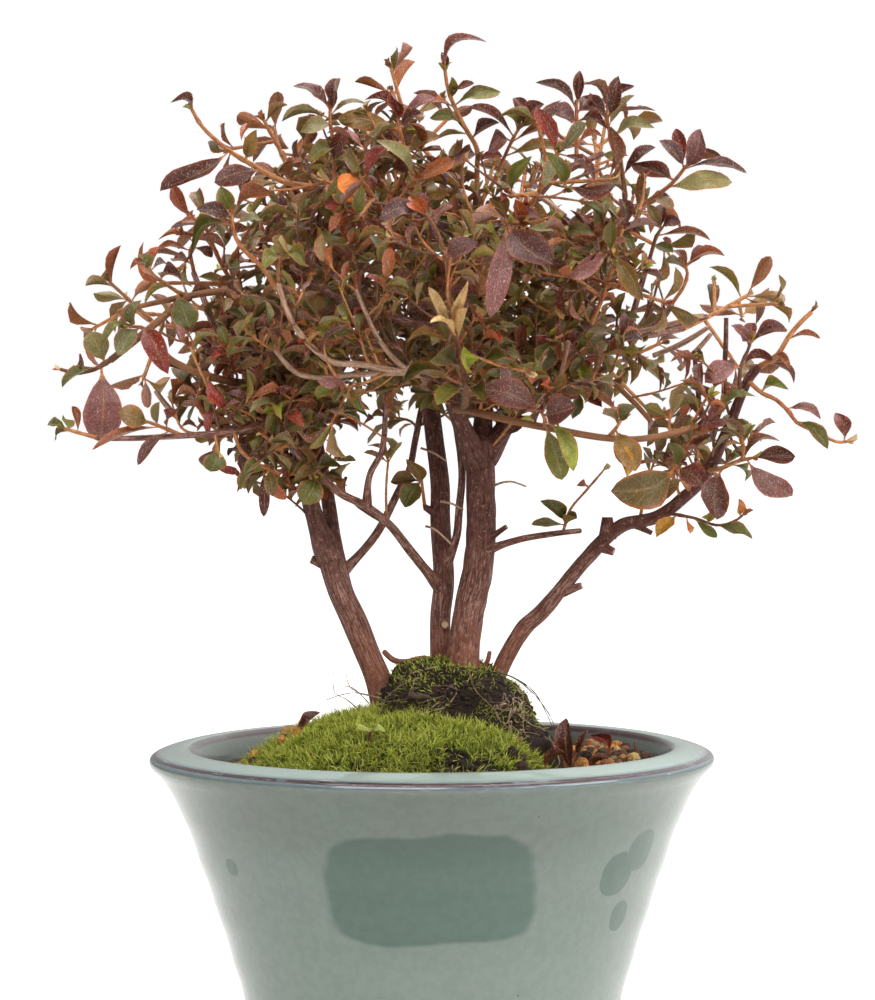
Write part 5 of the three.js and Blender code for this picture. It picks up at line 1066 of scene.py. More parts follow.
def grow_sprays():
    """Each spray's twigs and leaves, by name, as the solids have them."""
    wood = wood_bars()
    sprays = {name: chosen_spray(plan, wood) for name, plan in CHOSEN_SPRAYS.items()}
    for number, (name, limb) in enumerate(CROWN_LIMBS.items()):
        sprays[name] = {"twigs": crown_twigs(limb, number), "leaves": [], "number": number}
    bars = {
        name: joined_bars([bars_of(twig["points"], twig["radii"]) for twig in spray["twigs"]])
        for name, spray in sprays.items()
    }
    placed = np.concatenate([blade_samples(leaf) for spray in sprays.values() for leaf in spray["leaves"]])
    for name, spray in sprays.items():
        if "number" not in spray:
            continue
        others = joined_bars([bars[other] for other in bars if other != name])
        for j, twig in enumerate(spray["twigs"]):
            count = MAIN_TWIG["leaves"] if j == 0 else SIDE_TWIG["leaves"]
            size = between(*LEAF_SIZE, spray["number"], 6, j)
            for leaf in rosette(twig["points"][-1], twig["way"], count, size, spray["number"], 7, j):
                if is_clear(leaf, bars[name], others, wood, placed):
                    spray["leaves"].append(leaf)
                    placed = np.concatenate([placed, blade_samples(leaf)[6:]])
    return sprays


# ---------------------------------------------------------------- the small shoots that fill the crown

CAMERA_POINT = np.array([2.1, -1000, 229])
FRONT_CELL = 2.0  # how finely the view from the front is kept clear, in millimetres
FILL_CELL = 1.7  # how close leaves of the filling shoots may lie
FRONT_LIMB_DEPTH = -18
BARE_SHARE = 0.88  # how many of the shoots with hardly any leaves are left out
# Where light shows through the crown: [x, z, half width, half height, share of its shoots
# that have hardly any leaves]. A share below 0 sets the shoots closer instead.
OPEN_PLACES = [
    [-29, 213, 11, 14, 0.85], [-60, 212, 34, 22, -0.75], [8, 334, 16, 14, 1], [36, 313, 26, 28, 1],
    [-54, 324, 24, 12, 0.3], [60, 312, 12, 20, 0.6], [86, 272, 22, 32, 1], [-94, 266, 23, 30, 1],
    [-70, 288, 24, 28, 0.6], [47, 217, 15, 19, 1], [88, 208, 36, 12, -0.35], [96, 236, 28, 20, 0.7],
    [64, 250, 16, 18, 0.35], [62, 228, 20, 16, 0.6], [-8, 226, 10, 10, 0.5],
]


def inside_outline(x, z):
    """True where a point seen from the front is in the dense part of the crown."""
    inside = False
    for (x1, z1), (x2, z2) in zip(CROWN_OUTLINE, CROWN_OUTLINE[1:] + CROWN_OUTLINE[:1]):
        if (z1 > z) != (z2 > z) and x < x1 + (z - z1) * (x2 - x1) / (z2 - z1):
            inside = not inside
    return inside


def inside_crown(point):
    """True inside the crown's body, which narrows towards the front and the back."""
    scale = 1 - (point[1] / CROWN_DEPTH) ** 2
    if scale <= 0.02:
        return False
    x, z = CROWN_MIDDLE + (point[[0, 2]] - CROWN_MIDDLE) / math.sqrt(scale)
    return inside_outline(x, z)


def from_front(points):
    """Where points stand in the view from the front, as cells of that view."""
    nearer = CAMERA_POINT[1] / (CAMERA_POINT[1] - points[:, 1])
    flat = (points[:, [0, 2]] - CAMERA_POINT[[0, 2]]) * nearer[:, None]
    return [tuple(cell) for cell in np.round(flat / FRONT_CELL).astype(int)]


class Room:
    """What of the crown is taken: cells that leaves fill, and the front that stays in view."""

    def __init__(self, sprays):
        self.taken, self.front = set(), {}
        for name, spray in sprays.items():
            for leaf in spray["leaves"]:
                self.take(leaf)
                if name in CHOSEN_SPRAYS:
                    self.keep_in_view(blade_samples(leaf))
            if name in CHOSEN_SPRAYS:
                self.keep_in_view(smooth_line(spray["twigs"][0]["points"], 1.5))
        self.keep_in_view(blade_samples(single_leaf(*ORANGE_LEAF)))
        for limb in LIMBS.values():
            if np.mean([point[1] for point in limb["at"]]) < FRONT_LIMB_DEPTH:
                self.keep_in_view(smooth_line(limb["at"], 1.5))

    def keep_in_view(self, points):
        for cell, y in zip(from_front(points), points[:, 1]):
            self.front[cell] = min(y, self.front.get(cell, 1e3))

    def cells(self, points):
        return {tuple(cell) for cell in np.round(points / FILL_CELL).astype(int)}

    def take(self, leaf):
        self.taken |= self.cells(blade_samples(leaf))

    def allows(self, leaf):
        samples = blade_samples(leaf)
        if not (inside_crown(leaf["tip"]) and inside_crown(samples[10])):
            return False
        hidden = sum(
            y < self.front.get(cell, -1e3) - 1 for cell, y in zip(from_front(samples), samples[:, 1])
        )
        return hidden <= 2 and len(self.cells(samples[6:]) & self.taken) <= 1


def fill_leaf(foot, way, heading, length, tint, rng):
    return {
        "foot": foot, "tip": foot + way * length, "normal": squared(heading, way),
        "width": length * rng.uniform(0.27, 0.43), "bow": length * rng.uniform(0.0, 0.16), "tint": tint,
    }


def fill_tint(tip, rng):
    """Redder leaves towards the light, greener ones inside."""
    out = np.linalg.norm((tip - [5, 0, 235]) / [100, 85, 95])
    return rng.choice(OUTER_TINTS if rng.random() < 1.5 * out - 0.75 else INNER_TINTS)


def openness(point):
    """How much light shows through the crown at a point, seen from the front: 0 to 1."""
    for x, z, half_width, half_height, share in OPEN_PLACES:
        if ((point[0] - x) / half_width) ** 2 + ((point[2] - z) / half_height) ** 2 < 1:
            return share
    return 0


def fill_shoot(start, heading, room, size, rng):
    """A short shoot with leaves up its length and a rosette on its end, or None where it has no room."""
    few = rng.random() < max(openness(start), openness(start + 14 * heading))
    if few and rng.random() < BARE_SHARE:
        return None
    length = rng.uniform(8, 20)
    points = [start, start + heading * length * 0.5]
    way = unit(heading + rng.normal(0, 0.25, 3) + [0, 0, 0.25])
    points.append(points[1] + way * length * 0.5)
    if not inside_crown(points[-1]):
        return None
    leaves, spin = [], rng.uniform(0, 360)
    at_tip = rng.integers(0, 3) if few else rng.integers(3, 7)
    for k in range(at_tip + (0 if few else rng.integers(1, 4))):
        at_end = k < at_tip
        opening = rng.uniform(24, 85) if at_end else rng.uniform(40, 85)
        turn = spin + k * (360 / at_tip if at_end else GOLDEN_ANGLE) + rng.normal(0, 20)
        leaf_way = turned_from(way, opening, turn)
        foot = points[-1] - way * (0.4 + 0.35 * k)
        if not at_end:
            foot = point_along(np.array(points), rng.uniform(0.35, 0.85))
        leaf_length = rng.uniform(*size) * (1 if at_end else 0.8)
        leaf = fill_leaf(foot, leaf_way, way, leaf_length, "green", rng)
        leaf["tint"] = fill_tint(leaf["tip"], rng)
        if room.allows(leaf):
            leaves.append(leaf)
            room.take(leaf)
    if len(leaves) < 2 and not few:
        return None
    radii = rng.uniform(0.8, 1.2) * np.array([0.6, 0.5, 0.4])
    return {"twigs": [{"points": np.array(points), "radii": radii}], "leaves": leaves}


def crown_bearers(sprays):
    """The lines that small shoots stand on, with a radius at each point."""
    bearers = [(twig["points"], twig["radii"]) for spray in sprays.values() for twig in spray["twigs"]]
    for limb in [*FORKS.values(), *LIMBS.values(), *CROWN_LIMBS.values(), TRUNKS["right_trunk"]]:
        bearers.append((np.asarray(limb["at"], float), limb_radii(limb)))
    return bearers


def grow_filling(sprays, spacing, size, passes):
    """The small shoots, pass by pass along every bearer, each where it still has room."""
    rng = np.random.default_rng(7)
    room, shoots = Room(sprays), []
    bearers = crown_bearers(sprays)
    for _ in range(passes):
        grown = []
        for points, radii in bearers:
            run = run_of(points)
            at = rng.uniform(0.2, 1) * spacing
            turn = rng.uniform(0, 360)
            while at < run[-1]:
                share = at / run[-1]
                start, heading = point_along(points, share), heading_along(points, share)
                way = turned_from(heading, rng.uniform(35, 78), turn)
                way = unit(way + [0, 0, 0.3])
                shoot = fill_shoot(start, way, room, size, rng)
                if shoot:
                    shoots.append(shoot)
                    grown.append((shoot["twigs"][0]["points"], shoot["twigs"][0]["radii"]))
                at += spacing * rng.uniform(0.7, 1.3) * (1 + min(openness(start), 0))
                turn += GOLDEN_ANGLE
        bearers = bearers + grown
    return shoots


# ---------------------------------------------------------------- drawing twigs and sprays

NODE_SPACING = 4.5
SLENDER = 0.8  # how thick a drawn twig is beside its solid
TWIG_STEP = 2.3
LARGE_LEAF = 6.2  # wider ones stay flatter


def add_twig(shape, twig, sides, rng):
    """A twig with a slight swelling where each leaf stood, and its colour by its thickness."""
    points = np.asarray(twig["points"], float)
    radii = SLENDER * np.asarray(twig["radii"], float)
    if "from" in twig:
        points = np.concatenate([[twig["from"]], points])
        radii = np.concatenate([radii[:1], radii])
    line = smooth_line(points, TWIG_STEP)
    radius = np.interp(run_of(line) / run_of(line)[-1], run_of(points) / run_of(points)[-1], radii)
    swelling = np.cos(2 * math.pi * run_of(line) / NODE_SPACING + rng.uniform(0, 6))
    line, radius = rounded_end(line, radius * (1 + 0.3 * np.maximum(0, swelling) ** 6))
    add_bar(shape, "leaf_place", line, radius, sides, rng.random() * (0.6 if sides > 6 else 1))
    return line, radius


def add_heart(shape, end, way, rng, grid):
    """The small new leaves in the middle of a rosette, round a bud."""
    for k in range(rng.integers(2, 5)):
        leaf_way = turned_from(way, rng.uniform(8, 38), k * GOLDEN_ANGLE + rng.uniform(-20, 20))
        length, tint = rng.uniform(2.2, 4.6), rng.choice(HEART_TINTS)
        leaf = fill_leaf(end - way * 0.3, leaf_way, way, length, tint, rng)
        add_leaf(shape, leaf, leaf_style(rng, young=True), grid)


def draw_spray(shape, spray, rng, grid, sides, hairs, hair_length, breadth=1):
    """A spray's twigs, leaves, new leaves and hairs."""
    heart = DEEP_HEART_LEAF if grid == DEEP_LEAF else HEART_LEAF
    for twig in spray["twigs"]:
        line, radius = add_twig(shape, twig, sides, rng)
        add_shoot_hairs(shape, line, radius, 2.2 * hairs, hair_length, rng)
        add_heart(shape, twig["points"][-1], unit(line[-1] - line[-5]), rng, heart)
    for leaf in spray["leaves"]:
        style = leaf_style(rng)
        if leaf["width"] > LARGE_LEAF and breadth == 1:
            style.update(fold=0.35 * style["fold"], twist=0.25 * style["twist"], belly=1.0, point=0.62)
        top = add_leaf(shape, {**leaf, "width": breadth * leaf["width"]}, style, grid)
        count = int(hairs * np.linalg.norm(leaf["tip"] - leaf["foot"]))
        if count > 1:
            add_leaf_hairs(shape, top, count, hair_length, rng)


# ---------------------------------------------------------------- node trees

class Graph:
    """Short ways to add and join the nodes of one tree. Inputs are sockets or plain values."""

    def __init__(self, tree):
        self.tree = tree

    def node(self, kind, inputs=(), **settings):
        made = self.tree.nodes.new("ShaderNode" + kind)
        for name, value in settings.items():
            setattr(made, name, value)
        for key, value in dict(inputs).items():
            self.feed(made.inputs[key], value)
        return made

    def feed(self, socket, value):
        if isinstance(value, bpy.types.NodeSocket):
            self.tree.links.new(value, socket)
        else:
            socket.default_value = (*tuple(value)[:3], 1.0) if socket.type == "RGBA" else value

    def math(self, operation, a, b=0.0, clamp=False):
        return self.node("Math", {0: a, 1: b}, operation=operation, use_clamp=clamp).outputs[0]

    def plus(self, a, b):
        return self.math("ADD", a, b)

    def minus(self, a, b):
        return self.math("SUBTRACT", a, b)

    def times(self, a, b):
        return self.math("MULTIPLY", a, b)

    def mix(self, a, b, share):
        """Colour a where share is 0 and b where it is 1."""
        return self.node("Mix", {0: share, 6: a, 7: b}, data_type="RGBA").outputs[2]

    def multiply(self, a, b, share=1.0):
        inputs = {0: share, 6: a, 7: b}
        return self.node("Mix", inputs, data_type="RGBA", blend_type="MULTIPLY").outputs[2]

    def span(self, value, low, high, to_low=0.0, to_high=1.0):
        """A smooth step of value from low to high, put out between to_low and to_high."""
        inputs = {0: value, 1: low, 2: high, 3: to_low, 4: to_high}
        return self.node("MapRange", inputs, interpolation_type="SMOOTHSTEP").outputs[0]

    def vector(self, operation, a, b, output=0):
        return self.node("VectorMath", {0: a, 1: b}, operation=operation).outputs[output]

    def stretch(self, place, *scales):
        return self.vector("MULTIPLY", place, scales)

    def dot(self, a, b):
        return self.vector("DOT_PRODUCT", a, b, 1)

    def object_place(self):
        return self.node("TexCoord").outputs["Object"]

    def noise(self, place, scale, detail=3.0, roughness=0.5):
        inputs = {"Vector": place, "Scale": scale, "Detail": detail, "Roughness": roughness}
        return self.node("TexNoise", inputs).outputs[0]

    def attribute(self, name):
        return self.node("Attribute", attribute_name=name).outputs

    def distance(self, x, x_at, y, y_at):
        """How far two values are from a place, taken together."""
        offsets = [self.math("ABSOLUTE", self.minus(a, b)) for a, b in ((x, x_at), (y, y_at))]
        return self.math("SQRT", self.plus(*[self.math("POWER", offset, 2.0) for offset in offsets]))

    def parts(self, vector):
        return self.node("SeparateXYZ", {0: vector}).outputs

    def group(self, name, *values):
        """A shared node group, fed in the order of its sockets."""
        return self.node("Group", enumerate(values), node_tree=node_group(name)).outputs


class Finish(Graph):
    """The node tree of a material. plain holds values for its shader's own sockets."""

    def __init__(self, name, **plain):
        self.material = bpy.data.materials.new(name)
        self.material.use_nodes = True
        super().__init__(self.material.node_tree)
        self.sockets = self.tree.nodes["Principled BSDF"].inputs
        for key, value in plain.items():
            self.sockets[key.replace("_", " ")].default_value = value

    def done(self, base, roughness=None, height=None, strength=0.0, distance=0.0):
        """The material, with this colour, roughness and height joined to its shader."""
        self.feed(self.sockets["Base Color"], base)
        if roughness is not None:
            self.feed(self.sockets["Roughness"], roughness)
        if height is not None:
            inputs = {"Height": height, "Strength": strength, "Distance": distance}
            self.feed(self.sockets["Normal"], self.node("Bump", inputs).outputs[0])
        return self.material


def blotches(g, place, scale, cover, softness):
    """Soft uneven patches with a finer break-up along their edges."""
    broad, fine = g.noise(place, scale, 2.0), g.noise(place, g.times(scale, 5.3), 2.0)
    mixed = g.plus(g.times(broad, 0.75), g.times(fine, 0.25))
    edge = g.minus(0.74, g.times(cover, 0.48))
    return [g.span(mixed, g.minus(edge, softness), g.plus(edge, softness))]


def grain(g, place, scale, base, contrast):
    """The base colour with lighter and darker specks, and the fine uneven height that goes with them."""
    coarse, fine = g.noise(place, scale, 4.0, 0.6), g.noise(place, g.times(scale, 4.1), 2.0)
    height = g.plus(g.times(coarse, 0.7), g.times(fine, 0.3))
    ends = {0: height, 1: 0.3, 2: 0.7, 3: g.minus(1.0, contrast), 4: g.plus(1.0, contrast)}
    level = g.node("MapRange", ends).outputs[0]
    level = g.node("CombineXYZ", {0: level, 1: level, 2: level}).outputs[0]
    return [g.vector("MULTIPLY", base, level), height]


def glaze_pool_and_reflection(g, place, along, outward, middle, half_width, half_height, fraying, squareness):
    """One dark patch of the glaze, pool and painted reflection alike: 1 inside a rounded oblong on the wall,
    0 outside.
    """
    across = g.math("DIVIDE", g.dot(place, along), half_width)
    up = g.math("DIVIDE", g.minus(g.parts(place)[2], middle), half_height)
    powers = [g.math("POWER", g.math("ABSOLUTE", part), squareness) for part in (across, up)]
    far = g.math("POWER", g.plus(*powers), g.math("DIVIDE", 1.0, squareness))
    mask = g.span(g.plus(far, fraying), 1.05, 0.95)
    return [g.times(mask, g.span(g.dot(place, outward), 0.0, 0.01))]


SOCKETS = {"value": "NodeSocketFloat", "colour": "NodeSocketColor", "vector": "NodeSocketVector"}
# The shared groups: what draws each, and the kinds of its named inputs and outputs.
NODE_GROUPS = {
    "Blotches": [
        blotches, {"Place": "vector", "Scale": "value", "Cover": "value", "Softness": "value"},
        {"Mask": "value"},
    ],
    "Grain": [
        grain, {"Place": "vector", "Scale": "value", "Base": "colour", "Contrast": "value"},
        {"Colour": "colour", "Height": "value"},
    ],
    "Glaze pool and reflection": [
        glaze_pool_and_reflection, {
            "Place": "vector", "Along": "vector", "Outward": "vector", "Pool height": "value",
            "Half width": "value", "Half height": "value", "Fraying": "value", "Squareness": "value",
        },
        {"Mask": "value"},
    ],
}


def node_group(name):
    """The shared node group of this name, made when it is first asked for."""
    if name in bpy.data.node_groups:
        return bpy.data.node_groups[name]
    build, inputs, outputs = NODE_GROUPS[name]
    tree = bpy.data.node_groups.new(name, "ShaderNodeTree")
    for way, sockets in (("INPUT", inputs), ("OUTPUT", outputs)):
        for socket, kind in sockets.items():
            tree.interface.new_socket(socket, in_out=way, socket_type=SOCKETS[kind])
    given = tree.nodes.new("NodeGroupInput").outputs
    taken = tree.nodes.new("NodeGroupOutput").inputs
    g = Graph(tree)
    for socket, value in zip(outputs, build(g, *[given[socket] for socket in inputs])):
        g.feed(taken[socket], value)
    return tree


def leaf_finish(settings):
    """Leathery leaves, green at the heart and redder towards the rim, set with pale bristles."""
    f = Finish("azalea_leaf", Specular_IOR_Level=0.45)
    tint = f.attribute("leaf_tint")
    u, v, under = f.parts(f.attribute("leaf_place")["Vector"])
    off_rib = f.math("ABSOLUTE", f.minus(f.times(u, 2.0), 1.0))
    where = f.object_place()
    patch = f.group("Blotches", where, 230.0, 0.5, 0.16)["Mask"]
    heart = f.times(f.span(off_rib, 0.95, 0.1), f.span(v, 0.95, 0.15))
    heart = f.plus(f.times(heart, 0.8), f.times(patch, 0.3))
    heart = f.math("MULTIPLY", heart, tint["Alpha"], clamp=True)
    upper = f.mix(tint["Color"], settings.heart_green, f.times(heart, 0.7))
    upper = f.multiply(upper, (0.48, 0.4, 0.34), f.times(patch, 0.6))
    body = f.mix(upper, f.mix(tint["Color"], settings.leaf_back, 0.35), under)
    slant = f.plus(f.times(v, 46.0), f.times(off_rib, -13.0))
    vein = f.times(f.span(f.math("SINE", slant), 0.72, 1.0), f.span(off_rib, 0.95, 0.6))
    lines = f.math("MAXIMUM", f.span(off_rib, 0.12, 0.02), f.times(vein, 0.4))
    body = f.mix(body, settings.leaf_rib, f.times(lines, 0.22))
    body = f.mix(body, settings.shoot_colour, f.times(f.span(v, 0.24, 0.12), 0.7))
    rim = f.times(f.span(off_rib, 0.7, 1.0), f.span(tint["Alpha"], 0.12, 0.35, 0.3, 0.55))
    body = f.multiply(f.mix(body, settings.leaf_rim, rim), (1.13, 0.93, 0.79))
    skin = f.group("Grain", where, 1500.0, body, 0.4)
    bristle = f.span(f.noise(f.stretch(where, 1.0, 1.0, 0.4), 3300.0, 1.0), 0.6, 0.7)
    bristle = f.times(bristle, f.span(tint["Alpha"], 0.2, 0.7, 0.4, 0.16))
    height = f.minus(f.times(skin["Height"], 0.5), f.times(lines, 0.7))
    base = f.mix(skin["Colour"], settings.hair_colour, bristle)
    return f.done(base, f.span(patch, 0.0, 1.0, 0.3, 0.46), height, 0.6, 0.0004)


def shoot_finish(settings):
    """Shoots: rust and tan skin with fine lengthwise lines, the woodier ones brown."""
    f = Finish("azalea_shoot")
    place, where = f.attribute("leaf_place"), f.object_place()
    old = f.group("Blotches", where, 35.0, 0.42, 0.16)["Mask"]
    woody = f.span(place["Alpha"], 0.4, 0.62, 0.0, 0.85)
    skin = f.mix(f.mix(settings.shoot_colour, settings.shoot_old, old), settings.shoot_wood, woody)
    lines = f.noise(f.stretch(place["Vector"], 0.9, 0.9, 0.16), 2.6, 3.0)
    skin = f.multiply(skin, (0.55, 0.46, 0.4), f.span(lines, 0.62, 0.38))
    skin = f.group("Grain", where, 1700.0, skin, 0.35)
    height = f.plus(lines, f.times(skin["Height"], 0.5))
    return f.done(skin["Colour"], f.span(lines, 0.3, 0.7, 0.6, 0.85), height, 0.6, 0.0003)


def hair_finish(settings):
    """Pale hairs, darker in patches."""
    f = Finish("azalea_hair", Roughness=0.6)
    patch = f.group("Blotches", f.object_place(), 300.0, 0.5, 0.2)["Mask"]
    return f.done(f.mix(settings.hair_colour, [0.55 * part for part in settings.hair_colour], patch))


def bark_finish(settings):
    """Old bark: reddish skin with fine pale lengthwise lines, darker furrows, pale sawn ends and painted
    shade high on the old wood under the crown.
    """
    f = Finish("azalea_bark")
    around, age = f.attribute("bark_place")["Vector"], f.attribute("bark_age")["Fac"]
    furrow = f.noise(f.stretch(around, 0.7, 0.7, 0.09), 1.5, 4.0, 0.6)
    fine = f.noise(f.stretch(around, 1.3, 1.3, 0.13), 1.7, 3.0, 0.7)
    where = f.object_place()
    patch = f.group("Blotches", where, 42.0, 0.5, 0.3)["Mask"]
    upward = f.parts(where)[2]
    # painted shade: old wood above about 160 mm is darkened where the crown shades it, and its pale lines
    # fade there
    painted_crown_shade = f.times(f.span(upward, 0.16, 0.2), f.span(age, 0.15, 0.02))
    plate = f.mix(settings.bark_mid, settings.bark_pale, f.times(patch, 0.5))
    plate = f.multiply(plate, (0.52, 0.34, 0.28), painted_crown_shade)
    lines = f.times(f.span(fine, 0.5, 0.57), f.span(painted_crown_shade, 0.0, 1.0, 0.8, 0.2))
    plate = f.mix(plate, settings.bark_line, lines)
    plate = f.mix(plate, settings.bark_dark, f.times(f.span(furrow, 0.52, 0.34), 0.6))
    pits = f.noise(where, 620.0, 3.0, 0.7)
    plate = f.mix(plate, settings.bark_dark, f.span(pits, 0.56, 0.66, 0.0, 0.6))
    plate = f.mix(plate, settings.bark_line, f.span(pits, 0.42, 0.34, 0.0, 0.45))
    foot = f.times(f.span(upward, 0.17, 0.145), f.span(furrow, 0.4, 0.6, 0.15, 0.6))
    plate = f.mix(plate, settings.bark_rust, foot)
    young = f.mix(settings.shoot_old, settings.shoot_colour, patch)
    skin = f.mix(plate, young, f.span(age, 0.3, 1.0))
    tan = f.mix(settings.bark_tan, settings.bark_mid, f.times(f.span(fine, 0.55, 0.4), 0.6))
    skin = f.group("Grain", where, 1300.0, f.mix(skin, tan, f.span(age, 1.2, 1.8)), 0.32)
    height = f.plus(f.plus(furrow, f.times(fine, 0.45)), f.times(skin["Height"], 0.15))
    base = f.mix(skin["Colour"], settings.sawn_wood, f.span(age, -0.4, -0.8))
    return f.done(base, f.span(furrow, 0.3, 0.6, 0.9, 0.62), height, 0.9, 0.0009)


def pools_and_reflection_of(f, where):
    """The dark pools of the glaze and its painted reflection together, 1 inside and 0 outside."""
    # painted reflection: the wide patch on the front stands for a dark gap reflected in the glaze
    fray = f.times(f.minus(f.noise(where, 42.0, 3.0), 0.5), 0.34)
    pools = 0.0
    for turn, middle, half_width, half_height in GLAZE_POOLS_AND_REFLECTION:
        c, s = math.cos(math.radians(turn)), math.sin(math.radians(turn))
        sizes = [size * MM for size in (middle, half_width, half_height)]
        squareness = 4.0 if half_width > WIDE_DARK_PATCH else 2.2
        pool = f.group("Glaze pool and reflection", where, (-s, c, 0), (c, s, 0), *sizes, fray, squareness)
        pools = f.math("MAXIMUM", pools, pool["Mask"])
    return pools


def glaze_finish(settings):
    """Celadon glaze: soft clouds, teal pools and a painted reflection, painted shade under the lip, iron
    specks, brown lines where it thins on the lip, a paler lip top with painted light, and painted glints.
    """
    f = Finish("celadon_glaze", IOR=1.52, Coat_Roughness=0.05)
    where = f.object_place()
    height = f.parts(where)[2]
    radius = f.math("SQRT", f.dot(where, f.stretch(where, 1.0, 1.0, 0.0)))
    clouds = f.group("Blotches", where, 14.0, 0.5, 0.3)["Mask"]
    body = f.mix(settings.glaze, settings.glaze_grey, clouds)
    body = f.mix(body, settings.glaze_pale, f.span(height, 0.085, 0.03, 0.0, 0.4))
    body = f.mix(body, settings.glaze_pool_and_reflection, f.times(pools_and_reflection_of(f, where), 0.85))
    # painted shade: the upper wall darkens towards the lip, where the lip's overhang shades it
    body = f.multiply(body, (0.8, 0.79, 0.77), f.span(height, 0.085, 0.105))
    mottle = f.noise(where, 320.0, 4.0, 0.6)
    body = f.multiply(body, (0.9, 0.92, 0.91), f.span(mottle, 0.6, 0.38))
    cells = f.node("TexVoronoi", {"Vector": where, "Scale": 150.0}).outputs
    few = f.span(f.parts(cells["Color"])[0], 0.72, 0.76)
    speck = f.times(f.span(cells["Distance"], 0.075, 0.04), few)
    body = f.mix(body, settings.glaze_speck, f.times(speck, 0.6))
    # partly painted light: the top of the lip gets a paler teal, for a paler glaze there and for the light
    # from above
    on_lip = f.times(f.span(height, 0.1182, 0.1198), f.span(radius, 0.0765, 0.078))
    body = f.mix(body, settings.lip_top_paler_and_lit, on_lip)
    streak = f.noise(where, 55.0, 3.0, 0.6)
    from_edge = f.distance(radius, 0.0889, height, 0.1194)
    body = f.mix(body, settings.lip_fringe, f.span(from_edge, 0.0026, 0.001, 0.0, 0.7))
    outer = f.times(f.span(from_edge, 0.0011, 0.0007), f.span(streak, 0.3, 0.44, 0.4, 1.0))
    body = f.mix(body, settings.lip_brown, outer)
    from_mouth = f.distance(radius, 0.0766, height, 0.121)
    inner = f.times(f.span(from_mouth, 0.0018, 0.0009), f.span(streak, 0.36, 0.5, 0.6, 1.0))
    body = f.mix(body, settings.lip_rust, inner)
    # painted glints: pale strokes along the outer lip, where light catches the crazing of the glaze
    crazing_glint = f.span(f.noise(f.stretch(where, 1.0, 1.0, 40.0), 90.0, 4.0, 0.7), 0.59, 0.66)
    crazing_glint = f.times(crazing_glint, f.span(from_edge, 0.004, 0.0015, 0.0, 0.4))
    body = f.mix(body, settings.lip_crazing_glint, crazing_glint)
    bare = f.span(height, 0.0022, 0.0014)
    clay = f.group("Grain", where, 900.0, settings.clay, 0.3)["Colour"]
    roughness = f.plus(f.span(mottle, 0.3, 0.7, 0.1, 0.2), f.times(bare, 0.6))
    f.feed(f.sockets["Coat Weight"], f.minus(0.5, f.times(bare, 0.5)))
    swell = f.plus(f.noise(where, 45.0, 2.0), f.times(mottle, 0.08))
    return f.done(f.mix(body, clay, bare), roughness, swell, 0.15, 0.0012)


def moss_finish(settings):
    """Bright moss strands, yellow-green at the tips and dark at the foot."""
    f = Finish("moss_shoot", Roughness=0.6)
    height, random, _ = f.parts(f.attribute("tuft_place")["Vector"])
    where = f.object_place()
    dry = f.group("Blotches", where, 70.0, 0.36, 0.12)["Mask"]
    green = f.mix(settings.moss_green, settings.moss_tip, f.span(height, 0.3, 1.0))
    green = f.mix(green, settings.moss_yellow, f.times(f.span(random, 0.45, 1.0), 0.7))
    green = f.multiply(green, (0.6, 0.58, 0.5), f.times(dry, 0.7))
    green = f.mix(settings.moss_brown, green, f.span(height, 0.0, 0.4))
    strand = f.group("Grain", where, 1800.0, green, 0.3)
    return f.done(strand["Colour"], None, strand["Height"], 0.3, 0.0002)


def earth_finish(name, light, dark, scale):
    """Crumbly earth, moss bed or root mass between two colours."""
    f = Finish(name)
    where = f.object_place()
    patch = f.group("Blotches", where, scale, 0.45, 0.12)["Mask"]
    earth = f.group("Grain", where, scale * 9, f.mix(dark, light, patch), 0.45)
    height = earth["Height"]
    return f.done(earth["Colour"], f.span(height, 0.3, 0.7, 0.98, 0.85), height, 0.8, 0.001)


def stone_finish():
    """Porous grains, each with its own colour, darker in their pits."""
    f = Finish("clay_gravel")
    where = f.object_place()
    pits = f.noise(where, 900.0, 4.0, 0.65)
    # the grains are darker where the pits are deepest
    darker_in_pits = f.multiply(f.attribute("grain_tint")["Color"], (0.42, 0.36, 0.32), f.span(pits, 0.5, 0.34))
    stone = f.group("Grain", where, 2200.0, darker_in_pits, 0.3)
    height = f.plus(pits, f.times(stone["Height"], 0.4))
    return f.done(stone["Colour"], f.span(pits, 0.3, 0.7, 0.98, 0.82), height, 0.8, 0.0006)


def root_finish(settings):
    """Wiry roots, each a little darker or paler than the next."""
    f = Finish("fine_root")
    place = f.attribute("root_place")
    lines = f.noise(f.stretch(place["Vector"], 2.0, 2.0, 0.3), 1.5, 3.0)
    skin = f.mix(settings.root_dark, settings.root_pale, place["Alpha"])
    skin = f.multiply(skin, (0.5, 0.45, 0.42), f.span(lines, 0.6, 0.4))
    skin = f.group("Grain", f.object_place(), 1600.0, skin, 0.3)["Colour"]
    return f.done(skin, f.span(lines, 0.3, 0.7, 0.95, 0.75), lines, 0.6, 0.0004)


def mesh_finish():
    """Black drainage netting, slightly scuffed."""
    f = Finish("black_netting")
    where = f.object_place()
    scuffed = f.mix((0.02, 0.02, 0.02), (0.05, 0.05, 0.05), f.noise(where, 90.0))
    thread = f.group("Grain", where, 800.0, scuffed, 0.3)
    height = thread["Height"]
    return f.done(thread["Colour"], f.span(height, 0.3, 0.7, 0.45, 0.65), height, 0.2, 0.0002)


def floor_finish(settings):
    """A plain pale studio floor."""
    f = Finish("pale_floor", Roughness=0.9, Specular_IOR_Level=0.1, Emission_Color=(1, 1, 1, 1))
    seen = f.node("LightPath").outputs["Is Camera Ray"]
    f.feed(f.sockets["Emission Strength"], f.times(seen, settings.floor_glow))
    darker = [0.98 * part for part in settings.floor_colour]
    return f.done(f.mix(settings.floor_colour, darker, f.noise(f.object_place(), 1.5, 2.0)))


# ---------------------------------------------------------------- pot and ground pieces

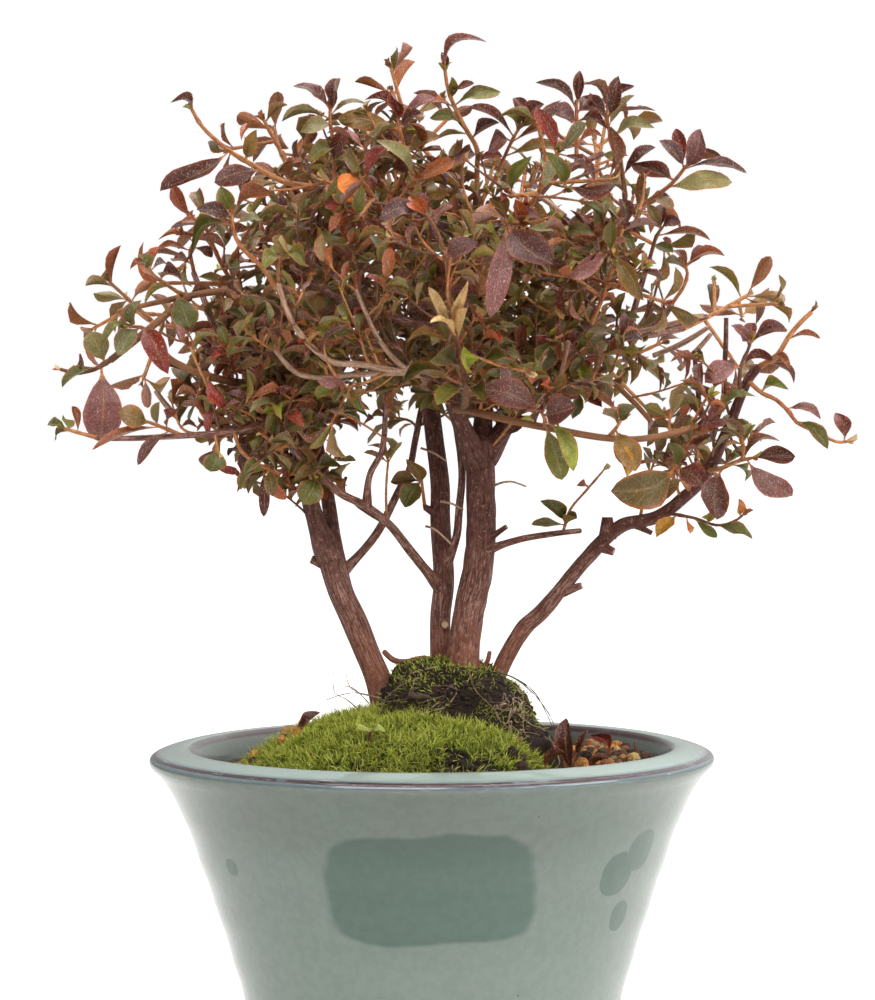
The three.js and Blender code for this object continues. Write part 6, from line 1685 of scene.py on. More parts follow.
def make_pot(settings):
    """The glazed pot, turned, with its three drain holes."""
    outline = [[0, FOOT_RISE], [FOOT_EDGE - 6, FOOT_RISE], [FOOT_EDGE - 3, 0], [FOOT_EDGE - 0.8, 0]]
    for stretch, step in ((OUTER_WALL, 2.5), (LIP, 0.7), (INNER_WALL, 8)):
        outline.extend(smooth_line([[0, *point] for point in stretch], step)[:, 1:])
    outline.append([0, FLOOR_THICKNESS])

    def thrown(radius, height, angles):
        """The slight unevenness of a hand-thrown wall, with its rings on the outside only."""
        sway = 0.35 * np.sin(2 * angles + 0.6) + 0.2 * np.sin(3 * angles + height / 40)
        rings = 0.16 * np.sin(height / 2.6 + 0.5 * np.sin(angles))
        inner = (height < 119) & (np.arange(len(outline)) > len(outline) - INSIDE_ROWS)[:, None]
        share = np.clip(height / 60, 0, 1) * (radius > 20)
        return radius + (sway + rings * ~inner) * share, height

    shape = Shape()
    shape.add(*lathe(outline, settings.pot_sides, thrown))
    pot = shape.object("glazed_pot", [glaze_finish(settings)])
    drill_drain_holes(pot)
    place_piece(pot, "celadon_glaze", "pot")


def drill_drain_holes(pot):
    """Cuts the drain holes and keeps the result as the pot's own mesh."""
    shape = Shape()
    for turn in np.radians(DRAIN_TURNS):
        x, y = DRAIN_RING * math.cos(turn), DRAIN_RING * math.sin(turn)
        shape.add(*tube([[x, y, -5], [x, y, 5], [x, y, 20]], [DRAIN_RADIUS] * 3, 32)[:2])
    drill = shape.object("drain_drill", [])
    cut = pot.modifiers.new("drain_holes", "BOOLEAN")
    cut.object, cut.operation, cut.solver = drill, "DIFFERENCE", "EXACT"
    bpy.context.view_layer.update()
    pot.data = bpy.data.meshes.new_from_object(pot.evaluated_get(bpy.context.evaluated_depsgraph_get()))
    pot.modifiers.clear()
    bpy.data.objects.remove(drill)


def make_netting():
    """Crossed threads of drainage netting, cut to a disc."""
    shape = Shape()
    for k in np.arange(-MESH_RADIUS + 1, MESH_RADIUS, MESH_PITCH):
        half = math.sqrt(MESH_RADIUS**2 - k**2)
        for flip in (0, 1):
            ends = np.array([[-half, k], [0, k], [half, k]])[:, ::-1 if flip else 1]
            line = np.column_stack([ends, np.full(3, MESH_HEIGHT + 0.25 * (flip - 0.5))])
            shape.add(*tube(line, [MESH_THREAD] * 3, 6)[:2])
    place_piece(shape.object("drainage_netting", [mesh_finish()]), "drainage_mesh", "drainage_mesh")


def add_crumbs(shape, places, sizes, rng, rows=3, columns=6, **values):
    """Rough crumbs at the given places. values may hold one row for each crumb."""
    ball, faces = ball_patch(rows, columns)
    for i, (place, size) in enumerate(zip(places, sizes)):
        lumps = 1 + 0.3 * ripple(ball * 2.2, rng.integers(SEEDS), 3)[:, None]
        stretch = rng.uniform(0.7, 1.2, 3)
        given = {name: value[i] for name, value in values.items()}
        shape.add(place + ball * lumps * size * stretch, faces, **given)


def make_potting_mix(settings):
    """The crumbly mix that the mound stands in, from the netting up to below the lip."""
    def crumbled(radius, height, angles):
        spots = polar(radius, angles) / 3.0
        return radius, height + 0.8 * ripple(spots, 5) * (height > 100)

    top = [[radius, SOIL_TOP - 0.5] for radius in [*np.linspace(71.5, 2, 34), 0]]
    shape = Shape()
    shape.add(*lathe(MIX_WALL + top, 120, crumbled))
    rng = np.random.default_rng(11)
    turn = rng.uniform(0, 2 * math.pi, MIX_CRUMBS)
    radius, sizes = rng.uniform(45, 72.4, MIX_CRUMBS), rng.uniform(0.5, 1.3, MIX_CRUMBS)
    add_crumbs(shape, polar(radius, turn, SOIL_TOP + 0.3 * sizes), sizes, rng)
    finish = earth_finish("potting_mix", settings.soil_light, settings.soil_dark, 180.0)
    place_piece(shape.object("potting_mix_crumb", [finish]), "potting_mix", "potting_mix")


def mound_surface(turn, share):
    """A point of the root mound: share is 0 at its foot and 1 on its top."""
    outline = np.asarray(MOUND_OUTLINE, float)
    rows = np.linspace(0, 1, len(outline))
    radius, height = (np.interp(share, rows, outline[:, k]) for k in (0, 1))
    uneven = 1 + MOUND_UNEVENNESS * (np.sin(3 * turn + 5 * share) + 0.6 * np.sin(5 * turn + 11 * share))
    x = MOUND_MIDDLE[0] + radius * uneven * np.cos(turn)
    y = MOUND_MIDDLE[1] + radius * uneven * np.sin(turn)
    spots = np.stack([x, y, height * np.ones_like(x)], axis=-1)
    bulge = 1.7 * ripple(spots / 4.5, 3) + 0.9 * ripple(spots / 1.8, 4)
    return np.stack([x + bulge * np.cos(turn), y + bulge * np.sin(turn), height + 0.8 * bulge], axis=-1)


def make_root_mound(settings):
    """The dark root mass, with wiry roots over it and earth between them."""
    rows, columns = 46, 110
    turns, shares = np.meshgrid(circle(columns), np.linspace(0, 1, rows))
    shape = Shape(root_place=4)
    points = mound_surface(turns, shares).reshape(-1, 3)
    shape.add(points, ring_faces(rows, columns), EARTH, root_place=[0, 0, 0, 0.2])
    rng = np.random.default_rng(21)
    for _ in range(settings.root_count):
        turn, share = rng.uniform(0, 2 * math.pi), rng.uniform(0.45, 1.0)
        drift, fall, line = rng.normal(0, 0.11), rng.uniform(0.015, 0.045), []
        for _ in range(rng.integers(6, 14)):
            line.append(mound_surface(np.array(turn), np.array(share)))
            drift += rng.normal(0, 0.05)
            turn, share = turn + drift, max(share - fall, 0.25)
        line = np.array(line) + rng.normal(0, 0.25, (len(line), 3)) + [0, 0, rng.uniform(0.1, 0.6)]
        add_root(shape, line, rng.uniform(0.12, 0.36), rng)
    for line in LOOSE_ROOTS:
        add_root(shape, line, 0.24, rng)
    add_root(shape, FAT_ROOT, 1.3, rng, 0.1)
    for _ in range(TANGLE_ROOTS):
        steps = rng.normal(0, 1.6, (6, 3)) + [0, 0, -1.1]
        line = PALE_TANGLE + rng.normal(0, 3.4, 3) + np.cumsum(steps, axis=0)
        add_root(shape, line, rng.uniform(0.14, 0.3), rng, 0.9)
    sizes = rng.uniform(0.3, 1.2, MOUND_CRUMBS)
    turns, shares = rng.uniform(0, 2 * math.pi, MOUND_CRUMBS), rng.uniform(0.4, 0.97, MOUND_CRUMBS)
    add_crumbs(shape, mound_surface(turns, shares), sizes, rng)
    earth = earth_finish("root_mass", settings.root_dark, settings.mound_dark, 200.0)
    place_piece(shape.object("root_mass", [earth, root_finish(settings)]), "root_mass", "root_mound")


def add_root(shape, line, radius, rng, palest=0.4):
    """A wiry root; the palest are rare."""
    line = smooth_line(line, 1.5)
    radii = np.linspace(radius, radius * 0.45, len(line)) * (1 + 0.2 * rng.normal(size=len(line)))
    pale = palest * (1 if palest > 0.8 else 2 * rng.random() ** 2.5)
    add_bar(shape, "root_place", line, np.maximum(radii, 0.1), 4 if radius < 1 else 9, pale)


def scallop(turn):
    """How far the moss cushion's edge bulges out at a turn."""
    return 1 + 0.03 * np.sin(5 * turn) + 0.02 * np.sin(9 * turn + 1)


def moss_height(x, y):
    """How high the moss cushion stands at a place, or nothing outside it."""
    spots = np.stack([x, y], axis=-1)
    out = (spots - MOSS_MIDDLE) / MOSS_REACH
    share = np.hypot(out[..., 0], out[..., 1]) / scallop(np.arctan2(out[..., 1], out[..., 0]))
    rise = MOSS_RISE * np.clip(1 - share**2, 0, 1) ** MOSS_ROUNDNESS
    lumps = 1.5 * ripple(spots / 9, 14) + 0.6 * ripple(spots / 3.5, 15)
    at_x, at_y, reach, height = MOSS_SHOULDER
    shoulder = height * np.exp(-((x - at_x) ** 2 + (y - at_y) ** 2) / reach**2)
    top = SOIL_TOP + rise + shoulder + lumps * np.clip((1 - share) * 6, 0, 1)
    return np.where(share < 1, top, np.nan)


def moss_bed_height(x, y, outside=SOIL_TOP):
    """The same, with a plain height outside the cushion."""
    return np.nan_to_num(moss_height(x, y), nan=outside)


def add_strands(shape, roots, ways, lengths, rng):
    """Fine curved moss strands, each a pointed ribbon in three joints."""
    count = len(roots)
    bend = rng.normal(0, 0.95, (count, 3))
    side = np.cross(ways, bend)
    side *= 1 / lengths_of(side)
    rows, ways, middle = [], ways / lengths_of(ways), roots
    for half in STRAND_HALVES:
        rows += [middle - half * side, middle + half * side]
        ways = ways + bend / 3
        ways = ways / lengths_of(ways)
        middle = middle + ways * lengths[:, None] / 3
    points = np.stack([*rows, middle], axis=1).reshape(-1, 3)
    first = 7 * np.arange(count)[:, None]
    quads = np.concatenate([first + [0, 1, 3, 2], first + [2, 3, 5, 4]])
    places = np.zeros((count, 7, 3))
    places[..., 0] = [0, 0, 0.33, 0.33, 0.67, 0.67, 1]
    places[..., 1] = rng.random((count, 1))
    shape.add(points, [quads, first + [4, 5, 6]], STRAND, tuft_place=places.reshape(-1, 3))


def moss_roots(count, rng):
    """Where the strands of the cushion stand: clear of the mound, the rim and the bare earth."""
    spots = MOSS_MIDDLE + rng.uniform(-1, 1, (3 * count, 2)) * MOSS_REACH
    x, y = spots.T
    z = moss_height(x, y)
    middle, reach = BARE_EARTH
    bare = (((spots - middle) / reach) ** 2).sum(-1) < 1 + 0.5 * ripple(spots / 2, 36)
    grown = ~bare | (rng.random(len(x)) < 0.08)
    keep = ~np.isnan(z) & (np.hypot(x, y) < MOSS_LIMIT) & ~inside_mound(x, y, z) & grown
    return x[keep][:count], y[keep][:count], z[keep][:count]


def make_moss(settings):
    """The moss cushion: a dark bed with bright strands all over it, and some on the root mass."""
    shape = Shape(tuft_place=3)
    rows, columns = 34, 120
    shares = np.cos(np.linspace(0, math.pi / 2, rows)) * 0.985
    share, turn = np.meshgrid(shares, circle(columns), indexing="ij")
    x = MOSS_MIDDLE[0] + MOSS_REACH[0] * share * scallop(turn) * np.cos(turn)
    y = MOSS_MIDDLE[1] + MOSS_REACH[1] * share * scallop(turn) * np.sin(turn)
    points = np.stack([x, y, moss_bed_height(x, y) - MOSS_BED_DEPTH], axis=-1)
    shape.add(points.reshape(-1, 3), ring_faces(rows, columns), EARTH)
    rng = np.random.default_rng(31)
    count = settings.moss_count
    x, y, z = moss_roots(count, rng)
    slopes = [
        moss_bed_height(x - dx, y - dy, 0) - moss_bed_height(x + dx, y + dy, 0)
        for dx, dy in ((1, 0), (0, 1))
    ]
    spots = np.stack([x, y], axis=-1)
    lean = np.stack([ripple(spots / 1.6, 33), ripple(spots / 1.6, 34), np.zeros(len(x))], axis=-1)
    ways = np.stack([*np.clip(slopes, -4, 4), np.full(len(x), 3.0)], axis=-1) / 3
    ways += 1.3 * lean + rng.normal(0, 0.5, (len(x), 3))
    ways[:, 2] = np.abs(ways[:, 2]) + 0.1
    length = mm(settings.moss_length)
    lengths = length * rng.uniform(0.4, 1.2, len(x)) * (1 + 0.45 * ripple(spots / 2.2, 35))
    add_strands(shape, np.stack([x, y, z - MOSS_BED_DEPTH], axis=-1), ways, lengths, rng)
    turns, shares = rng.uniform(0, 2 * math.pi, count // 5), rng.uniform(0.42, 0.97, count // 5)
    places = mound_surface(turns, shares)
    places = places[ripple(places / 5, 17) > -0.12]
    ways = places - MOUND_HEART + rng.normal(0, 12, places.shape)
    add_strands(shape, places, ways, length * rng.uniform(0.3, 0.7, len(places)), rng)
    middle, reach = BARE_EARTH
    spots = np.array(middle) + rng.uniform(-1, 1, (BARE_CRUMBS, 2)) * reach
    heights = moss_bed_height(*spots.T) - rng.uniform(1.2, 2.8, BARE_CRUMBS)
    add_crumbs(shape, np.column_stack([spots, heights]), rng.uniform(0.5, 1.6, BARE_CRUMBS), rng)
    bed = earth_finish("moss_bed", settings.root_dark, settings.mound_dark, 300.0)
    place_piece(shape.object("moss_cushion_shoots", [bed, moss_finish(settings)]), "moss", "moss_cushion")


def inside_mound(x, y, z):
    radius = np.hypot(x - MOUND_MIDDLE[0], y - MOUND_MIDDLE[1])
    outline = np.asarray(MOUND_OUTLINE, float)
    return radius < np.interp(z, outline[:, 1], outline[:, 0]) - 1.5


def gravel_heap(turn):
    """How much higher the gravel lies at a turn, most of all at the tree's right."""
    return GRAVEL_HEAP * np.clip(np.cos(turn - 0.3), 0, 1) ** 2


def make_gravel(settings):
    """Baked clay grains round the mound, over a thin bed."""
    rng = np.random.default_rng(41)
    shape = Shape(grain_tint=4)
    rows, columns = 14, 90
    turns = np.radians(GRAVEL_FROM + GRAVEL_SWEEP * np.linspace(0, 1, columns))
    radius, turn = np.meshgrid(np.linspace(GRAVEL_INNER, GRAVEL_OUTER, rows), turns, indexing="ij")
    height = SOIL_TOP + 1.6 + 0.9 * ripple(polar(radius, turn) / 4, 42) + gravel_heap(turn)
    points = polar(radius, turn, height).reshape(-1, 3)
    shape.add(points, sheet_faces(rows, columns), grain_tint=[*linear(GRAVEL_BED), 1])
    count = settings.gravel_count
    turn = np.radians(GRAVEL_FROM + GRAVEL_SWEEP * rng.random(count))
    radius = np.sqrt(rng.uniform(GRAVEL_INNER**2, (GRAVEL_OUTER - 1.6) ** 2, count))
    sizes = mm(settings.gravel_size) / 2 * rng.uniform(0.45, 1.15, count)
    places = polar(radius, turn, SOIL_TOP + 1.4 + gravel_heap(turn) + rng.uniform(0, 2.6, count))
    moss = moss_height(places[:, 0], places[:, 1])
    keep = np.isnan(moss) | (rng.random(count) < 0.03)
    places[:, 2] = np.maximum(places[:, 2], np.nan_to_num(moss, nan=0))
    colours = rng.choice(len(GRAIN_TINTS), count, p=GRAIN_SHARES)
    tints = linear(GRAIN_TINTS)[colours] * rng.uniform(0.75, 1.2, (count, 1))
    tints = np.concatenate([tints, np.ones((count, 1))], axis=1)
    add_crumbs(shape, places[keep], sizes[keep], rng, 4, 7, grain_tint=tints[keep])
    piece = shape.object("clay_gravel", [stone_finish()], smooth=False)
    place_piece(piece, "gravel", "gravel_top_dressing")


def add_stem(shape, points, radii, sides):
    """A thin woody stem with a round end."""
    line = smooth_line(points, 0.8)
    add_bar(shape, "leaf_place", *rounded_end(line, np.linspace(*radii, len(line))), sides, 1)
    return line


def make_fallen_leaf(foliage):
    """Curled dry leaves and a bit of twig on the gravel."""
    shape, rng = Shape(**LEAF_VALUES), np.random.default_rng(51)
    for leaf in FALLEN_LEAVES:
        style = leaf_style(rng)
        style.update(fold=0.8, cup=0.5, wave=0.2, twist=0.7, shade=0.8)
        add_leaf(shape, single_leaf(*leaf), style, CURLED_LEAF)
    add_stem(shape, TWIG_BIT, [0.6, 0.4], 8)
    finishes = [leaf_finish(foliage), shoot_finish(foliage)]
    place_piece(shape.object("dry_leaf_curl", finishes), "dry_leaf", "fallen_leaf")


def make_seedling(foliage):
    """A seedling with two round seed leaves and a pair of true leaves."""
    shape, rng = Shape(**LEAF_VALUES), np.random.default_rng(61)
    head = add_stem(shape, SEEDLING_STEM, [0.5, 0.4], 10)[-1] - [0, 0, 0.4]
    for reach, breadth, turn in SEEDLING_LEAVES:
        way = np.array([math.cos(math.radians(turn)), math.sin(math.radians(turn)) - 0.25, 0.45])
        style = leaf_style(rng)
        style.update(belly=0.9, point=0.42, twist=0.1, fold=0.15, cup=0.1, shade=1.1)
        leaf = single_leaf(head, head + unit(way) * reach, 20, breadth, 0.5, "sprout")
        add_leaf(shape, leaf, style, FINE_LEAF)
    finishes = [leaf_finish(foliage), shoot_finish(foliage)]
    place_piece(shape.object("seedling_leaves", finishes), "seedling", "seedling")


# ---------------------------------------------------------------- wood

# Kinds of bark, as the bark_age value.
SAWN, OLD, WORN, THIN, BARE, YOUNG, TAN = -1.0, 0.0, 0.2, 0.45, 0.6, 1.0, 2.0
TAN_SLENDER = 0.76  # how thick a tan limb is drawn
DEAD_TWIG_RADII = [0.42, 0.3]
BARE_TWIG_RADII = [0.95, 0.75]
BARE_TWIG_AGES = {3: OLD, 4: OLD, 8: BARE}  # by their number in the list; the others are tan
# Rings of a sawn scar, from outside in: share of its radius, height and kind of bark.
SCAR_ROWS = [
    (1.5, -1.2, OLD), (1.35, 0.1, OLD), (1.12, 0.45, OLD), (0.92, 0.25, OLD), (0.84, 0.0, SAWN),
    (0.3, 0.05, SAWN),
]


def add_limb(shape, limb, sides, step, rng, collar=True, gnarled=0.05, age=OLD, cut=False):
    """A limb with a collar where it leaves its bearer, ridges along it and a round or sawn end."""
    control = np.asarray(limb["at"], float)
    line = smooth_line(control, step)
    run = run_of(line)
    radius = np.interp(run / run[-1], run_of(control) / run_of(control)[-1], limb_radii(limb))
    if collar:
        radius = radius * (1 + 0.5 * np.exp(-((run / (2.2 * limb["r"][0] + 2.5)) ** 2)))
    if not cut:
        line, radius = rounded_end(line, radius)
        run = run_of(line)
    run = run[:, None]
    angles = circle(sides)
    drift = 0.02 * run * rng.choice([-1, 1])
    ridges = sum(
        np.sin(k * (angles + drift) + rng.uniform(0, 6.3) + 1.3 * np.sin(run / 9 + k)) / k**0.5
        for k in (2, 3, 5, 8)
    ) / 3
    around = polar(3 * np.ones_like(run), angles, run / 3.5)
    lumps = ripple(around, rng.integers(SEEDS), 4)
    uneven = radius[:, None] * (1 + gnarled * (ridges + 1.1 * lumps))
    points, faces, places = tube(line, uneven, sides)
    ages = np.full(len(points), age)
    if cut:
        ages[-1] = SAWN * 1.6
    shape.add(points, faces, bark_place=places + [0, 0, rng.uniform(0, 400)], bark_age=ages)


def add_scar(shape, middle, way, radius, rng):
    """A round sawn scar with a raised lip of new bark round it."""
    middle, way, sides = np.array(middle, float), unit(np.array(way, float)), 20
    out = ring_round(way, squared(REFERENCE, way), sides)
    wobble = 1 + 0.06 * ripple(out * 1.5, rng.integers(SEEDS), 3)[:, None]
    rings = [middle + out * radius * wide * wobble + way * rise for wide, rise, _ in SCAR_ROWS]
    points = np.concatenate([*rings, [middle + way * 0.05]])
    ages = np.append(np.repeat([age for *_, age in SCAR_ROWS], sides), SAWN)
    last = (len(SCAR_ROWS) - 1) * sides
    faces = [ring_faces(len(SCAR_ROWS), sides), fan_faces(last + sides, last, sides)]
    shape.add(points, faces, bark_place=points - [*middle[:2], 0], bark_age=ages)


def make_wood(settings):
    """Trunks, limbs, stubs, bare roots and sawn scars, as one piece of old wood."""
    rng = np.random.default_rng(71)
    shape = Shape(bark_place=3, bark_age=1)
    step = mm(settings.ring_step)
    for limb in TRUNKS.values():
        add_limb(shape, limb, 34, step * 0.7, rng, gnarled=0.075)
    for limb in FORKS.values():
        add_limb(shape, limb, 24, step * 0.8, rng, gnarled=0.06)
    for name, limb in {**LIMBS, **CROWN_LIMBS}.items():
        age = YOUNG if name in YOUNG_LIMBS else THIN if name in CROWN_LIMBS else WORN
        if name in TAN_LIMBS:
            age, limb = TAN, {**limb, "r": [TAN_SLENDER * radius for radius in limb["r"]]}
        add_limb(shape, limb, 14, step, rng, age=age)
    for limb in STUBS:
        add_limb(shape, limb, 16, 0.6, rng, gnarled=0.08, cut=True)
    for root in ROOTS:
        add_limb(shape, root, 16, 0.7, rng, False, 0.1)
    for twig in DEAD_TWIGS:
        add_limb(shape, bough(*DEAD_TWIG_RADII, *twig), 8, 0.7, rng, False, 0.12, TAN)
    for i, twig in enumerate(BARE_TWIGS):
        age = BARE_TWIG_AGES.get(i, TAN)
        add_limb(shape, bough(*BARE_TWIG_RADII, *twig), 12, 0.8, rng, False, 0.14, age, cut=True)
    for middle, way, radius in SAWN_SCARS:
        add_scar(shape, middle, way, radius, rng)
    place_piece(shape.object("old_wood", [bark_finish(settings)]), "bark", "trunks_and_branches")


# ---------------------------------------------------------------- the crown

def make_sprays(settings, finishes, sprays):
    """One piece for each leafy spray of the solids."""
    rng = np.random.default_rng(81)
    for name, spray in sprays.items():
        shape = Shape(**LEAF_VALUES)
        grid, breadth = (FINE_LEAF, 1) if name in CHOSEN_SPRAYS else (CROWN_LEAF, 0.8)
        draw_spray(shape, spray, rng, grid, 7, settings.hair_density, mm(settings.hair_length), breadth)
        if name == "front_left_high":
            style = leaf_style(rng)
            style.update(belly=0.7, point=0.5, fold=0.1, cup=0.1, twist=0, droop=0, shade=1.1)
            add_leaf(shape, single_leaf(*ORANGE_LEAF), style, FINE_LEAF)
        place_piece(shape.object(f"leafy_{name}", finishes), "foliage", f"spray_{name}")


def make_filling(settings, finishes, sprays):
    """The many small shoots inside the crown, in a few pieces by where they stand."""
    rng = np.random.default_rng(91)
    size = [mm(settings.fill_leaf_short), mm(settings.fill_leaf_long)]
    wedges = {}
    for shoot in grow_filling(sprays, mm(settings.fill_spacing), size, settings.fill_passes):
        x, y, _ = shoot["twigs"][0]["points"][0] - [5, 0, 0]
        side = "left" if x < -25 else "right" if x > 35 else "middle"
        depth = "front" if y < -15 else "back" if y > 15 else "centre"
        wedges.setdefault(f"{side}_{depth}", []).append(shoot)
    for name, members in wedges.items():
        shape = Shape(**LEAF_VALUES)
        grid, sides = (SMALL_LEAF, 6) if name.endswith("front") else (DEEP_LEAF, 4)
        for shoot in members:
            draw_spray(shape, shoot, rng, grid, sides, settings.hair_density * 0.4, mm(settings.hair_length))
        place_piece(shape.object(f"small_shoots_{name}", finishes), "foliage")


# ---------------------------------------------------------------- settings

def length_setting(name, description, millimetres):
    return bpy.props.FloatProperty(
        name=name, description=description, default=millimetres * MM, min=0, unit="LENGTH",
        subtype="DISTANCE", precision=5,
    )


def colour_setting(name, description, rgb):
    return bpy.props.FloatVectorProperty(
        name=name, description=description, default=tuple(float(part) for part in linear(rgb)), min=0, max=1,
        size=3, subtype="COLOR",
    )


def count_setting(name, description, default):
    return bpy.props.IntProperty(name=name, description=description, default=default, min=1)


def number_setting(name, description, default, **limits):
    return bpy.props.FloatProperty(name=name, description=description, default=default, **limits)


class PotSettings(bpy.types.PropertyGroup):
    pot_sides: count_setting("Sides", "Flat sides that the turned wall is made of", 200)
    glaze: colour_setting("Glaze", "Grey celadon of the wall", [121, 136, 126])
    glaze_grey: colour_setting("Glaze clouds", "Greyer clouds in the glaze", [117, 125, 117])
    glaze_pale: colour_setting("Pale glaze", "Paler glaze towards the foot", [152, 167, 156])
    # painted reflection: this teal also fills the wide patch on the front, a dark gap reflected in the glaze
    glaze_pool_and_reflection: colour_setting("Glaze pools", "Teal where the glaze ran thick", [74, 98, 87])
    glaze_speck: colour_setting("Specks", "Iron specks in the glaze", [74, 70, 64])
    # partly painted light: paler glaze on top of the lip, also painted lighter as if lit from above
    lip_top_paler_and_lit: colour_setting("Lip", "Pale teal on top of the lip", [160, 179, 170])
    lip_brown: colour_setting("Lip line", "Brown where the glaze thins on the outer lip", [74, 56, 56])
    lip_fringe: colour_setting("Lip fringe", "Blue beside the lip line", [104, 116, 132])
    lip_rust: colour_setting("Inner lip line", "Rust where the glaze thins on the inner lip", [78, 56, 58])
    # painted glints: pale strokes where light catches the crazing along the lip
    lip_crazing_glint: colour_setting("Lip scratches", "Pale scratches along the lip", [214, 220, 218])
    clay: colour_setting("Clay", "Bare clay of the foot", [128, 96, 74])


class GroundSettings(bpy.types.PropertyGroup):
    root_count: count_setting("Roots", "Fine roots over the mound", 210)
    root_dark: colour_setting("Dark roots", "Colour of the darkest roots", [56, 38, 26])
    root_pale: colour_setting("Pale roots", "Colour of the palest roots", [218, 188, 158])
    mound_dark: colour_setting("Root mass", "Dark earth between the roots", [44, 32, 20])
    moss_count: count_setting("Moss shoots", "Strands in the moss cushion", 25000)
    moss_length: length_setting("Moss length", "Length of a moss strand", 4.3)
    moss_green: colour_setting("Moss green", "Green low on a moss strand", [116, 138, 28])
    moss_tip: colour_setting("Moss tips", "Bright tips of the moss", [210, 216, 84])
    moss_yellow: colour_setting("Moss yellow", "Yellow among the moss tips", [214, 204, 96])
    moss_brown: colour_setting("Moss brown", "Dark foot of the moss", [46, 44, 16])
    gravel_count: count_setting("Gravel grains", "Grains of baked clay", 1100)
    gravel_size: length_setting("Gravel size", "Width of a usual grain", 4.4)
    soil_light: colour_setting("Soil crumbs", "Lighter crumbs of the potting mix", [92, 66, 46])
    soil_dark: colour_setting("Soil", "Dark potting mix", [44, 32, 24])


class WoodSettings(bpy.types.PropertyGroup):
    ring_step: length_setting("Ring step", "Distance between the rings of a limb", 1.6)
    bark_mid: colour_setting("Bark", "Reddish brown of the old bark", [118, 63, 46])
    bark_pale: colour_setting("Bark patches", "Paler patches of the bark", [140, 102, 90])
    bark_line: colour_setting("Bark lines", "Fine pale lines along the bark", [184, 142, 126])
    bark_tan: colour_setting("Tan bark", "Thin pale bark of the limbs in front", [196, 158, 132])
    bark_dark: colour_setting("Bark furrows", "Dark furrows of the bark", [60, 34, 27])
    bark_rust: colour_setting("Foot of the trunks", "Rust of the bark near the ground", [150, 82, 50])
    sawn_wood: colour_setting("Sawn wood", "Pale sawn ends", [216, 186, 156])
    shoot_colour: colour_setting("Young bark", "Rust tan of young shoots", [168, 112, 66])
    shoot_old: colour_setting("Older shoots", "Brown of last year's shoots", [118, 78, 56])


class FoliageSettings(bpy.types.PropertyGroup):
    heart_green: colour_setting("Leaf heart", "Green at the heart of a leaf", [98, 108, 34])
    leaf_back: colour_setting("Leaf back", "Paler underside of a leaf", [142, 116, 74])
    leaf_rib: colour_setting("Ribs", "Pale ribs of a leaf", [186, 150, 104])
    leaf_rim: colour_setting("Rim", "Reddening along a leaf's rim", [176, 98, 54])
    hair_colour: colour_setting("Hairs", "Fine hairs on leaves and shoots", [222, 202, 184])
    shoot_colour: colour_setting("Shoots", "Rust tan of young shoots", [208, 144, 88])
    shoot_old: colour_setting("Older shoots", "Brown of last year's shoots", [174, 96, 50])
    shoot_wood: colour_setting("Woody shoots", "Brown of the shoots that have turned to wood", [92, 62, 48])
    hair_length: length_setting("Hair length", "Length of a hair", 1.2)
    hair_density: number_setting("Hairs", "Hairs for each millimetre of leaf", 1.6, min=0, max=10)
    fill_spacing: length_setting("Shoot spacing", "Distance between small shoots on a limb", 9)
    fill_leaf_short: length_setting("Short leaf", "Length of the shortest filling leaf", 6)
    fill_leaf_long: length_setting("Long leaf", "Length of the longest filling leaf", 12.5)
    fill_passes: count_setting("Passes", "How often the crown is filled up", 2)


class StageSettings(bpy.types.PropertyGroup):
    floor_colour: colour_setting("Floor", "Pale studio floor", [228, 228, 226])
    floor_glow: number_setting("Floor glow", "Evens the floor to white", 0.7, min=0)
    lens: number_setting("Lens", "Focal length", 112.4, min=1, unit="CAMERA")
    pitch: number_setting("Pitch", "How far the camera looks down", math.radians(1.638), subtype="ANGLE")
    roll: number_setting("Roll", "Turn of the camera about its view", math.radians(-0.2), subtype="ANGLE")
    sky: number_setting("Sky", "Strength of the even light all round", 0.8, min=0)
    key_power: number_setting("Key light", "Power of the light above the front", 35, min=0, unit="POWER")


# ---------------------------------------------------------------- operators

class BONSAI_OT_pot(bpy.types.Operator):
    """Turn and glaze the pot"""
    bl_idname = "bonsai.pot"
    bl_label = "Glazed Pot"

    def execute(self, context):
        make_pot(context.scene.bonsai_pot)
        return {"FINISHED"}


class BONSAI_OT_filling(bpy.types.Operator):
    """Lay the drainage netting and the potting mix"""
    bl_idname = "bonsai.filling"
    bl_label = "Netting and Potting Mix"

    def execute(self, context):
        make_netting()
        make_potting_mix(context.scene.bonsai_ground)
        return {"FINISHED"}


class BONSAI_OT_root_mound(bpy.types.Operator):
    """Build the root mass and its wiry roots"""
    bl_idname = "bonsai.root_mound"
    bl_label = "Root Mass"

    def execute(self, context):
        make_root_mound(context.scene.bonsai_ground)
        return {"FINISHED"}


class BONSAI_OT_moss(bpy.types.Operator):
    """Grow the moss cushion"""
    bl_idname = "bonsai.moss"
    bl_label = "Moss"

    def execute(self, context):
        make_moss(context.scene.bonsai_ground)
        return {"FINISHED"}


class BONSAI_OT_gravel(bpy.types.Operator):
    """Scatter the clay gravel"""
    bl_idname = "bonsai.gravel"
    bl_label = "Gravel"

    def execute(self, context):
        make_gravel(context.scene.bonsai_ground)
        return {"FINISHED"}


class BONSAI_OT_small_plants(bpy.types.Operator):
    """Lay the dry leaf and set the seedling"""
    bl_idname = "bonsai.small_plants"
    bl_label = "Dry Leaf and Seedling"

    def execute(self, context):
        make_fallen_leaf(context.scene.bonsai_foliage)
        make_seedling(context.scene.bonsai_foliage)
        return {"FINISHED"}


class BONSAI_OT_wood(bpy.types.Operator):
    """Build the trunks and limbs in old bark"""
    bl_idname = "bonsai.wood"
    bl_label = "Trunks and Limbs"

    def execute(self, context):
        make_wood(context.scene.bonsai_wood)
        return {"FINISHED"}


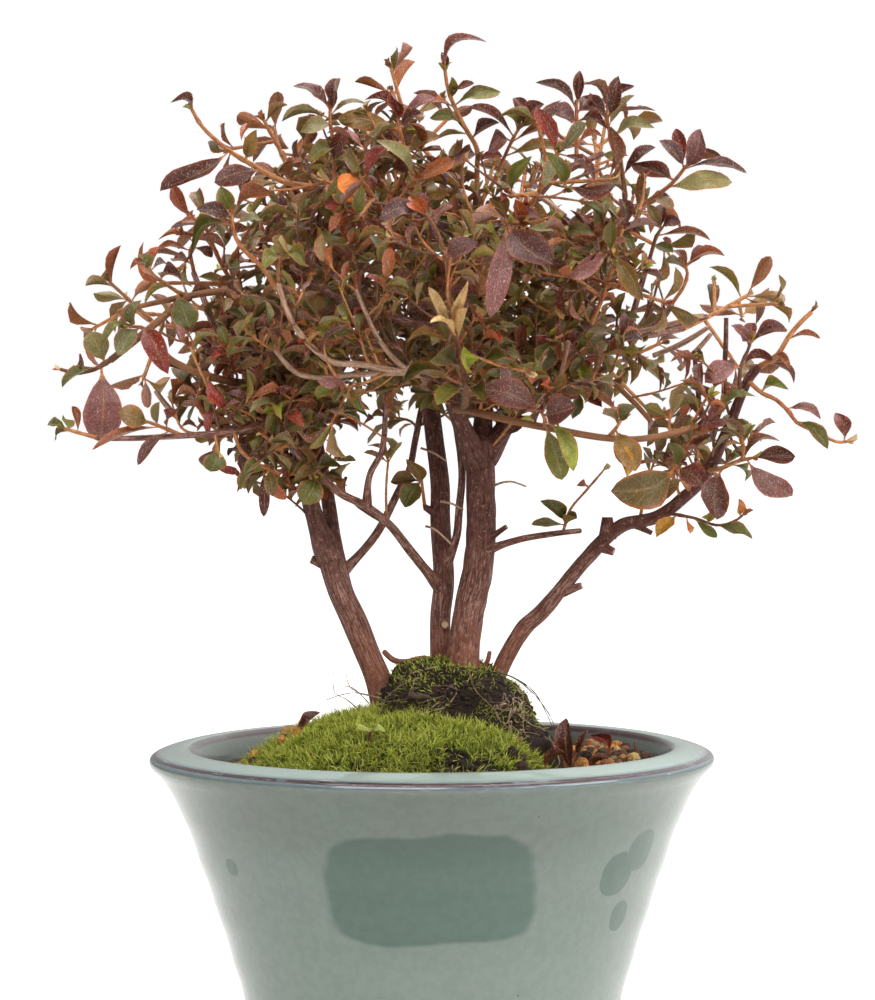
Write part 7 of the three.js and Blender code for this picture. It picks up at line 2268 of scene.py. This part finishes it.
class BONSAI_OT_foliage(bpy.types.Operator):
    """Grow the leafy sprays and the small shoots between them"""
    bl_idname = "bonsai.foliage"
    bl_label = "Foliage"

    def execute(self, context):
        settings = context.scene.bonsai_foliage
        finishes = [leaf_finish(settings), shoot_finish(settings), hair_finish(settings)]
        sprays = grow_sprays()
        make_sprays(settings, finishes, sprays)
        make_filling(settings, finishes, sprays)
        return {"FINISHED"}


class BONSAI_OT_stage(bpy.types.Operator):
    """Set the floor, the lights and the camera"""
    bl_idname = "bonsai.stage"
    bl_label = "Studio"

    def execute(self, context):
        make_stage(context.scene, context.scene.bonsai_stage)
        return {"FINISHED"}


# The large lights: place and size in metres, and share of the key light's power.
SOFT_LIGHTS = {
    "key_light": [(-0.5, -1.6, 1.7), 1.6, 1.0], "fill_light": [(1.6, -0.8, 0.9), 1.0, 0.4],
    "top_light": [(0.1, 0.4, 1.9), 1.5, 0.7],
}
LIGHT_AIM = (0, 0, 0.2)
FLOOR_DROP = 0.0003


def make_stage(scene, settings):
    """A pale floor under an even white sky, large soft lights and the camera."""
    shape = Shape()
    shape.add(*lathe([[radius, 0] for radius in (0, 300, 900, 3000, 20000)], 96))
    floor = shape.object("studio_floor", [floor_finish(settings)])
    floor.location.z = -FLOOR_DROP
    make_sky(scene, settings)
    for name, (place, size, share) in SOFT_LIGHTS.items():
        add_soft_light(scene, name, place, size, settings.key_power * share)
    camera = bpy.data.objects.new("camera", bpy.data.cameras.new("camera"))
    camera.data.lens = settings.lens
    camera.data.sensor_width = 36
    tilt = Matrix.Rotation(math.pi / 2 - settings.pitch, 4, "X") @ Matrix.Rotation(settings.roll, 4, "Z")
    camera.matrix_world = Matrix.Translation(CAMERA_POINT * MM) @ tilt
    scene.collection.objects.link(camera)
    scene.camera = camera
    scene.view_settings.view_transform = "Standard"
    scene.view_settings.look = "None"


def add_soft_light(scene, name, place, size, power):
    """A large square light aimed at the crown, which the camera doesn't see."""
    light = bpy.data.lights.new(name, "AREA")
    light.size, light.energy = size, power
    lamp = bpy.data.objects.new(name, light)
    aim = Vector(place) - Vector(LIGHT_AIM)
    lamp.matrix_world = Matrix.Translation(place) @ aim.to_track_quat("Z", "Y").to_matrix().to_4x4()
    lamp.visible_camera = False
    scene.collection.objects.link(lamp)


def make_sky(scene, settings):
    """White to the camera; as light, brighter from above and the right, dimmer from the front."""
    world = bpy.data.worlds.new("studio_sky")
    scene.world = world
    world.use_nodes = True
    g = Graph(world.node_tree)
    x, y, z = g.parts(g.node("TexCoord").outputs["Generated"])
    strength = g.times(g.span(z, -0.3, 0.9, 0.5, 1.3), g.span(y, 0.3, -0.8, 1.0, 0.3))
    strength = g.times(g.times(strength, settings.sky), g.span(x, -0.7, 0.8, 0.32, 1.38))
    seen = g.node("LightPath").outputs["Is Camera Ray"]
    level = g.plus(g.times(strength, g.minus(1.0, seen)), seen)
    background = world.node_tree.nodes["Background"]
    background.inputs["Color"].default_value = (1, 1, 1, 1)
    g.feed(background.inputs["Strength"], level)


class BONSAI_PT_sidebar(bpy.types.Panel):
    """The bonsai's pieces in the order they are made"""
    bl_idname = "BONSAI_PT_sidebar"
    bl_label = "Azalea Bonsai"
    bl_space_type = "VIEW_3D"
    bl_region_type = "UI"
    bl_category = "Bonsai"

    def draw(self, context):
        for group in SETTING_GROUPS:
            box = self.layout.box()
            settings = getattr(context.scene, group)
            for name in type(settings).__annotations__:
                box.prop(settings, name)
        for operator in PIECE_OPERATORS:
            self.layout.operator(operator.bl_idname)


SETTING_GROUPS = {
    "bonsai_pot": PotSettings, "bonsai_ground": GroundSettings, "bonsai_wood": WoodSettings,
    "bonsai_foliage": FoliageSettings, "bonsai_stage": StageSettings,
}
PIECE_OPERATORS = [
    BONSAI_OT_pot, BONSAI_OT_filling, BONSAI_OT_root_mound, BONSAI_OT_moss, BONSAI_OT_gravel,
    BONSAI_OT_small_plants, BONSAI_OT_wood, BONSAI_OT_foliage, BONSAI_OT_stage,
]
CLASSES = [*SETTING_GROUPS.values(), *PIECE_OPERATORS, BONSAI_PT_sidebar]


def register():
    for cls in CLASSES:
        bpy.utils.register_class(cls)
    for name, group in SETTING_GROUPS.items():
        setattr(bpy.types.Scene, name, bpy.props.PointerProperty(type=group))


def unregister():
    for name in SETTING_GROUPS:
        delattr(bpy.types.Scene, name)
    for cls in reversed(CLASSES):
        bpy.utils.unregister_class(cls)


def main():
    register()
    for operator in PIECE_OPERATORS:
        family, name = operator.bl_idname.split(".")
        getattr(getattr(bpy.ops, family), name)()
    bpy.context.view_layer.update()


if __name__ == "__main__":
    main()
